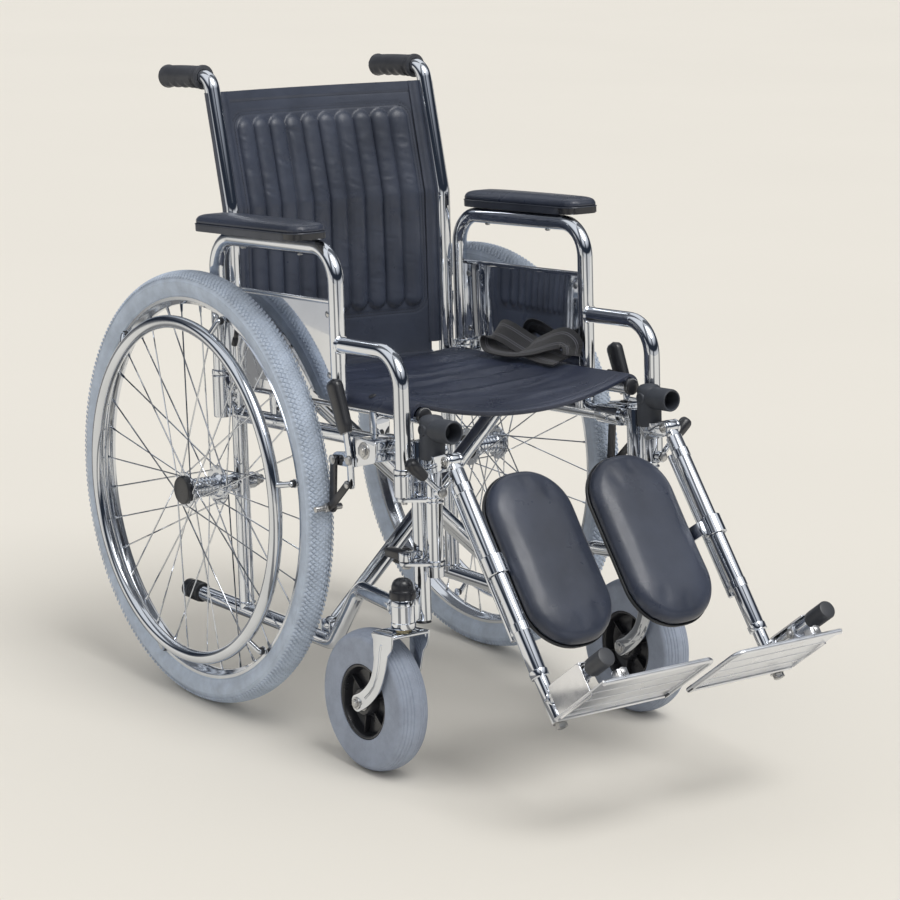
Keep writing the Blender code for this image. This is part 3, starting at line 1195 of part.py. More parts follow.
def knee_cover():
    # A moulded hood over the hanger's top, with a hollow snout that faces forwards
    base = HANGER_TOP + GAP
    hood = sweep([(HALF_WIDTH, HANGER_Y, base), (HALF_WIDTH, HANGER_Y, KNEE_COVER_TOP - 0.006),
                  (HALF_WIDTH, HANGER_Y, KNEE_COVER_TOP - 0.001),
                  (HALF_WIDTH, HANGER_Y, KNEE_COVER_TOP + 0.001)],
                 [KNEE_COVER_RADIUS, KNEE_COVER_RADIUS, KNEE_COVER_RADIUS * 0.8, KNEE_COVER_RADIUS * 0.4], 14)
    snout_radius = KNEE_COVER_RADIUS - 0.001
    snout = sweep([(HALF_WIDTH, HANGER_Y + 0.004, KNEE_SNOUT_Z),
                   (HALF_WIDTH, KNEE_SNOUT_Y + 0.003, KNEE_SNOUT_Z),
                   (HALF_WIDTH, KNEE_SNOUT_Y, KNEE_SNOUT_Z)],
                  [snout_radius, snout_radius, snout_radius - 0.001], 14)
    hollow = rod((HALF_WIDTH, KNEE_SNOUT_Y + 0.026, KNEE_SNOUT_Z),
                 (HALF_WIDTH, KNEE_SNOUT_Y - 0.01, KNEE_SNOUT_Z),
                 snout_radius - 0.0032, 12)
    return without(fused(hood, snout), hollow)


def leg_place(x, along, forward):
    # The leg's own upright axes, before it leans: down the leg is -Z and its front is -Y
    return Vector((x, -forward, -along))


def leg_tube():
    x = HALF_WIDTH
    start = KNEE_KNUCKLE_RADIUS + 0.0045
    half = KNEE_KNUCKLE_WIDTH / 2
    knuckle = rod(leg_place(x - half, 0, 0), leg_place(x + half, 0, 0), KNEE_KNUCKLE_RADIUS, 12)
    neck = block((x - half + 0.0005, -0.007, -start - 0.002), (x + half - 0.0005, 0.007, -0.004))
    tube = rod(leg_place(x, start, 0), leg_place(x, LEG_TUBE_END, 0), LEG_TUBE_RADIUS, TUBE_SIDES)
    collar = rod(leg_place(x, LEG_TUBE_END - 0.010, 0), leg_place(x, LEG_TUBE_END - 0.0003, 0),
                 LEG_TUBE_RADIUS + 0.0012, TUBE_SIDES)
    stay = rod(leg_place(x, LEG_ROD_SPAN[0], -LEG_ROD_SET_BACK),
               leg_place(x, LEG_ROD_SPAN[1], -LEG_ROD_SET_BACK),
               LEG_ROD_RADIUS, 8)
    ties = [block((x - 0.003, -0.002, -place - 0.004), (x + 0.003, LEG_ROD_SET_BACK, -place + 0.004))
            for place in (LEG_ROD_SPAN[0] + 0.009, LEG_ROD_SPAN[1] - 0.009)]
    bores = [
        bore(leg_place(x - 0.02, 0, 0), leg_place(x + 0.02, 0, 0), PIVOT_PIN_RADIUS),
        bore(leg_place(x, FOOT_TUBE_START - 0.006, 0), leg_place(x, LEG_TUBE_END + 0.01, 0),
             FOOT_TUBE_RADIUS, GAP, TUBE_SIDES),
    ]
    return without(fused(tube, neck, knuckle, collar, stay, *ties), *bores)


def foot_tube():
    x = HALF_WIDTH
    bar_end = FOOT_BAR_LENGTH
    tube = rod(leg_place(x, FOOT_TUBE_START, 0), leg_place(x, FOOT_TUBE_END, 0), FOOT_TUBE_RADIUS, TUBE_SIDES)
    bar = rod(leg_place(x, FOOT_BAR_LEVEL, 0), leg_place(x, FOOT_BAR_LEVEL, bar_end), FOOT_BAR_RADIUS,
              TUBE_SIDES)
    bolt = rod(leg_place(x, FOOT_TUBE_END - 0.008, 0), leg_place(x - 0.015, FOOT_TUBE_END - 0.008, 0), 0.005,
               6)
    return fused(tube, bar, bolt)


def foot_cap():
    x = HALF_WIDTH
    end = FOOT_BAR_LENGTH + 0.004
    cap = sweep([leg_place(x, FOOT_BAR_LEVEL, end - FOOT_CAP_LENGTH),
                 leg_place(x, FOOT_BAR_LEVEL, end - 0.003),
                 leg_place(x, FOOT_BAR_LEVEL, end)],
                [FOOT_BAR_RADIUS + FOOT_CAP_WALL, FOOT_BAR_RADIUS + FOOT_CAP_WALL,
                 FOOT_BAR_RADIUS + FOOT_CAP_WALL - 0.002], 14)
    inside = bore(leg_place(x, FOOT_BAR_LEVEL, end - FOOT_CAP_LENGTH - 0.01),
                  leg_place(x, FOOT_BAR_LEVEL, FOOT_BAR_LENGTH + GAP), FOOT_BAR_RADIUS, GAP)
    return without(cap, inside)


def footplate():
    heel = FOOT_PLATE_HEEL
    toe = heel + FOOT_PLATE_DEPTH
    level = FOOT_PLATE_LEVEL
    thickness = FOOT_PLATE_THICKNESS
    lip = FOOT_PLATE_LIP
    inner, outer = FOOT_PLATE_INNER_X, FOOT_PLATE_OUTER_X
    cheek = outer - CHEEK_THICKNESS
    top = -FOOT_BAR_LEVEL + FOOT_BAR_RADIUS + 0.005
    solids = [
        block((inner, -toe, -level - lip), (outer, -toe + 0.0035, -level + 0.0005)),
        block((inner + 0.0004, -heel - 0.003, -level - lip + 0.001),
              (outer - 0.0004, -heel + 0.0003, -level + 0.0004)),
        block((inner - 0.0003, -toe + 0.0002, -level - lip + 0.0005),
              (inner + 0.003, -heel, -level + 0.0006)),
        block((cheek + 0.0003, -heel - CHEEK_LENGTH, -level - lip + 0.0004),
              (outer + 0.0003, -heel - 0.0002, top)),
        block((outer - CHEEK_FLANGE, -heel - CHEEK_LENGTH + 0.0003, top - 0.0025),
              (outer - 0.0002, -heel - 0.0005, top - 0.0002)),
    ]
    ring = FOOT_BAR_RADIUS + TURNING_GAP + HINGE_RING_WALL
    for place in HINGE_RING_PLACES:
        near, far = place - HINGE_RING_WIDTH / 2, place + HINGE_RING_WIDTH / 2
        solids.append(rod(leg_place(HALF_WIDTH, FOOT_BAR_LEVEL, near),
                          leg_place(HALF_WIDTH, FOOT_BAR_LEVEL, far),
                          ring, 12))
        solids.append(block((cheek - 0.008, -far + 0.0005, -FOOT_BAR_LEVEL - 0.006),
                            (cheek + 0.001, -near - 0.0005, -FOOT_BAR_LEVEL + 0.006)))
    inside = bore(leg_place(HALF_WIDTH, FOOT_BAR_LEVEL, 0.0), leg_place(HALF_WIDTH, FOOT_BAR_LEVEL,
                                                                        toe + 0.02),
                  FOOT_BAR_RADIUS)
    sheet = block((inner, -toe + 0.0001, -level - thickness), (outer, -heel, -level))
    return without(fused(sheet, *solids), inside)


def calf_bracket():
    # A clamp round the leg tube, an arm to the pad's back and the plate that the pad is screwed to
    x = HALF_WIDTH
    low = CALF_CLAMP_PLACE - CALF_CLAMP_HEIGHT / 2
    high = CALF_CLAMP_PLACE + CALF_CLAMP_HEIGHT / 2
    ring = LEG_TUBE_RADIUS + TURNING_GAP + CALF_CLAMP_WALL
    back = pad_back()
    plate_b = back + GAP
    arm_outline = [
        (x - ring + 0.002, -0.0045), (x - 0.0165, -0.0030), (x - 0.0278, plate_b),
        (x - 0.060, plate_b + 0.0003),
        (x - 0.060, plate_b + CALF_ARM_THICKNESS), (x - 0.0245, plate_b + CALF_ARM_THICKNESS),
        (x - ring + 0.002, 0.0055),
    ]
    solids = [
        plate(arm_outline, "Z", -high + 0.003, -low - 0.003),
        block((CALF_PAD_X - CALF_PLATE_SIZE[0] / 2, plate_b, -CALF_CLAMP_PLACE - CALF_PLATE_SIZE[1] / 2),
              (CALF_PAD_X + CALF_PLATE_SIZE[0] / 2, plate_b + 0.0035,
               -CALF_CLAMP_PLACE + CALF_PLATE_SIZE[1] / 2)),
        block((CALF_PAD_X, plate_b + 0.0005, -high + 0.0035), (x - 0.050,
                                                               plate_b + CALF_ARM_THICKNESS + 0.0005,
                                                              -low - 0.0035)),
    ]
    inside = bore(leg_place(x, low - 0.01, 0), leg_place(x, high + 0.01, 0), LEG_TUBE_RADIUS)
    clamp = rod(leg_place(x, low, 0), leg_place(x, high, 0), ring, 14)
    return without(fused(clamp, *solids), inside)


def pad_back():
    # The pad's flat back in the leg's upright axes, where +Y is behind
    return CALF_PAD_SET_BACK + CALF_PAD_THICKNESS / 2


def calf_pad():
    thickness = CALF_PAD_THICKNESS
    levels = [(0.004, 0), (0, 0.004), (0, thickness * 0.55), (0.004, thickness * 0.74),
              (0.010, thickness * 0.86),
              (0.024, thickness * 0.96), (0.044, thickness)]

    def place(u, v, level):
        return Vector((CALF_PAD_X + u, pad_back() - level, -CALF_PAD_CENTRE + v))

    return cushion(place, CALF_PAD_HALF_WIDTH, CALF_PAD_LENGTH / 2, CALF_PAD_HALF_WIDTH - 0.004, levels, 5)


# Assembly
def empty(name, parent=None, location=(0, 0, 0), rotation=(0, 0, 0)):
    obj = bpy.data.objects.new(name, None)
    bpy.context.scene.collection.objects.link(obj)
    obj.parent = parent
    obj.location = location
    obj.rotation_euler = rotation
    return obj


def finish(obj, name, material, parent, origin=(0, 0, 0)):
    obj.name = name
    obj.data.name = name
    obj.data.transform(Matrix.Translation(-Vector(origin)))
    obj.location = origin
    obj.parent = parent
    obj.data.materials.clear()
    obj.data.materials.append(material)
    obj.data.shade_smooth()
    obj.data.set_sharp_from_angle(angle=SHARP_ANGLE)
    return obj


def pair(build, name, material, parent, origin=(0, 0, 0)):
    # The builder's shape is the left one, at +X
    left = build()
    right = mirrored(left)
    finish(left, name + "_left", material, parent, origin)
    finish(right, name + "_right", material, parent, (-origin[0], origin[1], origin[2]))


def rest_on_floor(chair):
    # The chair's box is centred on the origin, and its wheels stand on z = 0
    bpy.context.view_layer.update()
    corners = []
    for obj in bpy.data.objects:
        if obj.type == "MESH":
            corners += [obj.matrix_world @ vertex.co for vertex in obj.data.vertices]
    middle = (min(point.y for point in corners) + max(point.y for point in corners)) / 2
    chair.location.y -= middle


def build():
    clear_scene()
    materials = make_materials()
    chrome = materials["chrome"]
    # The empty's own rotation is about the rear axle, so it carries an offset back to the floor
    lean = empty("chair_lean", None, (0, 0, AXLE_Z), (-FRAME_LEAN, 0, 0))
    chair = empty("chair_axes", lean, (0, 0, -AXLE_Z))
    leg = empty("leg_axes", chair, (0, KNEE_Y, KNEE_Z), (-LEG_RAISE, 0, 0))

    brace_rear, brace_front = BRACE_Y + BRACE_OFFSET, BRACE_Y - BRACE_OFFSET
    finish(side_frame(brace_rear), "side_frame_left", chrome, chair)
    finish(mirrored_once(side_frame(brace_front)), "side_frame_right", chrome, chair)
    finish(cross_brace(1, brace_front), "cross_brace_front", chrome, chair,
           (-BRACE_PIVOT_X, brace_front, BRACE_PIVOT_Z))
    finish(cross_brace(-1, brace_rear), "cross_brace_rear", chrome, chair, (0, BRACE_Y, BRACE_CENTRE_Z))

    pair(push_grip, "push_grip", materials["black_rubber"], chair)
    pair(rear_tip_cap, "rear_tip_cap", materials["black_plastic"], chair)
    pair(axle, "axle", materials["zinc"], chair, (0, 0, AXLE_Z))
    wheel_centre = (WHEEL_X, 0, AXLE_Z)
    pair(rear_wheel, "rear_wheel", chrome, chair, wheel_centre)
    pair(rear_tyre, "rear_tyre", materials["grey_rubber"], chair, wheel_centre)
    pair(handrim, "handrim", chrome, chair, wheel_centre)

    stem = (CASTER_STEM_X, CASTER_STEM_Y, HOUSING_TOP)
    caster_centre = (CASTER_STEM_X, CASTER_AXLE_Y, CASTER_AXLE_Z)
    pair(caster_cap, "caster_cap", materials["black_plastic"], chair)
    pair(caster_fork, "caster_fork", chrome, chair, stem)
    pair(caster_wheel, "caster_wheel", materials["black_plastic"], chair, caster_centre)
    pair(caster_tyre, "caster_tyre", materials["grey_rubber"], chair, caster_centre)

    pair(armrest, "armrest", chrome, chair, (ARM_X, ARM_REAR_Y, ARM_TOP_Z))
    pair(skirt_guard, "skirt_guard", materials["aluminium"], chair)
    pair(arm_pad, "arm_pad", materials["vinyl"], chair)

    brake_pivot = (BRAKE_X, *BRAKE_PIVOT)
    pair(brake_bracket, "brake_bracket", materials["zinc"], chair)
    pair(brake_lever, "brake_lever", chrome, chair, brake_pivot)
    pair(brake_grip, "brake_grip", materials["black_rubber"], chair, brake_pivot)
    pair(brake_shoe, "brake_shoe", materials["zinc"], chair, (BRAKE_X, *SHOE_PIVOT))

    hinge = (ARM_X, HINGE_Y, HINGE_UPPER_Z)
    pair(leg_hanger, "leg_hanger", chrome, chair, hinge)
    pair(knee_cover, "knee_cover", materials["dark_grey_plastic"], chair, hinge)
    pair(release_lever, "release_lever", chrome, chair,
         (lever_pin_x(), HANGER_Y - TUBE_RADIUS - 0.0075, lever_pin_z()))
    pair(leg_tube, "leg_tube", chrome, leg, (HALF_WIDTH, 0, 0))
    pair(foot_tube, "foot_tube", chrome, leg, tuple(leg_place(HALF_WIDTH, FOOT_TUBE_START, 0)))
    pair(foot_cap, "foot_cap", materials["black_rubber"], leg)
    pair(footplate, "footplate", materials["aluminium"], leg, tuple(leg_place(HALF_WIDTH, FOOT_BAR_LEVEL, 0)))
    pair(calf_bracket, "calf_bracket", chrome, leg, tuple(leg_place(HALF_WIDTH, CALF_CLAMP_PLACE, 0)))
    pair(calf_pad, "calf_pad", materials["vinyl"], leg, tuple(leg_place(HALF_WIDTH, CALF_CLAMP_PLACE, 0)))

    finish(seat_sling(), "seat_sling", materials["vinyl"], chair)
    finish(back_sling(), "back_sling", materials["vinyl"], chair)
    finish(belt(), "belt", materials["webbing"], chair)
    rest_on_floor(lean)


build()
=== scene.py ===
# A folding wheelchair with elevating leg rests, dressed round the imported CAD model.
import math

import bpy
from mathutils import Matrix, Vector, noise as fieldNoise


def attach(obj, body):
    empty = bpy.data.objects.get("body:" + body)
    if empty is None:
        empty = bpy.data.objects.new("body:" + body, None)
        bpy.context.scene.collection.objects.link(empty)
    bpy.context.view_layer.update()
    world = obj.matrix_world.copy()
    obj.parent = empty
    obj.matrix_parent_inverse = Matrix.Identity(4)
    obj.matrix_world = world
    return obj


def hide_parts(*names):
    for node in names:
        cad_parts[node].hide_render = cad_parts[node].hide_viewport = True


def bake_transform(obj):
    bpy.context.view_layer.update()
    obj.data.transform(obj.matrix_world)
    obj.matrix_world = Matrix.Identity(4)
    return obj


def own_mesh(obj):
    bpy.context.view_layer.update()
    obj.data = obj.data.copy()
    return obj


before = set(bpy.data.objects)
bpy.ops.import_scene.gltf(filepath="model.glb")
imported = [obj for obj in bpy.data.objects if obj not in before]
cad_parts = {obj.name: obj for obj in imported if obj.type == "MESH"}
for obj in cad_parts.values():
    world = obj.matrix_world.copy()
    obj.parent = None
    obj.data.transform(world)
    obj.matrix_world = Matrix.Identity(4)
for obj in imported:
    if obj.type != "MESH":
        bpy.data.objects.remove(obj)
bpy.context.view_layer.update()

print("frame loaded:", len(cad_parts), "CAD nodes")

# The chair leans back about the rear axle, and each leg rest leans about its knee pin
axleY = 0.262432
wheelRadius = 0.305
chairLean = math.radians(-4.0)
legLean = math.radians(-34.5)
kneeY, kneeZ = -0.504, 0.397
chairAxes = (Matrix.Translation((0, axleY, wheelRadius)) @ Matrix.Rotation(chairLean, 4, "X")
             @ Matrix.Translation((0, 0, -wheelRadius)))
legAxes = chairAxes @ Matrix.Translation((0, kneeY, kneeZ)) @ Matrix.Rotation(legLean, 4, "X")

sideX = 0.182            # plane of a side frame's tubes
tubeRadius = 0.011
seatRailX, seatRailZ = 0.174, 0.44567


# Materials, all procedural on Object coordinates
def newMaterial(name, colour, roughness, metallic=0.0, coat=0.0, sheen=0.0):
    material = bpy.data.materials.new(name)
    material.use_nodes = True
    shader = material.node_tree.nodes["Principled BSDF"]
    shader.inputs["Base Color"].default_value = (*colour, 1.0)
    shader.inputs["Roughness"].default_value = roughness
    shader.inputs["Metallic"].default_value = metallic
    shader.inputs["Coat Weight"].default_value = coat
    shader.inputs["Coat Roughness"].default_value = 0.12
    shader.inputs["Sheen Weight"].default_value = sheen
    return material, material.node_tree, shader


def objectCoordinates(tree, stretch=(1, 1, 1)):
    coordinates = tree.nodes.new("ShaderNodeTexCoord")
    mapping = tree.nodes.new("ShaderNodeMapping")
    mapping.inputs["Scale"].default_value = stretch
    tree.links.new(coordinates.outputs["Object"], mapping.inputs["Vector"])
    return mapping.outputs["Vector"]


def noise(tree, vector, scale, detail=3.0, roughness=0.55):
    node = tree.nodes.new("ShaderNodeTexNoise")
    node.inputs["Scale"].default_value = scale
    node.inputs["Detail"].default_value = detail
    node.inputs["Roughness"].default_value = roughness
    tree.links.new(vector, node.inputs["Vector"])
    return node.outputs["Fac"]


def remap(tree, value, low, high, start=0.3, end=0.7):
    node = tree.nodes.new("ShaderNodeMapRange")
    node.inputs["From Min"].default_value = start
    node.inputs["From Max"].default_value = end
    node.inputs["To Min"].default_value = low
    node.inputs["To Max"].default_value = high
    tree.links.new(value, node.inputs["Value"])
    return node.outputs["Result"]


def mixColours(tree, factor, first, second):
    node = tree.nodes.new("ShaderNodeMix")
    node.data_type = "RGBA"
    node.inputs["A"].default_value = (*first, 1.0)
    node.inputs["B"].default_value = (*second, 1.0)
    tree.links.new(factor, node.inputs["Factor"])
    return node.outputs["Result"]


def addBump(tree, shader, height, distance, strength=1.0, previous=None):
    bump = tree.nodes.new("ShaderNodeBump")
    bump.inputs["Distance"].default_value = distance
    bump.inputs["Strength"].default_value = strength
    tree.links.new(height, bump.inputs["Height"])
    if previous is not None:
        tree.links.new(previous, bump.inputs["Normal"])
    tree.links.new(bump.outputs["Normal"], shader.inputs["Normal"])
    return bump.outputs["Normal"]


def metalMaterial(name, colour, roughness, worn, ripple=0.00003):
    # Plated metal: the plate is bright, with faint wiping marks and dull spots where hands and dust reach
    material, tree, shader = newMaterial(name, colour, roughness, metallic=1.0)
    vector = objectCoordinates(tree)
    wiped = noise(tree, vector, 38.0, 5.0, 0.6)
    tree.links.new(remap(tree, wiped, roughness * 0.7, worn), shader.inputs["Roughness"])
    dusty = noise(tree, vector, 9.0, 3.0)
    darker = tuple(c * 0.86 for c in colour)
    tree.links.new(mixColours(tree, remap(tree, dusty, 0.0, 1.0), darker, colour), shader.inputs["Base Color"])
    addBump(tree, shader, noise(tree, vector, 24.0, 1.0), ripple, 0.6)
    return material


def mouldedMaterial(name, colour, roughness, grain=420.0, depth=0.00006, coat=0.0):
    # Moulded plastic or rubber with a fine pitted skin and dust in the hollows
    material, tree, shader = newMaterial(name, colour, roughness, coat=coat)
    vector = objectCoordinates(tree)
    lighter = tuple(min(1.0, c * 1.5 + 0.006) for c in colour)
    tree.links.new(mixColours(tree, remap(tree, noise(tree, vector, 14.0, 4.0), 0.0, 1.0), colour, lighter),
                   shader.inputs["Base Color"])
    tree.links.new(remap(tree, noise(tree, vector, 60.0), roughness * 0.85, min(1.0, roughness * 1.25)),
                   shader.inputs["Roughness"])
    addBump(tree, shader, noise(tree, vector, grain, 2.0), depth)
    return material


def vinylMaterial(name, colour, roughness, wrinkle=0.0006, grain=0.00012):
    # Upholstery vinyl: a leather grain pressed in, with soft creases and a worn sheen
    material, tree, shader = newMaterial(name, colour, roughness, coat=0.25)
    shader.inputs["Coat Roughness"].default_value = 0.32
    vector = objectCoordinates(tree)
    cells = tree.nodes.new("ShaderNodeTexVoronoi")
    cells.feature = "DISTANCE_TO_EDGE"
    cells.inputs["Scale"].default_value = 620.0
    tree.links.new(vector, cells.inputs["Vector"])
    grainNormal = addBump(tree, shader, remap(tree, cells.outputs["Distance"], 0.0, 1.0, 0.0, 0.12), grain, 0.5)
    creases = objectCoordinates(tree, (1.0, 1.6, 3.2))
    addBump(tree, shader, noise(tree, creases, 17.0, 3.0, 0.5), wrinkle, 0.8, grainNormal)
    worn = tuple(min(1.0, c * 1.9 + 0.004) for c in colour)
    tree.links.new(mixColours(tree, remap(tree, noise(tree, vector, 7.0, 5.0, 0.65), 0.0, 1.0), colour, worn),
                   shader.inputs["Base Color"])
    tree.links.new(remap(tree, noise(tree, vector, 22.0, 3.0), roughness * 0.75, roughness * 1.3),
                   shader.inputs["Roughness"])
    return material


def tyreMaterial(name, colour, roughness):
    material, tree, shader = newMaterial(name, colour, roughness)
    vector = objectCoordinates(tree)
    dusty = remap(tree, noise(tree, vector, 30.0, 6.0, 0.7), 0.0, 1.0)
    tree.links.new(mixColours(tree, dusty, colour, tuple(c * 0.72 for c in colour)), shader.inputs["Base Color"])
    addBump(tree, shader, noise(tree, vector, 260.0, 3.0), 0.0002, 0.7)
    return material


def webbingMaterial(name, colour):
    # Woven belt on the strap's own UV map: crossing threads, with paler stripes along its length
    material, tree, shader = newMaterial(name, colour, 0.8, sheen=0.3)
    coordinates = tree.nodes.new("ShaderNodeTexCoord")
    heights = []
    for direction, scale in (("X", 11.0), ("Y", 5.5)):
        wave = tree.nodes.new("ShaderNodeTexWave")
        wave.bands_direction = direction
        wave.inputs["Scale"].default_value = scale
        tree.links.new(coordinates.outputs["UV"], wave.inputs["Vector"])
        heights.append(wave.outputs["Fac"])
    product = tree.nodes.new("ShaderNodeMath")
    product.operation = "MULTIPLY"
    tree.links.new(heights[0], product.inputs[0])
    tree.links.new(heights[1], product.inputs[1])
    addBump(tree, shader, product.outputs["Value"], 0.0004)
    split = tree.nodes.new("ShaderNodeSeparateXYZ")
    tree.links.new(coordinates.outputs["UV"], split.inputs["Vector"])
    stripes = tree.nodes.new("ShaderNodeValToRGB")
    stripes.color_ramp.elements[0].color = (*colour, 1.0)
    stripes.color_ramp.elements[1].color = (*colour, 1.0)
    pale = tuple(c * 8 + 0.05 for c in colour)
    for middle in (0.22, 0.3, 0.7, 0.78):
        for shift, shade in ((-0.018, colour), (0.0, pale), (0.018, colour)):
            stripes.color_ramp.elements.new(middle + shift).color = (*shade, 1.0)
    tree.links.new(split.outputs["X"], stripes.inputs["Fac"])
    tree.links.new(stripes.outputs["Color"], shader.inputs["Base Color"])
    return material


# Each finish, with the record's material slot listed beside it
finish = {
    "chrome": (metalMaterial("chromePlate", (0.83, 0.86, 0.91), 0.03, 0.08, 0.00002), "chrome"),
    "wheelChrome": (metalMaterial("wheelChrome", (0.78, 0.81, 0.86), 0.06, 0.14), "chrome"),
    "zinc": (metalMaterial("zincPlate", (0.6, 0.6, 0.6), 0.28, 0.42, 0.00006), "zinc"),
    "brass": (metalMaterial("yellowZinc", (0.72, 0.6, 0.36), 0.28, 0.4, 0.00006), "zinc"),
    "guardMetal": (metalMaterial("polishedSheet", (0.82, 0.84, 0.88), 0.03, 0.09, 0.00004), "aluminium"),
    "darkSteel": (metalMaterial("blackenedSteel", (0.1, 0.1, 0.105), 0.32, 0.45), "zinc"),
    "backVinyl": (vinylMaterial("backVinyl", (0.029, 0.036, 0.056), 0.34, 0.0009), "vinyl"),
    "seatVinyl": (vinylMaterial("seatVinyl", (0.016, 0.021, 0.04), 0.32, 0.001), "vinyl"),
    "padVinyl": (vinylMaterial("padVinyl", (0.022, 0.028, 0.046), 0.32, 0.0002), "vinyl"),
    "piping": (mouldedMaterial("pipingVinyl", (0.014, 0.016, 0.02), 0.32, 300.0, 0.00005), "black_plastic"),
    "thread": (mouldedMaterial("blackThread", (0.022, 0.024, 0.03), 0.7, 900.0, 0.0001), "vinyl"),
    "blackPlastic": (mouldedMaterial("blackPlastic", (0.014, 0.015, 0.019), 0.3, coat=0.25), "black_plastic"),
    "greyPlastic": (mouldedMaterial("darkGreyPlastic", (0.03, 0.035, 0.046), 0.52, 260.0, 0.00012),
                    "dark_grey_plastic"),
    "blackRubber": (mouldedMaterial("blackRubber", (0.034, 0.037, 0.046), 0.44, 300.0, 0.00008), "black_rubber"),
    "greyTyre": (tyreMaterial("greyTyre", (0.55, 0.635, 0.77), 0.7), "grey_rubber"),
    "casterTyre": (tyreMaterial("casterTyre", (0.345, 0.395, 0.5), 0.55), "grey_rubber"),
    "webbing": (webbingMaterial("beltWebbing", (0.016, 0.017, 0.022)), "webbing"),
    "padBase": (mouldedMaterial("padBase", (0.034, 0.04, 0.056), 0.36, 300.0, 0.00005, 0.1), "dark_grey_plastic"),
    "capRubber": (mouldedMaterial("greyBlackRubber", (0.034, 0.037, 0.044), 0.42, 300.0, 0.00006), "black_rubber"),
    "plateMetal": (metalMaterial("brushedPlate", (0.9, 0.92, 0.96), 0.34, 0.46, 0.00001), "aluminium"),
    "cheekMetal": (metalMaterial("polishedCheek", (0.93, 0.94, 0.97), 0.2, 0.3, 0.00002), "aluminium"),
}
print("materials made:", len(finish))


# Shaping tools: every piece is made in chair axes at the left side, then placed
def deselectAll():
    if bpy.context.mode != "OBJECT":
        bpy.ops.object.mode_set(mode="OBJECT")
    bpy.ops.object.select_all(action="DESELECT")


def pick(*objects):
    deselectAll()
    for obj in objects:
        obj.select_set(True)
    bpy.context.view_layer.objects.active = objects[0]
    return objects[0]


def smoothStep(value):
    value = max(0.0, min(1.0, value))
    return value * value * (3 - 2 * value)


def activePiece():
    return bpy.context.view_layer.objects.active


def added(name, data):
    obj = bpy.data.objects.new(name, data)
    bpy.context.scene.collection.objects.link(obj)
    return pick(obj)


def applied(obj, modifier):
    pick(obj)
    bpy.ops.object.modifier_apply(modifier=modifier.name)
    return obj


def settled():
    # The new primitive, with its place put into its mesh
    bpy.ops.object.transform_apply(location=True, rotation=True, scale=True)
    return activePiece()


def shaped(points, edges, faces, shaping=None):
    # A mesh from its points, shaped in edit mode, with its faces turned outwards
    mesh = bpy.data.meshes.new("piece")
    mesh.from_pydata(points, edges, faces)
    obj = added("piece", mesh)
    bpy.ops.object.mode_set(mode="EDIT")
    bpy.ops.mesh.select_all(action="SELECT")
    if shaping:
        shaping()
        bpy.ops.mesh.select_all(action="SELECT")
    bpy.ops.mesh.normals_make_consistent(inside=False)
    bpy.ops.object.mode_set(mode="OBJECT")
    return obj


def arc(centre, radius, begin, turn, steps, skip=0):
    # Points round a centre; the angles are in degrees
    angles = [math.radians(begin + turn * step / steps) for step in range(skip, steps + 1)]
    return [(centre[0] + radius * math.cos(angle), centre[1] + radius * math.sin(angle)) for angle in angles]


def bothSides(side):
    # A half section of (place, radius) with its mirror image
    return side + [(-along, radius) for along, radius in reversed(side) if along]


def sleeve(low, high, inner, outer, cutAlong, cutOut):
    # The section of a bored sleeve whose outer edges are cut back
    return [(low, inner), (low, outer - cutOut), (low + cutAlong, outer), (high - cutAlong, outer),
            (high, outer - cutOut), (high, inner)]


def smoothMarks(marks, steps):
    # A smooth curve through marks of any number of values, in so many steps from each to the next
    marks = [Vector(mark) for mark in marks]
    finer = []
    for before, here, there, after in zip(marks[:1] + marks, marks, marks[1:], marks[2:] + marks[-1:]):
        for step in range(steps):
            t = step / steps
            finer.append(0.5 * (2 * here + (there - before) * t
                                + (2 * before - 5 * here + 4 * there - after) * t * t
                                + (3 * here - before - 3 * there + after) * t ** 3))
    return finer + marks[-1:]


def roundedPath(corners, bends, steps=10):
    corners = [Vector(corner) for corner in corners]
    if not isinstance(bends, (list, tuple)):
        bends = [bends] * (len(corners) - 2)
    path = [corners[0]]
    for before, corner, after, bend in zip(corners, corners[1:], corners[2:], bends):
        arriving = (corner - before).normalized()
        leaving = (after - corner).normalized()
        turn = arriving.angle(leaving)
        start = corner - arriving * bend * math.tan(turn / 2)
        inward = (leaving - arriving * leaving.dot(arriving)).normalized()
        centre = start + inward * bend
        for step in range(steps + 1):
            angle = turn * step / steps
            path.append(centre - inward * bend * math.cos(angle) + arriving * bend * math.sin(angle))
    path.append(corners[-1])
    return path


def tube(corners, radius, bends=0.045, sides=20, closed=False, steps=10):
    # A curve with a round section, made a mesh
    path = roundedPath(corners, bends, steps) if len(corners) > 2 and bends else [Vector(c) for c in corners]
    curve = bpy.data.curves.new("tube", "CURVE")
    curve.dimensions = "3D"
    spline = curve.splines.new("POLY")
    spline.points.add(len(path) - 1)
    for point, spot in zip(spline.points, path):
        point.co = (*spot, 1.0)
    spline.use_cyclic_u = closed
    curve.bevel_depth = radius
    curve.bevel_resolution = max(0, sides // 4 - 1)
    curve.use_fill_caps = not closed
    added("tube", curve)
    bpy.ops.object.convert(target="MESH")
    return activePiece()


def softenEdges(obj, width, segments=2, angle=35.0):
    if not width:
        return obj
    bevel = obj.modifiers.new("soften", "BEVEL")
    bevel.width = width
    bevel.segments = segments
    bevel.limit_method = "ANGLE"
    bevel.angle_limit = math.radians(angle)
    return applied(obj, bevel)


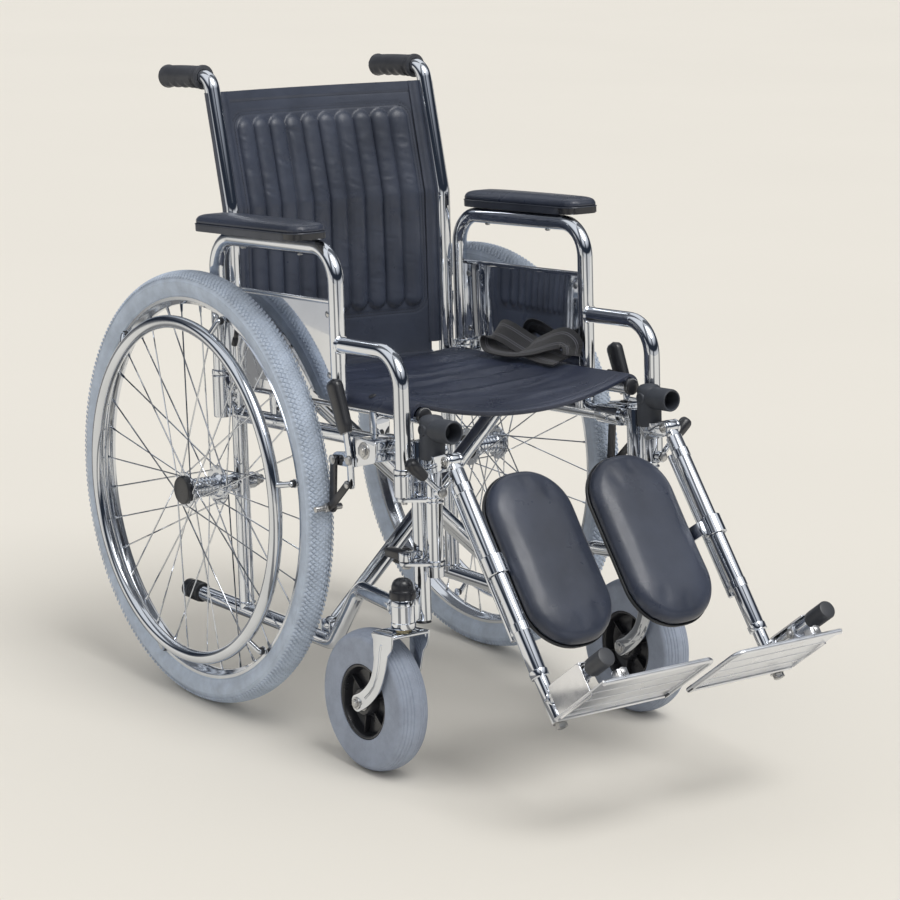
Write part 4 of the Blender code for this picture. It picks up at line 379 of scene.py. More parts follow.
def lofted(rings):
    # Closed rings of points bridged one to the next and closed at both ends
    count = len(rings[0])
    faces = []
    for ring in range(0, count * (len(rings) - 1), count):
        for step in range(count):
            after = (step + 1) % count
            faces.append((ring + step, ring + after, ring + count + after, ring + count + step))
    faces += [tuple(range(count))[::-1], tuple((len(rings) - 1) * count + step for step in range(count))]
    return shaped([point for ring in rings for point in ring], [], faces)


def rod(start, end, radius, sides=24, soften=0.0006, endRadius=None):
    start, end = Vector(start), Vector(end)
    along = end - start
    deselectAll()
    bpy.ops.mesh.primitive_cone_add(vertices=sides, radius1=radius,
                                    radius2=radius if endRadius is None else endRadius,
                                    depth=along.length, location=(start + end) / 2,
                                    rotation=along.to_track_quat("Z", "Y").to_euler())
    return softenEdges(settled(), soften, 2, 50.0)


def block(low, high, soften=0.001, segments=2):
    low, high = Vector(low), Vector(high)
    deselectAll()
    bpy.ops.mesh.primitive_cube_add(size=1.0, location=(low + high) / 2)
    activePiece().scale = [abs(b - a) for a, b in zip(low, high)]
    return softenEdges(settled(), soften, segments)


def plate(outline, axis, low, high, soften=0.0006, segments=2):
    # A flat face of the outline, extruded along the axis
    where = "XYZ".index(axis)
    points = [[*pair[:where], low, *pair[where:]] for pair in outline]
    shift = [0.0, 0.0, 0.0]
    shift[where] = high - low
    obj = shaped(points, [], [list(range(len(points)))],
                 lambda: bpy.ops.mesh.extrude_region_move(TRANSFORM_OT_translate={"value": shift}))
    return softenEdges(obj, soften, segments)


def turned(profile, centre, axis="X", steps=48, closed=False):
    # A profile of (place along the axis, radius), spun round the axis
    along = Vector([float(letter == axis) for letter in "XYZ"])
    outward = Vector((0, 1, 0) if axis == "Z" else (0, 0, 1))
    centre = Vector(centre)
    points = [centre + along * spot + outward * radius for spot, radius in profile]
    edges = [(index, index + 1) for index in range(len(points) - 1)]
    if closed:
        edges.append((len(points) - 1, 0))

    def spin():
        bpy.ops.mesh.spin(steps=steps, angle=math.radians(360.0), center=centre, axis=along)
        bpy.ops.mesh.select_all(action="SELECT")
        bpy.ops.mesh.remove_doubles(threshold=0.00001)

    return shaped(points, edges, [], spin)


def joined(*objects):
    pick(*objects)
    if len(objects) > 1:
        bpy.ops.object.join()
    return activePiece()


def moved(obj, matrix):
    obj.data.transform(matrix)
    if matrix.determinant() < 0:
        obj.data.flip_normals()
    return obj


def copied(obj, matrix):
    twin = obj.copy()
    twin.data = obj.data.copy()
    bpy.context.scene.collection.objects.link(twin)
    return moved(twin, matrix)


def stood(obj, foot, direction):
    # A piece made along Z from the origin, stood on its foot along a direction
    turn = Vector((0, 0, 1)).rotation_difference(direction).to_matrix().to_4x4()
    return moved(obj, Matrix.Translation(foot) @ turn)


mirror = Matrix.Scale(-1, 4, (1, 0, 0))


def place(obj, name, body, look, nodes=(), axes=chairAxes, smooth=35.0):
    # The piece goes from chair axes to its place, gets its finish and rides on its body
    material, slot = finish[look]
    moved(obj, axes)
    obj.name = name
    obj.data.name = name
    obj.data.materials.clear()
    obj.data.materials.append(material)
    pick(obj)
    bpy.ops.object.shade_smooth_by_angle(angle=math.radians(smooth))
    if body:
        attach(obj, body)
    if nodes:
        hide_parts(*nodes)
    return obj


def placePair(obj, name, body, look, nodes=(), **way):
    # The left piece and its mirror image; names of bodies and nodes get their side
    pieces = (("left", obj), ("right", copied(obj, mirror)))
    return [place(piece, name + side.title(), f"{body}_{side}", look, [f"{node}_{side}" for node in nodes], **way)
            for side, piece in pieces]


def hexBolt(centre, axis, radius=0.0055, height=0.004):
    # A hexagon head with a chamfer and a washer under it; the axis points out of the head
    axis = Vector(axis).normalized()
    centre = Vector(centre)
    return joined(rod(centre, centre + axis * height, radius, 6, 0.0005),
                  rod(centre - axis * 0.0004, centre + axis * 0.0009, radius * 1.35, 24, 0.0003),
                  rod(centre + axis * height * 0.8, centre + axis * (height + 0.0008), radius * 0.62, 20, 0.0004))


def ringCopies(obj, count, centre, axis="X", start=0.0):
    # Copies of one shape round an axis, as one piece
    centre = Vector(centre)
    twins = []
    for index in range(count):
        turn = (Matrix.Translation(centre) @ Matrix.Rotation(start + 2 * math.pi * index / count, 4, axis)
                @ Matrix.Translation(-centre))
        twins.append(copied(obj, turn))
    bpy.data.objects.remove(obj, do_unlink=True)
    return joined(*twins)


def torus(centre, axis, majorRadius, minorRadius, majorSteps=96, minorSteps=14):
    deselectAll()
    turn = Vector((0, 0, 1)).rotation_difference(Vector(axis)).to_euler()
    bpy.ops.mesh.primitive_torus_add(location=centre, rotation=turn, major_radius=majorRadius,
                                     minor_radius=minorRadius, major_segments=majorSteps, minor_segments=minorSteps)
    return settled()


def weld(centre, axis, radius=tubeRadius, bead=0.0016):
    return torus(centre, axis, radius + bead * 0.35, bead, 28, 8)


# Side frames
sideFrame = {
    "rearPostY": -0.003, "frontPostY": -0.432, "frontPostBottom": 0.178, "frontPostTop": 0.415,
    "railZ": 0.402, "lowerRear": (0.15, 0.127), "lowerFront": (-0.211, 0.111),
    "caneBendZ": 0.69, "caneLean": math.radians(12.6), "caneTopZ": 0.871, "gripEndY": 0.165,
    "armX": 0.21, "armRearY": -0.005, "armFrontY": -0.437, "stemX": 0.224, "stemY": -0.446,
    "housingBottom": 0.1765, "housingTop": 0.2145, "hingeUpperZ": 0.339, "hingeLowerZ": 0.255,
    "braceX": 0.17, "braceZ": 0.13,
    "rearSocket": (0.402, 0.461), "frontSocket": (0.345, 0.375), "socketTabs": (0.424, 0.439),
    "saddles": (-0.095, -0.335),
    "axleTube": (0.162, 0.2095), "axleTubeRadius": 0.012,
}


def caneY(z):
    return sideFrame["rearPostY"] + math.tan(sideFrame["caneLean"]) * max(z - sideFrame["caneBendZ"], 0.0)


def lowerTubeZ(y):
    rear, front = sideFrame["lowerRear"], sideFrame["lowerFront"]
    return front[1] + (y - front[0]) / (rear[0] - front[0]) * (rear[1] - front[1])


def makeSideFrame(side, lugY):
    s = sideFrame
    x, stem = sideX, Vector((s["stemX"], s["stemY"], 0))
    body = "side_frame_" + side
    tubeZ = s["housingTop"] - tubeRadius - 0.0008
    chrome = [
        tube([(x, s["rearPostY"], lowerTubeZ(s["rearPostY"])), (x, s["rearPostY"], s["caneBendZ"]),
              (x, caneY(s["caneTopZ"]), s["caneTopZ"]), (x, s["gripEndY"] - 0.006, s["caneTopZ"])],
             tubeRadius, [0.07, 0.022], 28),
        tube([(x, *s["lowerRear"]), (x, -0.222, lowerTubeZ(-0.222)), (x + 0.016, -0.312, tubeZ),
              (stem.x, stem.y + 0.008, tubeZ)], tubeRadius, 0.032, 28),
        rod((x, s["rearPostY"], s["railZ"]), (x, s["frontPostY"], s["railZ"]), tubeRadius, 32, 0),
        rod((x, s["frontPostY"], s["frontPostBottom"]), (x, s["frontPostY"], s["frontPostTop"]),
            tubeRadius, 32, 0.0012),
        rod((s["axleTube"][0], 0, wheelRadius), (s["axleTube"][1], 0, wheelRadius),
            s["axleTubeRadius"], 32, 0.0008),
        turned([(0, 0.008), (0, 0.0158), (0.0012, 0.0165), (0.0075, 0.0165), (0.0085, 0.0155), (0.0295, 0.0155),
                (0.0305, 0.0165), (0.0368, 0.0165), (0.038, 0.0158), (0.038, 0.008)],
               stem + Vector((0, 0, s["housingBottom"])), "Z", 48, closed=True),
        plate([(x + 0.002, s["frontPostY"] + 0.004), (stem.x - 0.006, stem.y + 0.0045),
               (stem.x - 0.006, stem.y - 0.0035), (x + 0.002, s["frontPostY"] - 0.004)], "Z",
              s["frontPostBottom"] + 0.003, s["housingTop"] - 0.003, 0.001),
        weld((x, s["rearPostY"] - tubeRadius, s["railZ"]), (0, 1, 0)),
        weld((x, s["frontPostY"] + tubeRadius, s["railZ"]), (0, 1, 0)),
        weld((x, s["rearPostY"], lowerTubeZ(0) + tubeRadius), (0, 0, 1)),
        weld((x + tubeRadius, 0, wheelRadius), (1, 0, 0), s["axleTubeRadius"]),
        weld((stem.x, stem.y + 0.0165, tubeZ), (0, 1, 0)),
    ]
    # the rear socket that the armrest drops into, and the front one with the hinge pin below it
    for baseY, (low, high) in ((s["armRearY"], s["rearSocket"]), (s["armFrontY"], s["frontSocket"])):
        chrome.append(turned([(low, 0.0), (low, 0.0122), (low + 0.0012, 0.0131), (high - 0.002, 0.0131),
                              (high - 0.001, 0.014), (high, 0.0136), (high, 0.01155), (low + 0.0059, 0.01155),
                              (low + 0.0059, 0.0)], (s["armX"], baseY, 0), "Z", 40))
    for z in s["socketTabs"]:
        chrome.append(block((x + 0.006, s["armRearY"] - 0.006, z - 0.01),
                            (s["armX"] - 0.011, s["armRearY"] + 0.008, z + 0.01)))
    chrome.append(block((x + 0.005, s["armFrontY"] - 0.005, 0.347),
                        (s["armX"] - 0.011, s["armFrontY"] + 0.007, 0.363)))
    hinge = Vector((s["armX"], s["armFrontY"], 0))
    lugZ = s["hingeLowerZ"] + 0.006

    def pin(low, high, radius, *rest):
        return rod(hinge + Vector((0, 0, low)), hinge + Vector((0, 0, high)), radius, *rest)

    chrome.append(pin(lugZ, lugZ + 0.012, 0.01, 28, 0.001))
    chrome.append(block((x + 0.005, hinge.y - 0.005, lugZ + 0.001),
                        (s["armX"] - 0.005, hinge.y + 0.007, lugZ + 0.011)))
    # lugs that the cross brace turns in
    for sign in (-1, 1):
        near = lugY + sign * 0.0085
        chrome.append(block((s["braceX"] - 0.009, near, 0.107), (x + 0.002, near + sign * 0.004, 0.139), 0.0012))
    for y in s["saddles"]:      # the seat rail comes down on them
        chrome.append(block((seatRailX - 0.0112, y - 0.0078, s["railZ"] + 0.004),
                            (seatRailX + 0.0112, y + 0.0078, seatRailZ - 0.008), 0.0012))
        for sign in (-1, 1):
            low, high = sorted((seatRailX + sign * 0.0114, seatRailX + sign * 0.0094))
            chrome.append(block((low, y - 0.0078, s["railZ"] + 0.018),
                                (high, y + 0.0078, seatRailZ - 0.0045), 0.0008))
    chromePiece = joined(*chrome)
    zinc = joined(
        rod((s["braceX"], lugY - 0.0155, s["braceZ"]), (s["braceX"], lugY + 0.0155, s["braceZ"]), 0.004, 20),
        hexBolt((s["braceX"], lugY - 0.0127, s["braceZ"]), (0, -1, 0), 0.0065, 0.004),
        hexBolt((s["braceX"], lugY + 0.0127, s["braceZ"]), (0, 1, 0), 0.0065, 0.005),
        pin(0.3475, 0.3351, 0.004, 20),
        pin(lugZ + 0.003, s["hingeLowerZ"] - 0.004, 0.004, 20),
        pin(s["hingeLowerZ"] - 0.0042, s["hingeLowerZ"] - 0.001, 0.0062, 6),
    )
    # moulded parts: the hinge cover and the post's plug
    cover = block((s["armX"] - 0.007, hinge.y + 0.004, lugZ + 0.0005),
                  (s["armX"] + 0.008, hinge.y + 0.04, lugZ + 0.0135), 0.004, 4)
    plug = turned([(0, 0), (0, 0.009), (-0.0022, 0.0108), (-0.003, 0.0104), (-0.0042, 0.0)],
                  (x, s["frontPostY"], s["frontPostBottom"]), "Z", 28)
    moulded = joined(cover, plug)
    for obj, name, look, nodes in ((chromePiece, "sideFrame", "chrome", [body]),
                                   (zinc, "sideFrameBolts", "zinc", []),
                                   (moulded, "sideFrameMouldings", "blackPlastic", [])):
        place(obj if side == "left" else moved(obj, mirror), name + side.title(), body, look, nodes)


makeSideFrame("left", -0.17625)
makeSideFrame("right", -0.20375)
print("side frames made")

# Push grips: finger grooves below, a rounded end and a collar
pushGrip = {"start": 0.054, "end": 0.152, "radius": 0.0155, "grooves": 4, "grooveDepth": 0.003,
            "crown": 0.0006, "ribs": 3,
            "ribStep": 0.0026}


def makePushGrip():
    g = pushGrip
    length = g["end"] - g["start"]
    profile = [(0, 0.0113), (0, 0.016), (0.0015, 0.0172), (0.004, 0.0172), (0.006, g["radius"])]
    profile += [(0.006 + (length - 0.012) * step / 40, g["radius"]) for step in range(1, 40)]
    profile += [(length - 0.006, g["radius"]), (length - 0.0035, 0.0165), (length - 0.0015, 0.0163),
                (length, 0.015), (length + 0.0003, 0.0125), (length - 0.001, 0.0)]
    grip = turned(profile, (sideX, g["start"], sideFrame["caneTopZ"]), "Y", 40)
    axis = Vector((sideX, 0, sideFrame["caneTopZ"]))
    for vertex in grip.data.vertices:
        along = (vertex.co.y - g["start"] - 0.008) / (length - 0.018)
        offset = Vector((vertex.co.x - axis.x, 0, vertex.co.z - axis.z))
        if 0 < along < 1 and offset.length > 0.012:
            below = max(0.0, -offset.normalized().z) ** 0.7
            dip = (1 - math.cos(2 * math.pi * g["grooves"] * along)) / 2
            top = g["crown"] * math.sin(math.pi * along)
            shrink = (offset.length - g["grooveDepth"] * dip * below + top * (1 - below)) / offset.length
            vertex.co = Vector((axis.x, vertex.co.y, axis.z)) + offset * shrink
    ribs = [torus((sideX, g["start"] + 0.0105 + step * g["ribStep"], axis.z), (0, 1, 0),
                  g["radius"] - 0.0001, 0.00055, 40, 6)
            for step in range(g["ribs"])]
    return joined(grip, *ribs)


placePair(makePushGrip(), "pushGrip", "side_frame", "blackRubber", ["push_grip"])


# Rear tip caps, where a helper's foot goes
def makeTipCap():
    rear, front = Vector((sideX, *sideFrame["lowerRear"])), Vector((sideX, *sideFrame["lowerFront"]))
    back = (rear - front).normalized()
    start, end = rear - back * 0.036, rear + back * 0.004
    parts = [rod(start, end, 0.014, 36, 0.0018)]
    for step in range(4):
        parts.append(torus(start + back * (0.007 + 0.0055 * step), back, 0.0139, 0.0009, 36, 6))
    return joined(*parts)


placePair(makeTipCap(), "rearTipCap", "side_frame", "blackPlastic", ["rear_tip_cap"])

# Rear wheels
rearWheel = {
    "x": 0.2455, "tyreSeat": 0.2685, "tyreHalf": 0.02, "crown": 0.0352, "treadRows": 4, "treadCount": 250,
    "treadStep": 0.0043, "treadTurn": math.radians(58.0), "treadHalf": 0.0176,
    "studSink": 0.0004, "studRise": 0.0011,
    "rimHalf": 0.0135, "rimDepth": 0.0105, "lacing": math.radians(62.0), "hubBarrel": 0.0125, "hubRibs": 7,
    "spokes": 36, "spokeRadius": 0.00105, "hubInnerX": 0.2199, "hubOuterX": 0.2736, "hubInnerRadius": 0.028,
    "hubOuterRadius": 0.025, "handrimX": 0.278, "handrimRadius": 0.236, "handrimTube": 0.0092, "standoffs": 6,
    "valveAngle": math.radians(205.0),
}
wheelCentre = Vector((rearWheel["x"], 0, wheelRadius))


def wheelPoint(x, radius, angle):
    return Vector((x, radius * math.sin(angle), wheelRadius - radius * math.cos(angle)))


def makeTyre():
    # A smooth sidewall with a fine moulded line, and a tread of small diamonds, row beside row
    w = rearWheel
    half, seat = w["tyreHalf"], w["tyreSeat"]
    side = [(0.0128, seat), (0.015, seat + 0.0025), (0.015, seat + 0.0045), (0.0175, seat + 0.0085),
            (half - 0.0003, seat + 0.0145), (half, seat + 0.019), (half - 0.0002, seat + 0.0212),
            (half + 0.0001, seat + 0.0218), (half - 0.0006, seat + 0.0225), (0.0189, seat + 0.0248),
            (0.0172, seat + 0.0277), (0.015, seat + 0.0301), (0.012, seat + 0.0322), (0.008, seat + 0.034),
            (0.004, seat + 0.0349), (0.0, seat + w["crown"])]
    body = turned(bothSides(side), wheelCentre, "X", 144, closed=True)
    points, faces = [], []
    rows = w["treadRows"]
    for row in range(-rows, rows + 1):
        tilt = row / rows * w["treadTurn"]
        x = w["treadHalf"] * math.sin(tilt) / math.sin(w["treadTurn"])
        radius = seat + w["crown"] - 0.0203 * (1 - math.cos(tilt)) * 0.62
        for index in range(w["treadCount"]):
            angle = 2 * math.pi * (index + (row % 2) * 0.5) / w["treadCount"]
            long, wide = math.pi * radius / w["treadCount"] * 0.9, w["treadStep"] * 0.92
            base = len(points)
            for share, lift in ((1.0, -w["studSink"]), (0.45, w["studRise"])):
                for a, b in ((long, 0), (0, wide), (-long, 0), (0, -wide)):
                    out = radius + lift * math.cos(tilt) - b * share * math.sin(tilt)
                    across = x + lift * math.sin(tilt) + b * share * math.cos(tilt)
                    points.append(wheelPoint(w["x"] + across, min(out, wheelRadius - 0.0001),
                                             angle + a * share / radius))
            faces += [(base + step, base + (step + 1) % 4, base + 4 + (step + 1) % 4, base + 4 + step)
                      for step in range(4)]
            faces.append((base + 4, base + 5, base + 6, base + 7))
    return joined(body, shaped(points, [], faces))


placePair(makeTyre(), "rearTyre", "rear_wheel", "greyTyre", ["rear_tyre"])


def makeRimAndHub():
    w = rearWheel
    rim, half = w["tyreSeat"] - 0.0004, w["rimHalf"]
    inner = rim - w["rimDepth"]
    side = [(half - 0.002, rim), (half, rim + 0.0008), (half, rim - 0.0035), (half - 0.0012, rim - 0.0048),
            (0.0085, rim - 0.0062), (0.006, inner + 0.001), (0.003, inner)]
    parts = [turned(bothSides(side), wheelCentre, "X", 120, closed=True)]
    barrel, ribs = w["hubBarrel"], w["hubRibs"]
    innerX, outerX = w["hubInnerX"], w["hubOuterX"]

    def flange(x, radius):
        return [(x - 0.0015, radius - 0.0006), (x - 0.0009, radius), (x + 0.0009, radius),
                (x + 0.0015, radius - 0.0006)]

    profile = [(innerX - 0.0055, 0.0), (innerX - 0.0055, 0.015), (innerX - 0.0015, 0.0158),
               *flange(innerX, w["hubInnerRadius"]), (innerX + 0.0015, 0.0175), (innerX + 0.005, 0.015)]
    span = (outerX - innerX - 0.013) / ribs
    for index in range(ribs):       # the barrel is ribbed
        start = innerX + 0.0065 + span * index
        profile += [(start, barrel), (start + span * 0.45, barrel), (start + span * 0.5, barrel + 0.0016),
                    (start + span * 0.95, barrel + 0.0016)]
    profile += [(outerX - 0.005, 0.015), (outerX - 0.0015, 0.017), *flange(outerX, w["hubOuterRadius"]),
                (outerX + 0.0015, 0.0)]
    parts.append(turned(profile, (0, 0, wheelRadius), "X", 48))
    for index in range(w["spokes"]):
        rimAngle = 2 * math.pi * (index + 0.25) / w["spokes"]
        hand = 1 if (index // 2) % 2 == 0 else -1       # pairs are laced forwards and back in turn
        shift = Vector((0.0014 * hand, 0, 0))
        flangeX, flangeRadius = ((innerX, w["hubInnerRadius"]) if index % 2 == 0 else (outerX, w["hubOuterRadius"]))
        start = wheelPoint(flangeX, flangeRadius - 0.0042, rimAngle + hand * w["lacing"]) + shift
        end = wheelPoint(w["x"] + (0.0014 if index % 2 else -0.0014), inner + 0.002, rimAngle)
        along = (end - start).normalized()
        parts += [rod(start, end, w["spokeRadius"], 8, 0), rod(end - along * 0.0125, end, 0.0016, 8, 0, 0.0023),
                  rod(start - shift * 1.6, start + shift * 0.6, 0.0019, 8, 0.0003)]
    return joined(*parts)


placePair(makeRimAndHub(), "rearRim", "rear_wheel", "wheelChrome", ["rear_wheel"])


def makeHubCaps():
    w = rearWheel
    innerX, outerX = w["hubInnerX"], w["hubOuterX"]
    cap = turned([(outerX + 0.0012, 0.0), (outerX + 0.0012, 0.0195), (outerX + 0.002, 0.0201),
                  (outerX + 0.0055, 0.0201),
                  (outerX + 0.0075, 0.0186), (outerX + 0.0082, 0.015), (outerX + 0.0078, 0.006),
                  (outerX + 0.008, 0.0)],
                 (0, 0, wheelRadius), "X", 48)
    seal = turned([(innerX - 0.0056, 0.0105), (innerX - 0.0056, 0.0172), (innerX - 0.0046, 0.018),
                   (innerX - 0.0014, 0.018),
                   (innerX - 0.0014, 0.0105)], (0, 0, wheelRadius), "X", 40, closed=True)
    # the tyre's valve stands in from the rim
    rimEdge = w["tyreSeat"] - w["rimDepth"]
    rises = (0.001, -0.016, -0.015, -0.027)
    root, neck, seat, tip = (wheelPoint(w["x"], rimEdge + rise, w["valveAngle"]) for rise in rises)
    return joined(cap, seal, rod(root, neck, 0.004, 20, 0.0005, 0.003), rod(seat, tip, 0.0042, 20, 0.0009))


placePair(makeHubCaps(), "hubCaps", "rear_wheel", "blackPlastic")


def makeAxle():
    def bar(low, high, *rest):
        return rod((low, 0, wheelRadius), (high, 0, wheelRadius), *rest)

    thread = [torus((0.1475 + 0.0012 * step, 0, wheelRadius), (1, 0, 0), 0.0059, 0.0004, 28,
                    6) for step in range(5)]
    return joined(bar(0.147, 0.262, 0.006, 28), bar(0.2098, 0.214, 0.0098, 28, 0.0006),
                  bar(0.1532, 0.1617, 0.0098, 6, 0.0007), bar(0.1606, 0.1618, 0.0112, 28, 0.0003), *thread)


placePair(makeAxle(), "axle", "side_frame", "zinc", ["axle"])


def makeHandrim():
    w = rearWheel
    ring = torus((w["handrimX"], 0, wheelRadius), (1, 0, 0), w["handrimRadius"], w["handrimTube"], 144, 20)
    footRadius = w["tyreSeat"] - 0.0072
    footX = w["x"] + w["rimHalf"] + 0.0004
    arms, ends = [], []
    for index in range(w["standoffs"]):
        angle = 2 * math.pi * (index + 0.35) / w["standoffs"]
        foot, knee = wheelPoint(footX, footRadius, angle), wheelPoint(footX + 0.0075, footRadius, angle)
        head = wheelPoint(w["handrimX"], w["handrimRadius"] + 0.004, angle)
        arms.append(tube([foot, knee, head], 0.004, 0.004, 16, steps=5))
        arms.append(rod(foot, foot + Vector((0.0016, 0, 0)), 0.0062, 24, 0.0005))
        ends.append(rod(foot + Vector((0.001, 0, 0)), foot + Vector((0.0066, 0, 0)), 0.0052, 24, 0.001))
    return joined(ring, *arms), joined(*ends)


handrim, standoffCaps = makeHandrim()
placePair(handrim, "handrim", "rear_wheel", "wheelChrome", ["handrim"], smooth=50.0)
placePair(standoffCaps, "handrimStandoffCaps", "rear_wheel", "blackPlastic")
print("rear wheels made")

# Casters
caster = {
    "stemX": 0.224, "stemY": -0.446, "axleY": -0.377, "axleZ": 0.0683, "tyreOuter": 0.0952, "tyreInner": 0.0612,
    "tyreHalf": 0.0228, "forkInner": 0.0273, "forkThick": 0.0032, "crownLow": 0.167, "crownHigh": 0.172,
    "crownRear": -0.4145, "crownFront": -0.4625, "lipHalf": 0.0186, "hubRadius": 0.018, "webHalf": 0.0055,
    "tyreLip": 0.0508, "crownDrop": 0.0115, "grooves": (0.005, 0.0095, 0.014, 0.0182),
    "forkLine": ((-0.4385, 0.171, 0.0233), (-0.4385, 0.16, 0.0213), (-0.4345, 0.147, 0.0158),
                 (-0.432, 0.132, 0.0133),
                 (-0.427, 0.115, 0.0123), (-0.418, 0.098, 0.0118), (-0.404, 0.084, 0.0114),
                 (-0.39, 0.0745, 0.0112)),
}
casterCentre = Vector((caster["stemX"], caster["axleY"], caster["axleZ"]))


def makeCasterTyre():
    # Side lips reach in over the rim; the round tread has moulded grooves
    c = caster
    outer, inner, half = c["tyreOuter"], c["tyreInner"], c["tyreHalf"] - 0.0002
    lip = c["tyreLip"]
    side = [(0.0189, inner + 0.0003), (0.0189, lip + 0.001), (0.0196, lip), (0.0209, lip),
            (half - 0.0008, lip + 0.0016),
            (half - 0.0003, lip + 0.0045), (half - 0.0001, lip + 0.014), (half, outer - c["crownDrop"] - 0.004)]
    steps = 52
    shoulder = 6
    for step in range(steps + 1):       # round at the shoulder, then evenly across to the middle
        x = half * (math.cos(math.radians(90.0 * step / steps)) if step < shoulder
                    else 0.984 * (1 - (step - shoulder) / (steps - shoulder)))
        radius = outer - c["crownDrop"] * (1 - math.sqrt(max(0.0, 1 - (x / half) ** 2)))
        for middle in c["grooves"]:
            radius -= 0.001 * math.exp(-((x - middle) / 0.0006) ** 2)
        side.append((x, radius))
    return turned(bothSides(side), casterCentre, "X", 120, closed=True)


placePair(makeCasterTyre(), "casterTyre", "caster_wheel", "casterTyre", ["caster_tyre"], smooth=50.0)


def makeCasterWheel():
    # Moulded wheel: a narrow bright rim inside the tyre's lips, a deep web with thin ribs and a long hub
    c = caster
    rim, lip, edge = c["tyreInner"], c["lipHalf"], c["tyreLip"] - 0.0005
    side = [(lip, rim - 0.0004), (lip, edge + 0.0004), (lip + 0.001, edge), (lip + 0.0016, edge - 0.001),
            (lip + 0.0014, edge - 0.0028), (lip + 0.0004, edge - 0.004), (lip - 0.001, edge - 0.0046),
            (lip - 0.006, edge - 0.0058), (c["webHalf"] + 0.0012, edge - 0.0075), (c["webHalf"], edge - 0.0095),
            (c["webHalf"], c["hubRadius"] + 0.006), (c["webHalf"] + 0.002, c["hubRadius"] + 0.002),
            (0.0195, c["hubRadius"]), (0.0216, c["hubRadius"] - 0.0012), (0.022, c["hubRadius"] - 0.0026),
            (0.022, 0.0125), (0.0212, 0.0115)]
    parts = [turned(bothSides(side), casterCentre, "X", 96, closed=True)]
    for sign in (-1, 1):      # thin cast ribs stand on each face of the web
        rib = block(casterCentre + Vector((sign * (c["webHalf"] - 0.001), -0.0007, c["hubRadius"] - 0.001)),
                    casterCentre + Vector((sign * (lip - 0.005), 0.0007, edge - 0.005)), 0.0004)
        parts.append(ringCopies(rib, 6, casterCentre, "X", 0.2))
    return joined(*parts)


placePair(makeCasterWheel(), "casterWheel", "caster_wheel", "blackPlastic", ["caster_wheel"])


def makeCasterBearing():
    seal = [(0.0206, 0.0123), (0.0214, 0.0118), (0.0214, 0.0074), (0.0206, 0.0068)]
    return joined(*[turned([(sign * along, radius) for along, radius in seal], casterCentre, "X", 40, closed=True)
                    for sign in (-1, 1)])


placePair(makeCasterBearing(), "casterBearing", "caster_wheel", "zinc")


def makeFork():
    # A pressed crown plate bent down into two tapering legs that trail behind the stem
    c = caster
    inner, thick, steps = c["forkInner"], c["forkThick"], 4
    line = [*c["forkLine"], (c["axleY"], c["axleZ"], 0.0116)]
    halves = [first[2] + (second[2] - first[2]) * step / steps for first,
              second in zip(line, line[1:]) for step in range(steps)]
    marks = list(zip(smoothMarks([(y, z) for y, z, half in line], steps), halves + [line[-1][2]]))
    front, rear = [], []
    for index, (point, half) in enumerate(marks):
        along = (marks[min(index + 1, len(marks) - 1)][0] - marks[max(index - 1, 0)][0]).normalized()
        across = Vector((-along.y, along.x))
        front.append(point - across * half)
        rear.append(point + across * half)
    cap = [point + (along * math.sin(math.pi * step / 14) - across * math.cos(math.pi * step / 14)) * half
           for step in range(1, 14)]
    crease = [point for point, half in marks[5:27:3]]
    parts = []
    for sign in (-1, 1):
        near = c["stemX"] + sign * inner
        low, high = sorted((near, near + sign * thick))
        parts += [plate(front + cap + rear[::-1], "X", low, high, 0.001),
                  tube([(near + sign * (thick - 0.001), *mark) for mark in crease], 0.0021, 0.01, 12, steps=3)]
    reach, corner = inner + thick - 0.0012, 0.004
    left, right, low, high = c["stemX"] - reach, c["stemX"] + reach, c["crownFront"], c["crownRear"]
    crown = []
    for x, y, begin in ((right - corner, high - corner, 0), (left + corner, high - corner, 90),
                        (left + corner, low + corner, 180), (right - corner, low + corner, 270)):
        crown += arc((x, y), corner, begin, 90, 5)
    parts.append(plate(crown, "Z", c["crownLow"], c["crownHigh"], 0.0016, 3))
    return joined(*parts)


placePair(makeFork(), "casterFork", "caster_fork", "chrome", ["caster_fork"])


def makeForkFasteners():
    c = caster
    stem = Vector((c["stemX"], c["stemY"], 0))
    reach = c["forkInner"] + c["forkThick"]
    out = Vector((1, 0, 0))
    parts = [rod(casterCentre - out * (reach + 0.0015), casterCentre + out * (reach + 0.0015), 0.004, 20, 0)]
    for side in (-out, out):
        parts += [hexBolt(casterCentre + side * (reach + 0.0004), side, 0.0062, 0.0036),
                  rod(casterCentre + side * 0.0222, casterCentre + side * 0.0268, 0.0066, 24, 0.0006)]

    def upright(low, high, *rest):
        return rod(stem + Vector((0, 0, low)), stem + Vector((0, 0, high)), *rest)

    return joined(*parts), joined(upright(c["crownHigh"] - 0.0004, 0.1788, 0.0066, 28, 0.0005),
                                  upright(c["crownHigh"] - 0.0002, c["crownHigh"] + 0.0026, 0.0105, 6, 0.0006))


forkAxle, stemBolt = makeForkFasteners()
placePair(forkAxle, "casterAxle", "caster_fork", "zinc")
placePair(stemBolt, "casterStemBolt", "caster_fork", "brass")


def makeDustCap():
    # Black cap over the stem's bearing: a skirt and a smooth dome
    base = Vector((caster["stemX"], caster["stemY"], 0.2148))
    return turned([(0, 0.0), (0, 0.0158), (0.001, 0.0173), (0.0095, 0.0174), (0.0108, 0.0168), (0.0112, 0.0152),
                   (0.012, 0.0146), (0.0172, 0.0142), (0.0215, 0.013), (0.0248, 0.0106), (0.0268, 0.0072),
                   (0.0277, 0.0034), (0.0279, 0.0)], base, "Z", 56)


placePair(makeDustCap(), "casterCap", "side_frame", "blackPlastic", ["caster_cap"])
print("casters made")

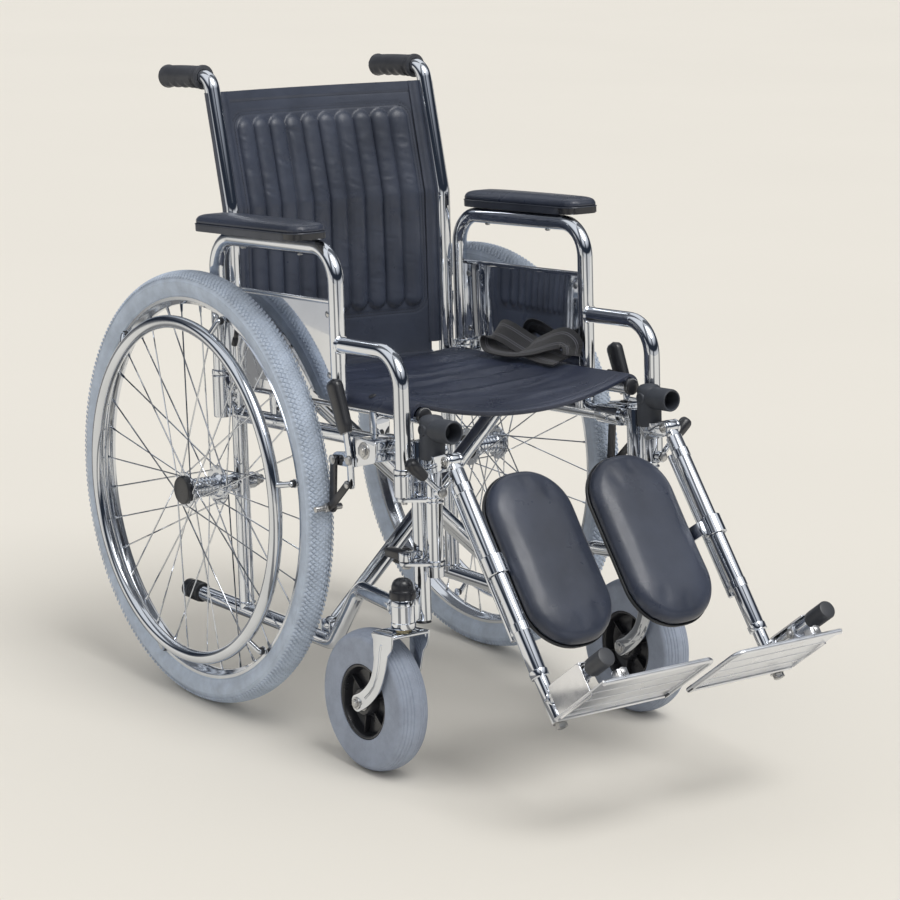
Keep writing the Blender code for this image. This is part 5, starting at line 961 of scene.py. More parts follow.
# Armrests
armrest = {
    "x": 0.21, "rearY": -0.005, "frontY": -0.437, "topZ": 0.655, "kneeY": -0.297, "shelfZ": 0.53,
    "rearEnd": 0.4083, "frontEnd": 0.3513, "guardX": 0.21, "guardRear": -0.0163, "guardFront": -0.2857,
    "guardLow": 0.452, "guardStep": 0.47, "guardStepY": -0.0262, "guardHigh": 0.585,
    "guardHalf": 0.0009, "rearCollar": (0.4618, 0.469), "frontCollar": (0.3758, 0.382), "collarRadius": 0.0135,
    "screwLevels": (0.487, 0.568),
}


def makeArmTube():
    a = armrest
    x = a["x"]
    loop = tube([(x, a["rearY"], a["rearEnd"]), (x, a["rearY"], a["topZ"]), (x, a["kneeY"], a["topZ"]),
                 (x, a["kneeY"], a["guardLow"])], tubeRadius, [0.045, 0.045], 28, steps=14)
    extension = tube([(x, a["kneeY"] - 0.004, a["shelfZ"]), (x, a["frontY"], a["shelfZ"]),
                      (x, a["frontY"], a["frontEnd"])],
                     tubeRadius, [0.045], 28, steps=14)
    bead = torus((x, a["kneeY"] - tubeRadius * 0.8, a["shelfZ"]), (0, 1, 0), tubeRadius + 0.0006, 0.0017, 40, 10)
    # collars rest on the sockets' mouths
    collars = [rod((x, y, low), (x, y, high), a["collarRadius"], 32, 0.001)
               for y, (low, high) in ((a["rearY"], a["rearCollar"]), (a["frontY"], a["frontCollar"]))]
    return joined(loop, extension, bead, *collars)


placePair(makeArmTube(), "armTube", "armrest", "chrome", ["armrest"])


def makeGuard():
    # Polished sheet with a rolled top edge, a step round the rear socket and a pressed flange
    a = armrest
    x, rear, front, half = a["guardX"], a["guardRear"], a["guardFront"], a["guardHalf"]
    small, large = 0.003, 0.006      # corner radii at the step and at the foot
    outline = [(front, a["guardHigh"]), (rear, a["guardHigh"]),
               *arc((rear - small, a["guardStep"] + small), small, 0, -90, 4), (a["guardStepY"], a["guardStep"]),
               *arc((a["guardStepY"] - large, a["guardLow"] + large), large, 0, -90, 4),
               *arc((front + large, a["guardLow"] + large), large, 270, -90, 4)]
    sheet = plate(outline, "X", x - half, x + half, 0.0004)
    roll = tube([(x, front + 0.001, a["guardHigh"]), (x, rear - 0.001, a["guardHigh"])], 0.0034, sides=20)
    flange = block((x - 0.0022, rear - 0.036, a["guardLow"] + 0.024),
                   (x + 0.0022, rear - 0.03, a["guardHigh"] - 0.01),
                   0.0014, 3)
    return joined(sheet, roll, flange)


placePair(makeGuard(), "skirtGuard", "armrest", "guardMetal", ["skirt_guard"], smooth=30.0)


def makeGuardScrews():
    a = armrest
    head = [(0, 0.0), (0, 0.0042), (0.0006, 0.0044), (0.0016, 0.003), (0.0019, 0.0)]
    columns = (a["guardRear"] - 0.01, a["guardFront"] + 0.01)
    return joined(*[turned([(sign * along, radius) for along, radius in head],
                           (a["guardX"] + sign * 0.0008, y, z), "X", 24)
                    for y in columns for z in a["screwLevels"] for sign in (-1, 1)])


placePair(makeGuardScrews(), "guardScrews", "armrest", "zinc")
print("armrests made")

# Cross brace
brace = {"frontY": -0.20375, "rearY": -0.17625, "lowX": 0.17, "lowZ": 0.13, "radius": 0.0125, "railRear": -0.02,
         "railFront": -0.438, "capRear": -0.4303, "boltZ": 0.286,
         "eyeHalf": 0.0078, "eyeRadius": 0.0125, "flattened": 0.62, "flatEnd": 0.012, "flatBlend": 0.03}


def makeBrace(lean, y, name, body, node):
    b = brace
    low, high = Vector((-lean * b["lowX"], y, b["lowZ"])), Vector((lean * seatRailX, y, seatRailZ))
    along = (high - low).normalized()
    half = Vector((0, b["eyeHalf"], 0))
    eye = rod(low - half, low + half, b["eyeRadius"], 40, 0.001)
    # the tube is pressed flat where it is bolted
    bar = tube([low + along * 0.008, high], b["radius"], 0, 32)
    for vertex in bar.data.vertices:
        distance = (vertex.co - low).dot(along)
        squeeze = b["flattened"] + (1 - b["flattened"]) * smoothStep((distance - b["flatEnd"]) / b["flatBlend"])
        vertex.co.y = y + (vertex.co.y - y) * squeeze
    rail = tube([(lean * seatRailX, b["railRear"], seatRailZ), (lean * seatRailX, b["railFront"], seatRailZ)],
                tubeRadius, 0, 32)
    bead = torus(high - along * 0.01, along, b["radius"] + 0.0008, 0.0018, 32, 8)
    place(joined(eye, bar, rail, bead), name, body, "chrome", [node])
    caps = [turned([(0, 0.0), (0, 0.0108), (-0.0006, 0.0116), (-0.004, 0.0116), (-0.0048, 0.0108), (-0.0066, 0.01),
                    (-0.008, 0.007), (-0.0086, 0.0)],
                   (lean * seatRailX, b["capRear"] - 0.0025, seatRailZ), "Y", 36),
            turned([(0, 0.0), (0, 0.0104), (0.0022, 0.0104), (0.0034, 0.009), (0.0038, 0.0)],
                   (lean * seatRailX, b["railRear"] - 0.0005, seatRailZ), "Y", 36)]
    place(joined(*caps), name + "RailCaps", body, "blackPlastic")


makeBrace(1, brace["frontY"], "braceFront", "cross_brace_front", "cross_brace_front")
makeBrace(-1, brace["rearY"], "braceRear", "cross_brace_rear", "cross_brace_rear")
centreBolt = joined(
    rod((0, -0.2235, brace["boltZ"]), (0, -0.154, brace["boltZ"]), 0.0045, 24, 0.0004),
    hexBolt((0, -0.217, brace["boltZ"]), (0, -1, 0), 0.008, 0.0048),
    hexBolt((0, -0.163, brace["boltZ"]), (0, 1, 0), 0.008, 0.0055),
)
place(centreBolt, "braceBolt", "cross_brace_front", "zinc")
print("cross brace made")

# Brakes: bracket on the rail, toggle lever and the link that carries the shoe
brake = {
    "x": 0.237, "pivot": (-0.356, 0.386), "toe": (-0.357, 0.355), "bend": (-0.349, 0.422), "top": (-0.322, 0.49),
    "leverWidth": 0.012, "gripLength": 0.074, "gripWidth": 0.026, "gripThick": 0.018, "shoePivot": (-0.318, 0.383),
    "shoeDistance": 0.31, "shoeAngle": math.radians(177.6), "rodRadius": 0.0042, "clamp": (-0.408, -0.362),
    "sheet": 0.004, "linkForward": 0.0027, "corner": 0.0035, "pressBar": (0.2222, 0.2638),
    "pressWasher": (0.2338, 0.2352),
}


def stripOutline(points, width, roundEnds=True):
    # The outline of a flat bar along a line of points, with round ends
    points = [Vector(point) for point in points]
    half = width / 2
    left, right = [], []
    for index, point in enumerate(points):
        before = points[max(index - 1, 0)]
        after = points[min(index + 1, len(points) - 1)]
        arriving = (point - before).normalized() if index else (after - point).normalized()
        leaving = (after - point).normalized() if index < len(points) - 1 else arriving
        along = (arriving + leaving).normalized()
        across = Vector((-along.y, along.x)) * half / max(0.4, along.dot(arriving))
        left.append(point + across)
        right.append(point - across)

    def cap(point, before):
        towards = (point - before).normalized()
        side = Vector((-towards.y, towards.x))
        return [point + (side * math.cos(math.pi * step / 8) + towards * math.sin(math.pi * step / 8)) * half
                for step in range(1, 8) if roundEnds]

    return left + cap(points[-1], points[-2]) + right[::-1] + cap(points[0], points[1])


def smoothBend(points, radius, steps=6):
    path = roundedPath([(0, *point) for point in points], radius, steps)
    return [(point.y, point.z) for point in path]


def makeBrakeBracket():
    b = brake
    inner = b["x"] - b["sheet"] / 2 - 0.0006
    front, rear = b["clamp"]
    railZ = sideFrame["railZ"]
    pivot, shoe = Vector(b["pivot"]), Vector(b["shoePivot"])
    corners = [(shoe.x + 0.009, shoe.y + 0.004), (shoe.x + 0.006, shoe.y - 0.008), (pivot.x, pivot.y - 0.01),
               (front, railZ - 0.0138), (front - 0.003, railZ + 0.0138), (rear, railZ + 0.0158),
               (pivot.x + 0.014, pivot.y + 0.01), (shoe.x, shoe.y + 0.01)]
    outline = []
    for index, corner in enumerate(map(Vector, corners)):      # each corner is cut round
        before, after = Vector(corners[index - 1]), Vector(corners[(index + 1) % len(corners)])
        for step in (0.0, 0.25, 0.5, 0.75, 1.0):
            first = corner.lerp(before, min(0.3, b["corner"] / (corner - before).length))
            last = corner.lerp(after, min(0.3, b["corner"] / (corner - after).length))
            outline.append(first.lerp(corner, step).lerp(corner.lerp(last, step), step))
    outside = inner - b["sheet"] * 0.5
    parts = [plate(outline, "X", inner - b["sheet"], inner, 0.0006)]
    for low, high in ((0.0016, 0.0142), (-0.0142, -0.0016)):       # a clamp in two halves round the rail
        parts.append(block((sideX + 0.0118, front + 0.0006, railZ + low),
                           (outside, rear - 0.0006, railZ + high), 0.0018, 3))
    parts.append(block((sideX + 0.0125, front + 0.003, railZ - 0.003),
                       (outside, rear - 0.003, railZ + 0.003), 0.0004))
    parts.append(turned(sleeve(0, rear - front, tubeRadius + 0.0003, tubeRadius + 0.0036, 0.002, 0.0006),
                        (sideX, front, railZ), "Y", 40, closed=True))
    return joined(*parts)


def makeBrakeBolts():
    b = brake
    inner = b["x"] - b["sheet"] / 2 - 0.0006
    middle = sum(b["clamp"]) / 2
    railZ = sideFrame["railZ"]
    parts = [hexBolt((inner + 0.0002, middle, railZ), (1, 0, 0), 0.0086, 0.0048)]
    for point in (b["pivot"], b["shoePivot"]):
        parts.append(rod((inner - 0.001, *point), (b["x"] + 0.004, *point), 0.004, 20, 0))
        parts.append(turned([(0, 0.0), (0, 0.0064), (0.0008, 0.0066), (0.0026, 0.0046), (0.0031, 0.0)],
                            (b["x"] + 0.0028, *point), "X", 28))
        parts.append(rod((inner - b["sheet"] - 0.0028, *point),
                         (inner - b["sheet"] + 0.0004, *point), 0.0058, 6, 0.0004))
    return joined(*parts)


placePair(makeBrakeBracket(), "brakeBracket", "side_frame", "chrome", ["brake_bracket"])
placePair(makeBrakeBolts(), "brakeBolts", "side_frame", "zinc")


def makeBrakeLever():
    b = brake
    half = b["sheet"] / 2
    top, bend = Vector(b["top"]), Vector(b["bend"])
    along = (top - bend).normalized()
    line = smoothBend([(b["toe"][0], b["toe"][1] - 0.001), b["pivot"], b["bend"], tuple(top - along * 0.01)], 0.03)
    return plate(stripOutline(line, b["leverWidth"] - 0.0003), "X", b["x"] - half, b["x"] + half, 0.0007)


placePair(makeBrakeLever(), "brakeLever", "brake_lever", "chrome", ["brake_lever"])


def makeBrakeGrip():
    # A long grip, wider at the top, with a rounded end
    b = brake
    top, bend = Vector(b["top"]), Vector(b["bend"])
    along = (top - bend).normalized()
    across = Vector((-along.y, along.x))
    start = top - along * b["gripLength"]

    def squared(value):
        return math.copysign(abs(value) ** 0.75, value)

    rings, count, sides = [], 24, 28
    for ring in range(count + 1):
        share = ring / count
        ends = math.sqrt(max(0.0, 1 - ((share - 0.86) / 0.14) ** 2)) if share > 0.86 else 1.0
        swell = (0.9 + 0.1 * share) * (0.8 + 0.2 * min(1.0, share / 0.12)) * max(ends, 0.05)
        centre = start + along * share * b["gripLength"]
        rings.append([])
        for side in range(sides):
            angle = 2 * math.pi * side / sides
            spot = centre + across * squared(math.cos(angle)) * b["gripWidth"] / 2 * swell
            rings[-1].append((b["x"] + squared(math.sin(angle)) * b["gripThick"] / 2 * swell, *spot))
    return lofted(rings)


placePair(makeBrakeGrip(), "brakeGrip", "brake_lever", "blackPlastic", ["brake_grip"], smooth=40.0)


def makeBrakeShoe():
    b = brake
    half = b["sheet"] / 2
    shoe = Vector((b["shoeDistance"] * math.cos(b["shoeAngle"]),
                   wheelRadius + b["shoeDistance"] * math.sin(b["shoeAngle"])))
    pivot, toe = Vector(b["shoePivot"]), Vector(b["toe"])
    foot = shoe - Vector((b["linkForward"], 0))
    link = plate(stripOutline([pivot, foot], 0.0127), "X", b["x"] - half, b["x"] + half, 0.0006)
    outer = b["x"] + half + 0.003
    elbow = shoe + Vector((-0.014, 0.008))
    arm = plate(stripOutline(smoothBend([shoe, elbow, toe], 0.012), 0.0108), "X", outer, outer + 0.003, 0.0006)
    boss = rod((b["x"], *shoe), (outer + 0.001, *shoe), 0.0054, 24, 0)
    press = rod((b["pressBar"][0], *shoe), (b["pressBar"][1], *shoe), b["rodRadius"], 28, 0.0009)
    nuts = [rod((outer + 0.0028, *shoe), (outer + 0.0068, *shoe), 0.0068, 6, 0.0005),
            rod((b["pressWasher"][0], *shoe), (b["pressWasher"][1], *shoe), 0.0062, 24, 0.0003)]
    rivet = turned([(0, 0.0), (0, 0.0048), (0.0008, 0.005), (0.0022, 0.0034), (0.0026, 0.0)],
                   (outer + 0.0028, *toe), "X", 24)
    return joined(link, arm, boss), joined(press, *nuts, rivet)


shoeLink, shoeBar = makeBrakeShoe()
placePair(shoeLink, "brakeShoeLink", "brake_shoe", "darkSteel", ["brake_shoe"])
placePair(shoeBar, "brakeShoeBar", "brake_shoe", "zinc")
print("brakes made")

# Leg rest hangers
hanger = {
    "y": -0.463, "bottom": 0.24, "top": 0.402, "hingePlate": 0.0055, "eye": 0.01, "ear": 0.004, "knuckle": 0.014,
    "coverRadius": 0.0165, "coverTop": 0.451, "snoutZ": 0.4335, "snoutY": -0.51, "leverX": 0.185, "leverZ": 0.3535,
    "gripLength": 0.034,
}


def makeHanger():
    h = hanger
    x, y = sideX, h["y"]
    hinge, post = Vector((sideFrame["armX"], sideFrame["armFrontY"])), Vector((x, y))
    along = (hinge - post).normalized() * (h["eye"] - 0.0006)
    across = Vector((-along.y, along.x))
    turns = [math.pi * step / 12 for step in range(1, 12)]
    eye = [hinge - across * math.cos(turn) + along * math.sin(turn) for turn in turns]
    outline = [post - across, hinge - across, *eye, hinge + across, post + across]
    parts = [rod((x, y, h["bottom"]), (x, y, h["top"]), tubeRadius, 36, 0.0012)]
    for z in (sideFrame["hingeUpperZ"], sideFrame["hingeLowerZ"]):
        parts += [plate(outline, "Z", z + 0.0002, z + h["hingePlate"] - 0.0002, 0.0007), weld((x, y, z), (0, 0, 1)),
                  weld((x, y, z + h["hingePlate"]), (0, 0, 1))]
    top = h["top"]
    ear = [(y + 0.007, top - 0.018), (y + 0.007, top - 0.0012), (y - h["coverRadius"] - 0.002, top - 0.0012),
           *arc((kneeY, kneeZ), 0.01, 62.0, 208.0, 8), (y - 0.007, top - 0.026)]
    for side in (-1, 1):
        near = x + side * (h["knuckle"] / 2 + 0.0005)
        low, high = sorted((near, near + side * h["ear"]))
        parts.append(plate(ear, "X", low, high, 0.0006))
    return joined(*parts)


def makeHangerBolts():
    h = hanger
    reach = h["knuckle"] / 2 + 0.0005 + h["ear"]
    parts = [rod((sideX - reach - 0.003, kneeY, kneeZ), (sideX + reach + 0.003, kneeY, kneeZ), 0.004, 20, 0)]
    for side in (-1, 1):
        parts.append(hexBolt((sideX + side * (reach + 0.0002), kneeY, kneeZ), (side, 0, 0), 0.005, 0.0028))
    parts.append(rod((h["leverX"], h["y"], h["leverZ"]),
                     (h["leverX"], h["y"] - 0.0252, h["leverZ"]), 0.004, 20, 0.0004))
    parts.append(turned([(0, 0.0), (0, 0.0062), (-0.001, 0.0062), (-0.0024, 0.0042), (-0.0028, 0.0)],
                        (h["leverX"], h["y"] - 0.0242, h["leverZ"]), "Y", 28))
    return joined(*parts)


placePair(makeHanger(), "legHanger", "leg_hanger", "chrome", ["leg_hanger"])
placePair(makeHangerBolts(), "legHangerBolts", "leg_hanger", "zinc")


def makeKneeCover():
    # Moulded hood, screw recesses on its sides and a hollow snout to the front
    h = hanger
    x, y, r = sideX, h["y"], h["coverRadius"]
    base = h["top"] + 0.0004
    hood = turned([(base - 0.008, tubeRadius + 0.0004), (base - 0.008, r - 0.0012), (base - 0.0068, r),
                   (h["coverTop"] - 0.008, r),
                   (h["coverTop"] - 0.004, r - 0.0013), (h["coverTop"] - 0.0012, r - 0.0045),
                   (h["coverTop"] + 0.0002, r - 0.0095), (h["coverTop"] + 0.0008, 0.0)], (x, y, 0), "Z", 44)
    r2 = r - 0.0012
    snout = turned([(y + 0.002, 0.0), (y + 0.002, r2), (h["snoutY"] + 0.0022, r2),
                    (h["snoutY"] + 0.0006, r2 - 0.0005),
                    (h["snoutY"], r2 - 0.0014), (h["snoutY"] + 0.0006, r2 - 0.0028),
                    (h["snoutY"] + 0.025, r2 - 0.0034),
                    (h["snoutY"] + 0.025, 0.0)], (x, 0, h["snoutZ"]), "Y", 44)
    parts = [hood, snout]
    for side in (-1, 1):       # round screw boss with a recess
        centre = Vector((x + side * (r - 0.0022), y, h["snoutZ"]))
        ring = [(0, 0.0), (0, 0.008), (0.002, 0.0078), (0.0031, 0.0068), (0.0029, 0.0054),
                (0.0008, 0.005), (0.0008, 0.0)]
        parts.append(turned([(side * along, radius) for along, radius in ring], centre, "X", 32))
    parts.append(block((x - 0.0022, y - 0.0005, base + 0.0002), (x + 0.0022, y + r + 0.0006, h["snoutZ"]), 0.001))
    return joined(*parts)


placePair(makeKneeCover(), "kneeCover", "leg_hanger", "greyPlastic", ["knee_cover"], smooth=40.0)


def makeReleaseLever():
    h = hanger
    eye = Vector((h["leverX"], h["y"] - tubeRadius - 0.0075, h["leverZ"]))
    tip = Vector((sideX + 0.052, eye.y, sideFrame["hingeUpperZ"] + 0.06))
    along = (tip - eye).normalized()
    stem = joined(rod(eye + along * 0.004, tip - along * 0.026, 0.0039, 24, 0),
                  turned(sleeve(-0.0048, 0.0048, 0.0043, 0.0075, 0.0008, 0.0007), eye, "Y", 32, closed=True))
    grip = turned([(0, 0.0), (0, 0.0058), (0.0012, 0.007), (0.006, 0.0078), (0.017, 0.0086), (0.026, 0.009),
                   (0.03, 0.0086), (0.0328, 0.0068), (0.0338, 0.0036), (h["gripLength"], 0.0)], (0, 0, 0), "Z", 36)
    return stem, stood(grip, tip - along * h["gripLength"], along)


leverStem, leverGrip = makeReleaseLever()
placePair(leverStem, "releaseLever", "release_lever", "chrome", ["release_lever"])
placePair(leverGrip, "releaseLeverGrip", "release_lever", "blackPlastic")

# Leg tubes, in the leg's own upright axes
leg = {
    "tubeEnd": 0.305, "tubeStart": 0.0145, "rodBack": -0.022, "rodSpan": (0.032, 0.245), "footRadius": 0.0088,
    "footEnd": 0.366, "barLevel": 0.336, "barLength": 0.132, "barRadius": 0.009, "plateLevel": 0.362,
    "plateInner": 0.016, "plateOuter": 0.197, "plateHeel": 0.0125, "plateToe": 0.1305, "plateThick": 0.0035,
    "ridges": (0.038, 0.066, 0.094), "rings": (0.022, 0.067), "clampPlace": 0.15,
    "cheek": (0.1916, 0.1942), "cheekHeel": 0.0085,
    "flange": 0.0195, "treads": 12, "padX": 0.085, "padBack": 0.0265,
}


def legPoint(x, along, forward):
    return Vector((x, -forward, -along))


def makeLegTube():
    g = leg
    x = sideX
    knuckle = rod((x - 0.0069, 0, 0), (x + 0.0069, 0, 0), 0.0099, 36, 0.0008)
    neck = block((x - 0.0064, -0.0068, -g["tubeStart"] - 0.002), (x + 0.0064, 0.0068, -0.004), 0.001)
    main = rod(legPoint(x, g["tubeStart"], 0), legPoint(x, g["tubeEnd"], 0), 0.011, 36, 0.0012)
    collar = turned([(-g["tubeEnd"] + 0.0002, 0.0095), (-g["tubeEnd"] + 0.0002, 0.0116),
                     (-g["tubeEnd"] + 0.0012, 0.0122),
                     (-g["tubeEnd"] + 0.0095, 0.0122), (-g["tubeEnd"] + 0.0102, 0.0112)], (x, 0, 0), "Z", 36)
    stay = rod(legPoint(x, g["rodSpan"][0], g["rodBack"]),
               legPoint(x, g["rodSpan"][1], g["rodBack"]), 0.0039, 24, 0.0012)
    parts = [knuckle, neck, main, collar, stay]
    for level in (g["rodSpan"][0] + 0.009, g["rodSpan"][1] - 0.009):
        parts.append(block((x - 0.0029, -0.002, -level - 0.0038), (x + 0.0029, 0.0215, -level + 0.0038), 0.0009))
        parts.append(turned([(-level - 0.0055, 0.0111), (-level - 0.0055, 0.0118), (-level + 0.0055, 0.0118),
                             (-level + 0.0055, 0.0111)], (x, 0, 0), "Z", 36, closed=True))
    return joined(*parts)


placePair(makeLegTube(), "legTube", "leg_tube", "chrome", ["leg_tube"], axes=legAxes)


def makeFootTube():
    g = leg
    x = sideX
    main = rod(legPoint(x, 0.1905, 0), legPoint(x, g["footEnd"], 0), g["footRadius"], 36, 0.0014)
    bar = rod(legPoint(x, g["barLevel"], 0), legPoint(x, g["barLevel"], g["barLength"]),
              g["barRadius"] - 0.0001, 36, 0.001)
    bead = torus(legPoint(x, g["barLevel"], 0.0085), (0, 1, 0), 0.0092, 0.0013, 32, 8)
    bolt = hexBolt(legPoint(x - 0.0085, g["footEnd"] - 0.008, 0), (-1, 0, 0), 0.005, 0.004)
    nut = hexBolt(legPoint(x - 0.001, g["footEnd"] - 0.0004, 0.002), (0, 0, -1), 0.0076, 0.008)
    return joined(main, bar, bead), joined(bolt, nut)


footTube, footBolt = makeFootTube()
placePair(footTube, "footTube", "foot_tube", "chrome", ["foot_tube"], axes=legAxes)
placePair(footBolt, "footTubeBolt", "foot_tube", "zinc", axes=legAxes)


def makeFootCap():
    g = leg
    end = g["barLength"] + 0.004
    profile = [(-end + 0.0006, 0.0), (-end, 0.01), (-end + 0.0006, 0.0114),
               (-end + 0.002, 0.0121), (-end + 0.03, 0.0121),
               (-end + 0.0345, 0.0118), (-end + 0.036, 0.011), (-end + 0.036, 0.0095)]
    return turned(profile, (sideX, 0, -g["barLevel"]), "Y", 44)


placePair(makeFootCap(), "footCap", "foot_tube", "capRubber", ["foot_cap"], axes=legAxes)


def makeFootplate():
    # Pressed plate: rolled edges with round corners, low ridges along its underside and treads on top
    g = leg
    inner, outer, heel, toe = g["plateInner"], g["plateOuter"], g["plateHeel"], g["plateToe"]
    level, thick = g["plateLevel"], g["plateThick"]
    corner = 0.014
    outline = [(inner + 0.0022, -heel), (inner + 0.0022, -toe + corner),
               *arc((inner + 0.0022 + corner, -toe + 0.0015 + corner), corner, 180, 90, 8, 1),
               (outer, -toe + 0.0015), (outer, -heel)]
    parts = [plate(outline, "Z", -level - thick, -level - 0.0008, 0.0005)]
    # the rolled edge runs down the inner side, round the corner and along the toe
    z, roll = -level - 0.0035, 0.0038
    parts.append(tube([(inner + roll, -heel - 0.001, z), (inner + roll, -toe + roll, z),
                       (outer - 0.002, -toe + roll, z)],
                      roll, corner - 0.002, 20, steps=10))
    parts.append(tube([(inner + 0.002, -heel - 0.0024, z), (outer - 0.002, -heel - 0.0024, z)], 0.0032, 0, 16))
    span = outer - inner - 0.046
    for forward in g["ridges"]:
        parts.append(block((inner + 0.012, -forward - 0.0022, -level - thick - 0.0009),
                           (outer - 0.008, -forward + 0.0022, -level - thick + 0.0004), 0.0008, 3))
    for index in range(g["treads"]):      # on the top
        y = -heel - 0.01 - (toe - heel - 0.022) * index / (g["treads"] - 1)
        parts.append(block((inner + 0.01, y - 0.0013, -level - 0.001),
                           (inner + 0.01 + span * 0.9, y + 0.0013, -level - 0.0001), 0.0004, 1))
    for forward in g["rings"]:
        parts.append(turned(sleeve(-0.0058, 0.0058, g["barRadius"] + 0.0004,
                                   g["barRadius"] + 0.0025, 0.0008, 0.0006),
                            legPoint(sideX, g["barLevel"], forward), "Y", 40, closed=True))
        parts.append(block((g["cheek"][0] - 0.006, -forward - 0.0052, -g["barLevel"] - 0.0058),
                           (g["cheek"][0] + 0.001, -forward + 0.0052, -g["barLevel"] + 0.0058), 0.0012))
    parts.append(block((sideX - 0.031, -toe + 0.0055, -level - 0.001),
                       (sideX - 0.015, -toe + 0.02, -level + 0.0115), 0.0016))
    return joined(*parts)


placePair(makeFootplate(), "footplate", "footplate", "plateMetal", ["footplate"], axes=legAxes)


def makeCheek():
    g = leg
    near, far = g["cheek"]
    low, high = -g["plateLevel"] - 0.0066, -g["barLevel"] + g["barRadius"] + 0.0034
    rear, corner = -g["plateHeel"] - g["cheekHeel"], 0.007
    front = rear - 0.074
    outline = [(rear - 0.0004, low), (front, low), (front, high - corner),
               *arc((front + corner, high - corner), corner, 180, -90, 6, 1),
               *arc((rear - 0.0004 - corner, high - corner), corner, 90, -90, 6)]
    sheet = joined(plate(outline, "X", near, far, 0.0007),
                   block((far - g["flange"], front + 0.0006, high - 0.0025),
                         (far - 0.0004, rear - 0.001, high - 0.0003), 0.0008),
                   tube([(far - 0.0022, front + 0.0008, high - 0.0022),
                         (far - 0.0022, rear - 0.0014, high - 0.0022)],
                        0.0021, 0, 16))
    bolts = [hexBolt((sideX - 0.0125, -forward, -g["barLevel"] - 0.001), (-1, 0, 0), 0.005,
                     0.0034) for forward in g["rings"]]
    bolts.append(hexBolt((sideX - 0.023, -g["plateToe"] + 0.0056, -g["plateLevel"] + 0.006),
                         (0, -1, 0), 0.0046, 0.003))
    return sheet, joined(*bolts)


cheek, cheekBolts = makeCheek()
placePair(cheek, "footplateCheek", "footplate", "cheekMetal", axes=legAxes)
placePair(cheekBolts, "footplateBolts", "footplate", "zinc", axes=legAxes)


def makeHeelStrip():
    # Dark bumper at the plate's inner heel corner
    g = leg
    return block((g["plateInner"] + 0.0004, -g["plateHeel"] - 0.0145, -g["plateLevel"] - 0.0068),
                 (g["plateInner"] + 0.0075, -g["plateHeel"] - 0.0004, -g["plateLevel"] - 0.0001), 0.0018, 3)


placePair(makeHeelStrip(), "footplateBumper", "footplate", "blackRubber", axes=legAxes)


def makeCalfBracket():
    g = leg
    x, level, pad = sideX, g["clampPlace"], g["padX"]
    low, high = level - 0.013, level + 0.013
    ring, back = 0.015, g["padBack"] + 0.0003
    clamp = turned(sleeve(-high, -low, 0.0116, ring, 0.0008, 0.0008), (x, 0, 0), "Z", 44, closed=True)
    armLine = [(x - ring + 0.002, 0.0005), (x - 0.02, 0.0006), (x - 0.0265, back + 0.0012),
               (x - 0.06, back + 0.0018)]
    arm = plate(stripOutline(smoothBend(armLine, 0.006, 5), 0.0036, False), "Z",
                -high + 0.0035, -low - 0.0035, 0.0006)
    sheet = block((pad - 0.0345, back + 0.0002, -level - 0.0445),
                  (pad + 0.0345, back + 0.0032, -level + 0.0445), 0.0009)
    strip = block((pad, back + 0.001, -high + 0.0038), (x - 0.05, back + 0.004, -low - 0.0038), 0.0008)
    head = [(0, 0.0), (0, 0.0048), (0.0008, 0.005), (0.0024, 0.0032), (0.0028, 0.0)]
    screws = [turned(head, (pad + sx * 0.026, back + 0.003, -level + sz * 0.036), "Y", 24)
              for sx in (-1, 1) for sz in (-1, 1)]
    return joined(clamp, arm, sheet, strip), joined(*screws)


calfBracket, calfScrews = makeCalfBracket()
placePair(calfBracket, "calfBracket", "calf_pad", "chrome", ["calf_bracket"], axes=legAxes)
placePair(calfScrews, "calfScrews", "calf_pad", "zinc", axes=legAxes)
print("leg rests made")

# Upholstery
def gridSheet(columns, rows, shape, thickness, rearShape=None):
    # A grid laid out by shape(u, v), with a wall behind it that rearShape can place
    deselectAll()
    bpy.ops.mesh.primitive_grid_add(x_subdivisions=columns, y_subdivisions=rows, size=1.0)
    obj = activePiece()
    flat = [(vertex.co.x + 0.5, vertex.co.y + 0.5) for vertex in obj.data.vertices]
    for vertex, (u, v) in zip(obj.data.vertices, flat):
        vertex.co = shape(u, v)
    wall = obj.modifiers.new("wall", "SOLIDIFY")
    wall.thickness = thickness
    wall.offset = -1.0
    applied(obj, wall)
    if rearShape is not None:
        for vertex, (u, v) in zip(obj.data.vertices[len(flat):], flat):
            vertex.co = rearShape(u, v)
    return obj


def groove(distance, width, depth):
    return -depth * math.exp(-(distance / width) ** 2)


back = {
    "bottom": 0.4425, "sleeveBottom": 0.47, "top": 0.85, "sag": 0.022, "edge": 0.1695,
    "seam": 0.1585, "channels": 10,
    "channelHalf": 0.146, "sleeveRadius": 0.0118, "hemLine": 0.015,
    "channelLow": 0.525, "channelHigh": 0.812, "depth": 0.0078, "thick": 0.0062, "border": (0.0048, 0.0088),
    "columns": 264, "rows": 200, "stitch": 0.0042, "foldedKeep": 0.2682,
}


def backPlane(x, z):
    return caneY(z) + back["sag"] * (1 - (x / back["edge"]) ** 2) + 0.0015


def borderDistance(x, z, margin):
    b = back
    half = b["channelHalf"] / b["channels"]
    corner = half + margin
    middle = (b["channelLow"] + b["channelHigh"]) / 2
    outX = abs(x) - (b["channelHalf"] + margin - corner)
    outZ = abs(z - middle) - ((b["channelHigh"] - b["channelLow"]) / 2 + margin - corner)
    return math.hypot(max(outX, 0), max(outZ, 0)) + min(max(outX, outZ), 0) - corner


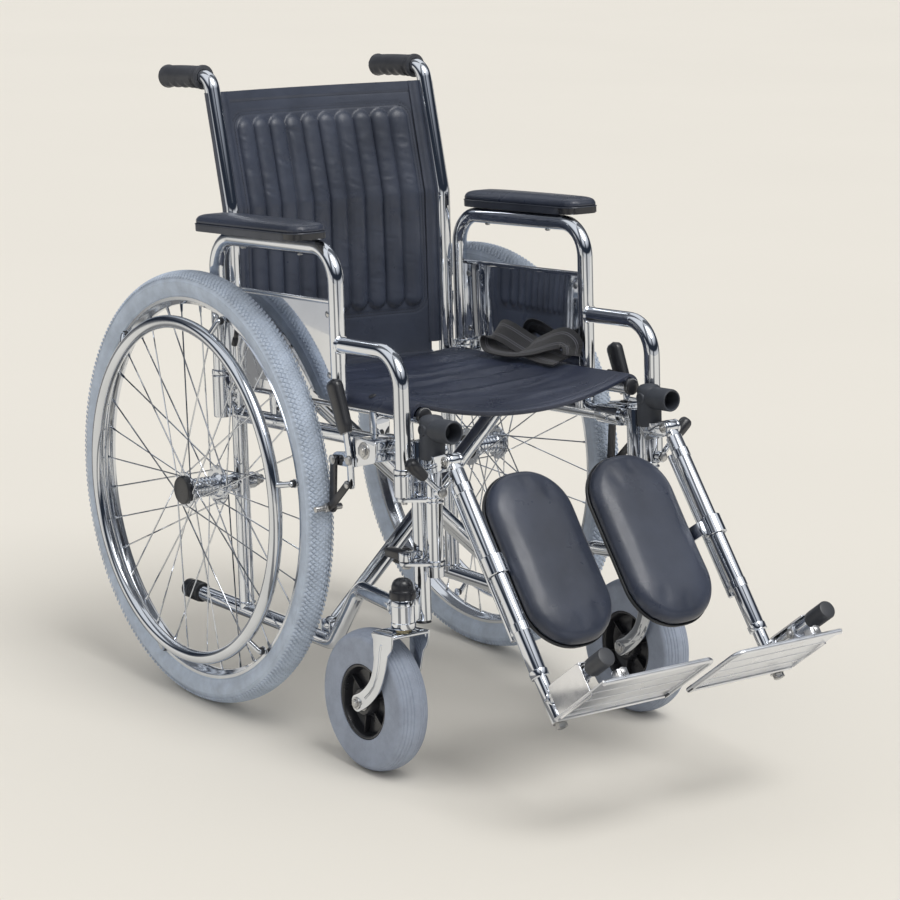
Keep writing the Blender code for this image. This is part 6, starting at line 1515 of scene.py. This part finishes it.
def backHeight(x, z):
    # How far the padding stands out: ten round-ended channels inside a doubly sewn border
    b = back
    half = b["channelHalf"] / b["channels"]
    index = min(b["channels"] - 1, max(0, int((x + b["channelHalf"]) / (2 * half))))
    across = abs(x + b["channelHalf"] - half * (2 * index + 1))
    over = max(b["channelLow"] + half - z, z - b["channelHigh"] + half, 0.0)
    away = math.hypot(across, over) / half
    height = b["depth"] * max(0.0, 1 - away ** 2.4) ** 0.58
    full = min(1.0, height / b["depth"] * 1.6)
    crease = fieldNoise.noise(Vector((x * 34.0, z * 88.0 + x * 20.0, index * 3.7)))
    height += full * (0.0007 * crease - 0.001 * max(0.0, crease - 0.32) * 3.0)
    height += 0.0011 * fieldNoise.noise(Vector((x * 11.0, z * 9.0, 1.5)))
    for margin in b["border"]:
        height += groove(borderDistance(x, z, margin), 0.0009, 0.0011)
    edge = min(z - b["bottom"], b["top"] - z)
    height += 0.0009 * smoothStep((0.014 - edge) / 0.002) + groove(edge - b["hemLine"], 0.0008, 0.0008)
    return height


def makeBackPanel():
    b = back

    def spot(u, v):
        return (2 * u - 1) * b["seam"], b["bottom"] + v * (b["top"] - b["bottom"])

    def front(u, v):
        x, z = spot(u, v)
        return Vector((x, backPlane(x, z) - backHeight(x, z), z))

    def rear(u, v):
        x, z = spot(u, v)
        return Vector((x, backPlane(x, z) + b["thick"] - 0.22 * backHeight(x, z), z))

    return gridSheet(b["columns"], b["rows"], front, 0.004, rear)


def stitchLine(points, length, radius=0.00042, gap=0.35):
    # Thread along a line of (point, normal) pairs, one short raised stitch after another
    total, where, marks = 0.0, 0.0, []
    for (first, up), (second, _) in zip(points, points[1:]):
        span = (second - first).length
        while where < total + span:
            share = (where - total) / span
            marks.append((first.lerp(second, share), (second - first).normalized(), up))
            where += length
        total += span
    corners, faces = [], []
    half = length * (1 - gap) / 2
    for spot, along, up in marks:
        side = along.cross(up).normalized() * radius
        base = len(corners)
        for reach, lift in ((-half, -0.2), (-half * 0.5, 1.0), (half * 0.5, 1.0), (half, -0.2)):
            middle = spot + along * reach + up * radius * lift
            corners += [middle - side, middle + side, middle + up * radius * 0.8]
        for step in range(3):
            a = base + 3 * step
            faces += [(a, a + 1, a + 4, a + 3), (a + 1, a + 2, a + 5, a + 4), (a + 2, a, a + 3, a + 5)]
        faces += [(base + 2, base + 1, base), (base + 9, base + 10, base + 11)]
    return shaped(corners, [], faces)


def onBack(x, z, lift=0.0002):
    return Vector((x, backPlane(x, z) - backHeight(x, z) - lift, z)), Vector((0, -1, 0))


def makeBackStitches():
    b = back
    lines = []
    half = b["channelHalf"] / b["channels"]
    middle = (b["channelLow"] + b["channelHigh"]) / 2
    for margin in b["border"]:
        hx, hz, corner = b["channelHalf"] + margin, (b["channelHigh"] - b["channelLow"]) / 2 + margin, half + margin
        outline = []
        for sx, sz, begin in ((1, 1, 0), (-1, 1, 90), (-1, -1, 180), (1, -1, 270)):
            outline += arc((sx * (hx - corner), middle + sz * (hz - corner)), corner, begin, 90, 8)
        outline.append(outline[0])
        dense = []
        for (x0, z0), (x1, z1) in zip(outline, outline[1:]):
            count = max(1, int(math.hypot(x1 - x0, z1 - z0) / 0.012))
            dense += [(x0 + (x1 - x0) * step / count, z0 + (z1 - z0) * step / count) for step in range(count)]
        lines.append([onBack(x, z) for x, z in dense + dense[:1]])
    for index in range(1, b["channels"]):
        x = -b["channelHalf"] + 2 * half * index
        lines.append([onBack(x, b["channelLow"] + half * 0.7 + step * 0.01) for step in range(27)])
    for z in (b["bottom"] + b["hemLine"], b["top"] - b["hemLine"]):
        lines.append([onBack(-0.155 + 0.01 * step, z) for step in range(32)])
    return joined(*[stitchLine(line, b["stitch"]) for line in lines])


def makeBackSleeve():
    # From the cane's outer side round behind it, then a short flap that tucks under the panel
    b = back
    profile = arc((sideX, 0), b["sleeveRadius"], -20, 170, 20) + [(0.1699, 0.0036),
                                                                  (0.168, 0.0027), (0.1655, 0.0026)]
    for x in (0.163, 0.1605, 0.158, 0.1555):
        tuck = 0.0016 * smoothStep((0.1625 - x) / 0.003)
        profile.append((x, b["sag"] * (1 - (x / b["edge"]) ** 2) + 0.0015 + tuck))
    last = len(profile) - 1

    def spot(u, v):
        index = min(last - 1, int(u * last))
        share = u * last - index
        x, y = (first * (1 - share) + second * share for first, second in zip(profile[index], profile[index + 1]))
        z = b["sleeveBottom"] + v * (b["top"] - b["sleeveBottom"])
        ripple = 0.0005 * fieldNoise.noise(Vector((u * 6.0, z * 40.0, 7.0))) * smoothStep(u * 6)
        return Vector((x, caneY(z) + y + ripple, z))

    return gridSheet(2 * last, 120, spot, 0.003)


backPanel = place(makeBackPanel(), "backPanel", "side_frame_right", "backVinyl", ["back_sling"], smooth=60.0)
backStitches = place(makeBackStitches(), "backStitches", "side_frame_right", "thread")
for piece in (backPanel, backStitches):
    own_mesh(piece)
placePair(makeBackSleeve(), "backSleeve", "side_frame", "backVinyl", smooth=60.0)
print("back made")

seat = {
    "front": -0.43, "rear": -0.026, "sagRear": 0.006, "sagFront": 0.026, "reach": 0.0172, "thick": 0.005,
    "hem": 0.012, "columns": 200, "rows": 230, "wrapShare": 0.115, "wrapStart": math.radians(-5), "bow": 0.009,
    "stitch": 0.0045, "snaps": (-0.06, -0.15, -0.24, -0.33, -0.385), "snapTurn": math.radians(68),
}


def seatSag(y):
    share = (y - seat["rear"]) / (seat["front"] - seat["rear"])
    return seat["sagRear"] + share * (seat["sagFront"] - seat["sagRear"])


def seatWrinkle(x, y):
    # Folds drawn from rail to rail, deepest at the back, with creases to the front corners
    s = seat
    across = 1 - (abs(x) / 0.168) ** 5
    hemFar = smoothStep((y - s["front"] - 0.018) / 0.05)
    rearFar = smoothStep((s["rear"] - y - 0.012) / 0.03)
    bent = y + 0.1 * x * x / 0.17
    long = fieldNoise.noise(Vector((x * 4.5 + 2.0, bent * 46.0, 0.3)))
    ridge = 1 - abs(fieldNoise.noise(Vector((x * 3.0 + 8.0, bent * 27.0, 5.2)))) * 2.4
    cross = fieldNoise.noise(Vector((x * 16.0 + y * 9.0, y * 15.0 - x * 12.0, 9.0)))
    rearShare = smoothStep((y - s["front"]) / 0.34)
    height = (0.0024 * long + 0.0022 * max(0.0, ridge) ** 3) * (0.45 + 0.75 * rearShare) + 0.0014 * cross
    return height * max(0.0, across) * hemFar * rearFar


def makeSeat():
    s = seat
    wrap, start = s["wrapShare"], s["wrapStart"]      # the share of the width that goes round each rail

    def line(u, y, reach):
        turn = math.pi / 2 - start
        if u < wrap:
            angle = start + turn * u / wrap
            return -seatRailX - reach * math.cos(angle), seatRailZ + reach * math.sin(angle)
        if u > 1 - wrap:
            angle = start + turn * (1 - u) / wrap
            return seatRailX + reach * math.cos(angle), seatRailZ + reach * math.sin(angle)
        x = seatRailX * (2 * (u - wrap) / (1 - 2 * wrap) - 1)
        return x, seatRailZ + reach - seatSag(y) * (1 - (x / seatRailX) ** 2)

    def spot(v):
        return s["front"] + v * (s["rear"] - s["front"])

    def bowed(u, y):       # the front edge bows forwards a little between the rails
        inner = 1 - min(1.0, abs(2 * u - 1) / 0.8) ** 2
        return y - s["bow"] * inner * smoothStep((s["front"] + 0.1 - y) / 0.1)

    def hemCurve(y):
        edge = min(y - s["front"], s["rear"] - y)
        return max(0.0, 1 - edge / s["hem"])

    def top(u, v):
        y = spot(v)
        x, z = line(u, y, s["reach"])
        curl = hemCurve(y)
        drop = 0.0016 * (1 - math.sqrt(max(0.0, 1 - curl ** 2)))
        seam = groove(min(y - s["front"], s["rear"] - y) - s["hem"] - 0.002, 0.001, 0.0008)
        return Vector((x, bowed(u, y), z + seatWrinkle(x, y) + (seam - drop) * (1 if wrap < u < 1 - wrap else 0.3)))

    def under(u, v):
        y = spot(v)
        curl = hemCurve(y)
        x, z = line(u, y, s["reach"] - s["thick"])
        thickness = 0.003 * math.sqrt(max(0.0, 1 - (2 * curl - 1) ** 2)) if curl > 0 else 0.0
        return Vector((x, bowed(u, y), z + 0.8 * seatWrinkle(x, y) - (thickness if wrap < u < 1 - wrap else 0.0)))

    return gridSheet(s["columns"], s["rows"], top, 0.002, under)


def makeSeatStitches():
    s = seat
    lines = []
    for y in (s["front"] + s["hem"] + 0.002, s["rear"] - s["hem"] - 0.002):
        points = []
        for step in range(67):
            x = -0.165 + 0.005 * step
            z = seatRailZ + s["reach"] - seatSag(y) * (1 - (x / seatRailX) ** 2) + seatWrinkle(x, y) - 0.0004
            points.append((Vector((x, y, z)), Vector((0, 0, 1))))
        lines.append(stitchLine(points, s["stitch"]))
    return joined(*lines)


seatPiece = place(makeSeat(), "seatSling", None, "seatVinyl", ["seat_sling"], smooth=60.0)
seatStitches = place(makeSeatStitches(), "seatStitches", None, "thread")
for piece in (seatPiece, seatStitches):
    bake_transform(piece)


def makeSnap(y):
    up = Vector((math.cos(seat["snapTurn"]), 0, math.sin(seat["snapTurn"])))
    base = Vector((seatRailX, y, seatRailZ)) + up * (seat["reach"] - 0.0002)
    cap = turned([(0, 0.0), (0, 0.0052), (0.0006, 0.0054), (0.0014, 0.0046), (0.0018, 0.0026),
                  (0.0014, 0.0014), (0.0015, 0.0)],
                 (0, 0, 0), "Z", 28)
    return stood(cap, base, up)


snaps = joined(*[makeSnap(y) for y in seat["snaps"]])
rightSnaps = copied(snaps, mirror)
place(snaps, "seatSnapsLeft", "cross_brace_front", "blackPlastic")
place(rightSnaps, "seatSnapsRight", "cross_brace_rear", "blackPlastic")
print("seat made")

# Each mark of the belt is y, height over the seat, x, and the strap's tilt in degrees
belt = {
    "width": 0.034, "thick": 0.002, "level": 0.02,
    "marks": ((-0.296, 0.004, 0.166, 18), (-0.255, 0.009, 0.166, 34), (-0.208, 0.02, 0.168, 48),
              (-0.168, 0.031, 0.17, 54),
              (-0.143, 0.033, 0.172, 50), (-0.13, 0.022, 0.17, 36), (-0.139, 0.009, 0.166, 20),
              (-0.166, 0.005, 0.164, 16),
              (-0.205, 0.009, 0.164, 30), (-0.243, 0.019, 0.167, 48), (-0.272, 0.029, 0.171, 56),
              (-0.29, 0.032, 0.175, 54),
              (-0.303, 0.024, 0.177, 44), (-0.304, 0.01, 0.175, 28)),
}


def makeBelt():
    # Flat webbing left in a loose double loop
    b = belt
    points = smoothMarks(b["marks"], 8)
    centres = [Vector((x, y, seatRailZ + b["level"] + height)) for y, height, x, tilt in points]
    length = sum((second - first).length for first, second in zip(centres, centres[1:]))
    last = len(centres) - 1

    def spot(u, v):
        index = min(last - 1, int(v * last))
        share = v * last - index
        centre = centres[index].lerp(centres[index + 1], share)
        tilt = math.radians(points[index][3] * (1 - share) + points[index + 1][3] * share)
        along = (centres[index + 1] - centres[index]).normalized()
        across = Vector((math.cos(tilt), 0, math.sin(tilt)))
        across = (across - along * across.dot(along)).normalized()
        return centre + across * (u - 0.5) * b["width"]

    obj = gridSheet(14, len(centres) * 2, spot, b["thick"])
    for loop in obj.data.uv_layers[0].data:        # stripes follow the strap's own length
        loop.uv = (loop.uv.x, loop.uv.y * length / b["width"])
    return obj, length


beltPiece, beltLength = makeBelt()
place(beltPiece, "belt", "cross_brace_front", "webbing", ["belt"], smooth=60.0)
print("belt made:", round(beltLength, 3), "m")


# Pads
def roundedOutline(halfWidth, halfLength, corner, steps):
    points = []
    for quarter, (sx, sy) in enumerate(((1, 1), (-1, 1), (-1, -1), (1, -1))):
        points += arc((sx * (halfWidth - corner), sy * (halfLength - corner)), corner, 90.0 * quarter, 90.0, steps)
    return points


clothSettings = {"quality": 6, "mass": 0.25, "frames": 20, "relaxSteps": 4, "relaxFactor": 0.5}


def puffed(obj, voxel, pressure, cap, held):
    # The cover swells under air pressure as cloth, with the vertices that held() names kept in place
    remesh = obj.modifiers.new("even", "REMESH")
    remesh.mode = "VOXEL"
    remesh.voxel_size = voxel
    applied(obj, remesh)
    start = [vertex.co.copy() for vertex in obj.data.vertices]
    group = obj.vertex_groups.new(name="held")
    group.add([index for index, spot in enumerate(start) if held(spot)], 1.0, "REPLACE")
    cloth = obj.modifiers.new("cloth", "CLOTH")
    cloth.settings.quality = clothSettings["quality"]
    cloth.settings.mass = clothSettings["mass"]
    cloth.settings.use_pressure = True
    cloth.settings.uniform_pressure_force = pressure
    cloth.settings.vertex_group_mass = group.name
    cloth.settings.effector_weights.gravity = 0.0
    cloth.collision_settings.use_collision = False
    cloth.point_cache.frame_end = clothSettings["frames"]
    for frameNumber in range(1, clothSettings["frames"] + 1):
        bpy.context.scene.frame_set(frameNumber)
    depsgraph = bpy.context.evaluated_depsgraph_get()
    swollen = [vertex.co.copy() for vertex in obj.evaluated_get(depsgraph).data.vertices]
    obj.modifiers.remove(cloth)
    bpy.context.scene.frame_set(1)
    for vertex, before, after in zip(obj.data.vertices, start, swollen):
        shift = after - before
        vertex.co = before + shift * min(1.0, cap / max(shift.length, 1e-9))
    obj.vertex_groups.clear()
    relax = obj.modifiers.new("relax", "SMOOTH")
    relax.iterations = clothSettings["relaxSteps"]
    relax.factor = clothSettings["relaxFactor"]
    finer = obj.modifiers.new("finer", "SUBSURF")
    finer.levels = finer.render_levels = 1
    applied(obj, relax)
    return applied(obj, finer)


calf = {"x": 0.085, "halfWidth": 0.068, "halfLength": 0.124, "centre": 0.146, "back": 0.0265,
        "thick": 0.033, "corner": 0.064,
        "voxel": 0.004, "pressure": 1.4, "swell": 0.001, "heldDepth": 0.0075}


def calfRing(inset, level, steps=16):
    c = calf
    outline = roundedOutline(c["halfWidth"] - inset, c["halfLength"] - inset,
                             max(c["corner"] - inset, 0.002), steps)
    return [(c["x"] + u, c["back"] - level, -c["centre"] + v) for u, v in outline]


def makeCalfPad():
    c = calf
    levels = [(0.0045, 0.0042), (0.0022, 0.0056), (0.002, 0.015), (0.0036, 0.0195),
              (0.0075, 0.0242), (0.013, 0.0272),
              (0.021, 0.0288), (0.032, 0.0296), (0.044, 0.03)]
    pad = puffed(lofted([calfRing(*level) for level in levels]), c["voxel"], c["pressure"], c["swell"],
                 lambda point: point.y > c["back"] - c["heldDepth"])
    for vertex in pad.data.vertices:          # the cover stays clear of the leg tube and within its height
        vertex.co.x = min(vertex.co.x, c["x"] + c["halfWidth"] - 0.0002)
        vertex.co.y = max(vertex.co.y, c["back"] - c["thick"] + 0.0002)
    return pad


def makeCalfBoard():
    # Moulded board behind the cover, with the seam bead between them
    board = lofted([calfRing(0.006, 0.0002), calfRing(0.0022, 0.0004), calfRing(0.0012, 0.0012),
                    calfRing(0.0012, 0.0036),
                    calfRing(0.003, 0.0046)])
    bead = tube([(x, calf["back"] - 0.0052, z) for x, _, z in calfRing(0.0016, 0.0)], 0.0012, 0, 8, closed=True)
    return joined(board, bead)


for pad in placePair(makeCalfPad(), "calfPad", "calf_pad", "padVinyl", ["calf_pad"], axes=legAxes, smooth=80.0):
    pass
placePair(makeCalfBoard(), "calfBoard", "calf_pad", "piping", axes=legAxes)
print("calf pads made")

armPad = {"x": 0.23, "rear": -0.018, "front": -0.277, "halfWidth": 0.03, "bottom": 0.6664, "thick": 0.0255,
          "corner": 0.019, "voxel": 0.0034, "pressure": 3.0, "swell": 0.0016,
          "heldHeight": 0.0118, "noseLength": 0.024,
          "screws": (-0.075, -0.215)}


def armRing(inset, level, shorten=0.0, steps=14):
    a = armPad
    halfLength = (a["rear"] - a["front"] - shorten) / 2
    middle = (a["rear"] + a["front"] + shorten) / 2
    outline = roundedOutline(a["halfWidth"] - inset, halfLength - inset, max(a["corner"] - inset, 0.003), steps)
    return [(a["x"] + u, middle + v, a["bottom"] + level) for u, v in outline]


def makeArmPad():
    a = armPad
    levels = [(0.0035, 0.0098), (0.0012, 0.0108), (0.001, 0.0142), (0.0022, 0.018),
              (0.0056, 0.021), (0.011, 0.0228),
              (0.0175, 0.0236)]
    pad = puffed(lofted([armRing(*level) for level in levels]), a["voxel"], a["pressure"], a["swell"],
                 lambda point: point.z < a["bottom"] + a["heldHeight"])
    for vertex in pad.data.vertices:
        vertex.co.z = min(vertex.co.z, a["bottom"] + a["thick"] - 0.0001)
    return pad


def makeArmBase():
    # Moulded base under the cover; its front end stops short, over the tube's bend
    base = lofted([armRing(0.004, 0.0, 0.02), armRing(0.0014, 0.0006, 0.019), armRing(0.001, 0.003, 0.018),
                   armRing(0.001, 0.0092, 0.018), armRing(0.0026, 0.0104, 0.019)])
    bead = tube([(x, y, armPad["bottom"] + 0.0104) for x, y, _ in armRing(0.0012, 0.0)], 0.001, 0, 8, closed=True)
    return joined(base, bead)


def makeArmNose():
    # The base's moulded front end, over the tube's bend
    a = armPad
    rings, long = [], a["noseLength"]
    for inset, level in ((0.0022, 0.0008), (0.0008, 0.0022), (0.0008, 0.0094), (0.0018, 0.0103)):
        outline = roundedOutline(a["halfWidth"] - inset, long - inset, a["corner"] - inset, 8)
        rings.append([(a["x"] + u, a["front"] + min(long + v, long + 0.002), a["bottom"] + level) for u,
                      v in outline])
    return lofted(rings)


def makeArmScrews():
    head = [(0, 0.0), (0, 0.004), (-0.001, 0.004), (-0.0024, 0.0026), (-0.0026, 0.0)]
    return joined(*[turned(head, (armrest["x"], y, armrest["topZ"] - tubeRadius + 0.0002), "Z", 24)
                    for y in armPad["screws"]])


for pad in placePair(makeArmPad(), "armPad", "armrest", "padVinyl", ["arm_pad"], smooth=80.0):
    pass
placePair(makeArmBase(), "armPadBase", "armrest", "padBase")
placePair(makeArmNose(), "armPadNose", "armrest", "blackPlastic")
placePair(makeArmScrews(), "armPadScrews", "armrest", "zinc")
print("arm pads made")

# Camera, lights and floor
photoView = {"location": (-2.326261, -3.099855, 1.268694),
             "turn": (77.05504, -0.79196, -36.58118), "lens": 115.8447,
             "sensor": 36.0, "clipEnd": 200.0}
cameraData = bpy.data.cameras.new("photoCamera")
camera = added("photoCamera", cameraData)
camera.location = photoView["location"]
camera.rotation_euler = [math.radians(angle) for angle in photoView["turn"]]
cameraData.lens = photoView["lens"]
cameraData.sensor_width = photoView["sensor"]
cameraData.clip_end = photoView["clipEnd"]
bpy.context.scene.camera = camera
bpy.context.scene.view_settings.view_transform = "Standard"

# The studio's listed dark bands are painted reflections: the floor shows them to glossy rays alone
studio = {"floor": (0.8, 0.775, 0.72), "sky": (1.0, 0.985, 0.96), "skyStrength": 0.64, "sunStrength": 1.55,
          "sunAngle": 34.0, "sunTurn": (28.0, -14.0, 30.0),
          "paintedReflectionBands": ((0.065, 0.026), (0.215, 0.022), (0.51, 0.05), (0.79, 0.045)), "dark": (0.035, 0.045, 0.065)}


def makeFloor():
    # Plain and pale; for reflected rays alone its colour turns dark in bands, a painted reflection of dark panels
    # standing round, as in a studio
    deselectAll()
    bpy.ops.mesh.primitive_plane_add(size=80.0, location=(0, 0, 0))
    floor = settled()
    floor.name = "studioFloor"
    material, tree, shader = newMaterial("studioFloor", studio["floor"], 0.85)
    vector = objectCoordinates(tree)
    tint = tuple(c * 0.985 for c in studio["floor"])
    plain = mixColours(tree, remap(tree, noise(tree, vector, 0.8, 2.0), 0.0, 1.0), studio["floor"], tint)
    # painted reflection: the floor's colour is darkened in bands for glossy rays
    tree.links.new(paintedReflectionMix(tree, vector, plain, 0.75), shader.inputs["Base Color"])
    shader.inputs["Specular IOR Level"].default_value = 0.2
    floor.data.materials.append(material)


def paintedReflectionMix(tree, vector, plain, strength):
    # Dark bands by compass direction, seen in reflections alone; on the floor they are painted reflections, colour
    # standing in for dark panels
    radial = tree.nodes.new("ShaderNodeTexGradient")
    radial.gradient_type = "RADIAL"
    tree.links.new(vector, radial.inputs["Vector"])
    ramp = tree.nodes.new("ShaderNodeValToRGB")
    ramp.color_ramp.elements[0].color = ramp.color_ramp.elements[1].color = (0, 0, 0, 1)
    for middle, half in studio["paintedReflectionBands"]:
        for edge, level in ((middle - half - 0.008, 0), (middle - half, 1), (middle + half, 1),
                            (middle + half + 0.008, 0)):
            ramp.color_ramp.elements.new(edge).color = (level, level, level, 1)
    tree.links.new(radial.outputs["Fac"], ramp.inputs["Fac"])
    path = tree.nodes.new("ShaderNodeLightPath")
    both = tree.nodes.new("ShaderNodeMath")
    both.operation = "MULTIPLY"
    tree.links.new(ramp.outputs["Color"], both.inputs[0])
    tree.links.new(path.outputs["Is Glossy Ray"], both.inputs[1])
    share = tree.nodes.new("ShaderNodeMath")
    share.operation = "MULTIPLY"
    share.inputs[1].default_value = strength
    tree.links.new(both.outputs["Value"], share.inputs[0])
    mix = tree.nodes.new("ShaderNodeMix")
    mix.data_type = "RGBA"
    tree.links.new(share.outputs["Value"], mix.inputs[0])
    tree.links.new(plain, mix.inputs[6])
    mix.inputs[7].default_value = (*studio["dark"], 1.0)
    return mix.outputs[2]


def makeWorld():
    # Even soft light; in the chrome it is a bright ceiling over a dark wall
    world = bpy.data.worlds.new("studioWorld")
    bpy.context.scene.world = world
    world.use_nodes = True
    tree = world.node_tree
    background = tree.nodes["Background"]
    background.inputs["Strength"].default_value = studio["skyStrength"]
    coordinates = tree.nodes.new("ShaderNodeTexCoord")
    split = tree.nodes.new("ShaderNodeSeparateXYZ")
    tree.links.new(coordinates.outputs["Generated"], split.inputs["Vector"])
    wall = tree.nodes.new("ShaderNodeValToRGB")
    wall.color_ramp.elements[0].color = (0.95, 0.94, 0.92, 1)
    wall.color_ramp.elements[1].color = (1.25, 1.28, 1.32, 1)
    for height, colour in ((0.1, (0.9, 0.9, 0.9)), (0.17, studio["dark"]), (0.36, studio["dark"]),
                           (0.46, (0.55, 0.58, 0.64)),
                           (0.6, (1.25, 1.28, 1.32))):
        wall.color_ramp.elements.new(height).color = (*colour, 1)
    tree.links.new(split.outputs["Z"], wall.inputs["Fac"])
    path = tree.nodes.new("ShaderNodeLightPath")
    mix = tree.nodes.new("ShaderNodeMix")
    mix.data_type = "RGBA"
    tree.links.new(path.outputs["Is Glossy Ray"], mix.inputs[0])
    mix.inputs[6].default_value = (*studio["sky"], 1.0)
    tree.links.new(paintedReflectionMix(tree, coordinates.outputs["Generated"], wall.outputs["Color"], 0.85), mix.inputs[7])
    tree.links.new(mix.outputs[2], background.inputs["Color"])


def makeLights():
    sun = bpy.data.lights.new("softSun", "SUN")
    sun.energy = studio["sunStrength"]
    sun.angle = math.radians(studio["sunAngle"])
    sun.color = studio["sky"]
    added("softSun", sun).rotation_euler = [math.radians(angle) for angle in studio["sunTurn"]]


makeFloor()
makeWorld()
makeLights()
print("studio made")
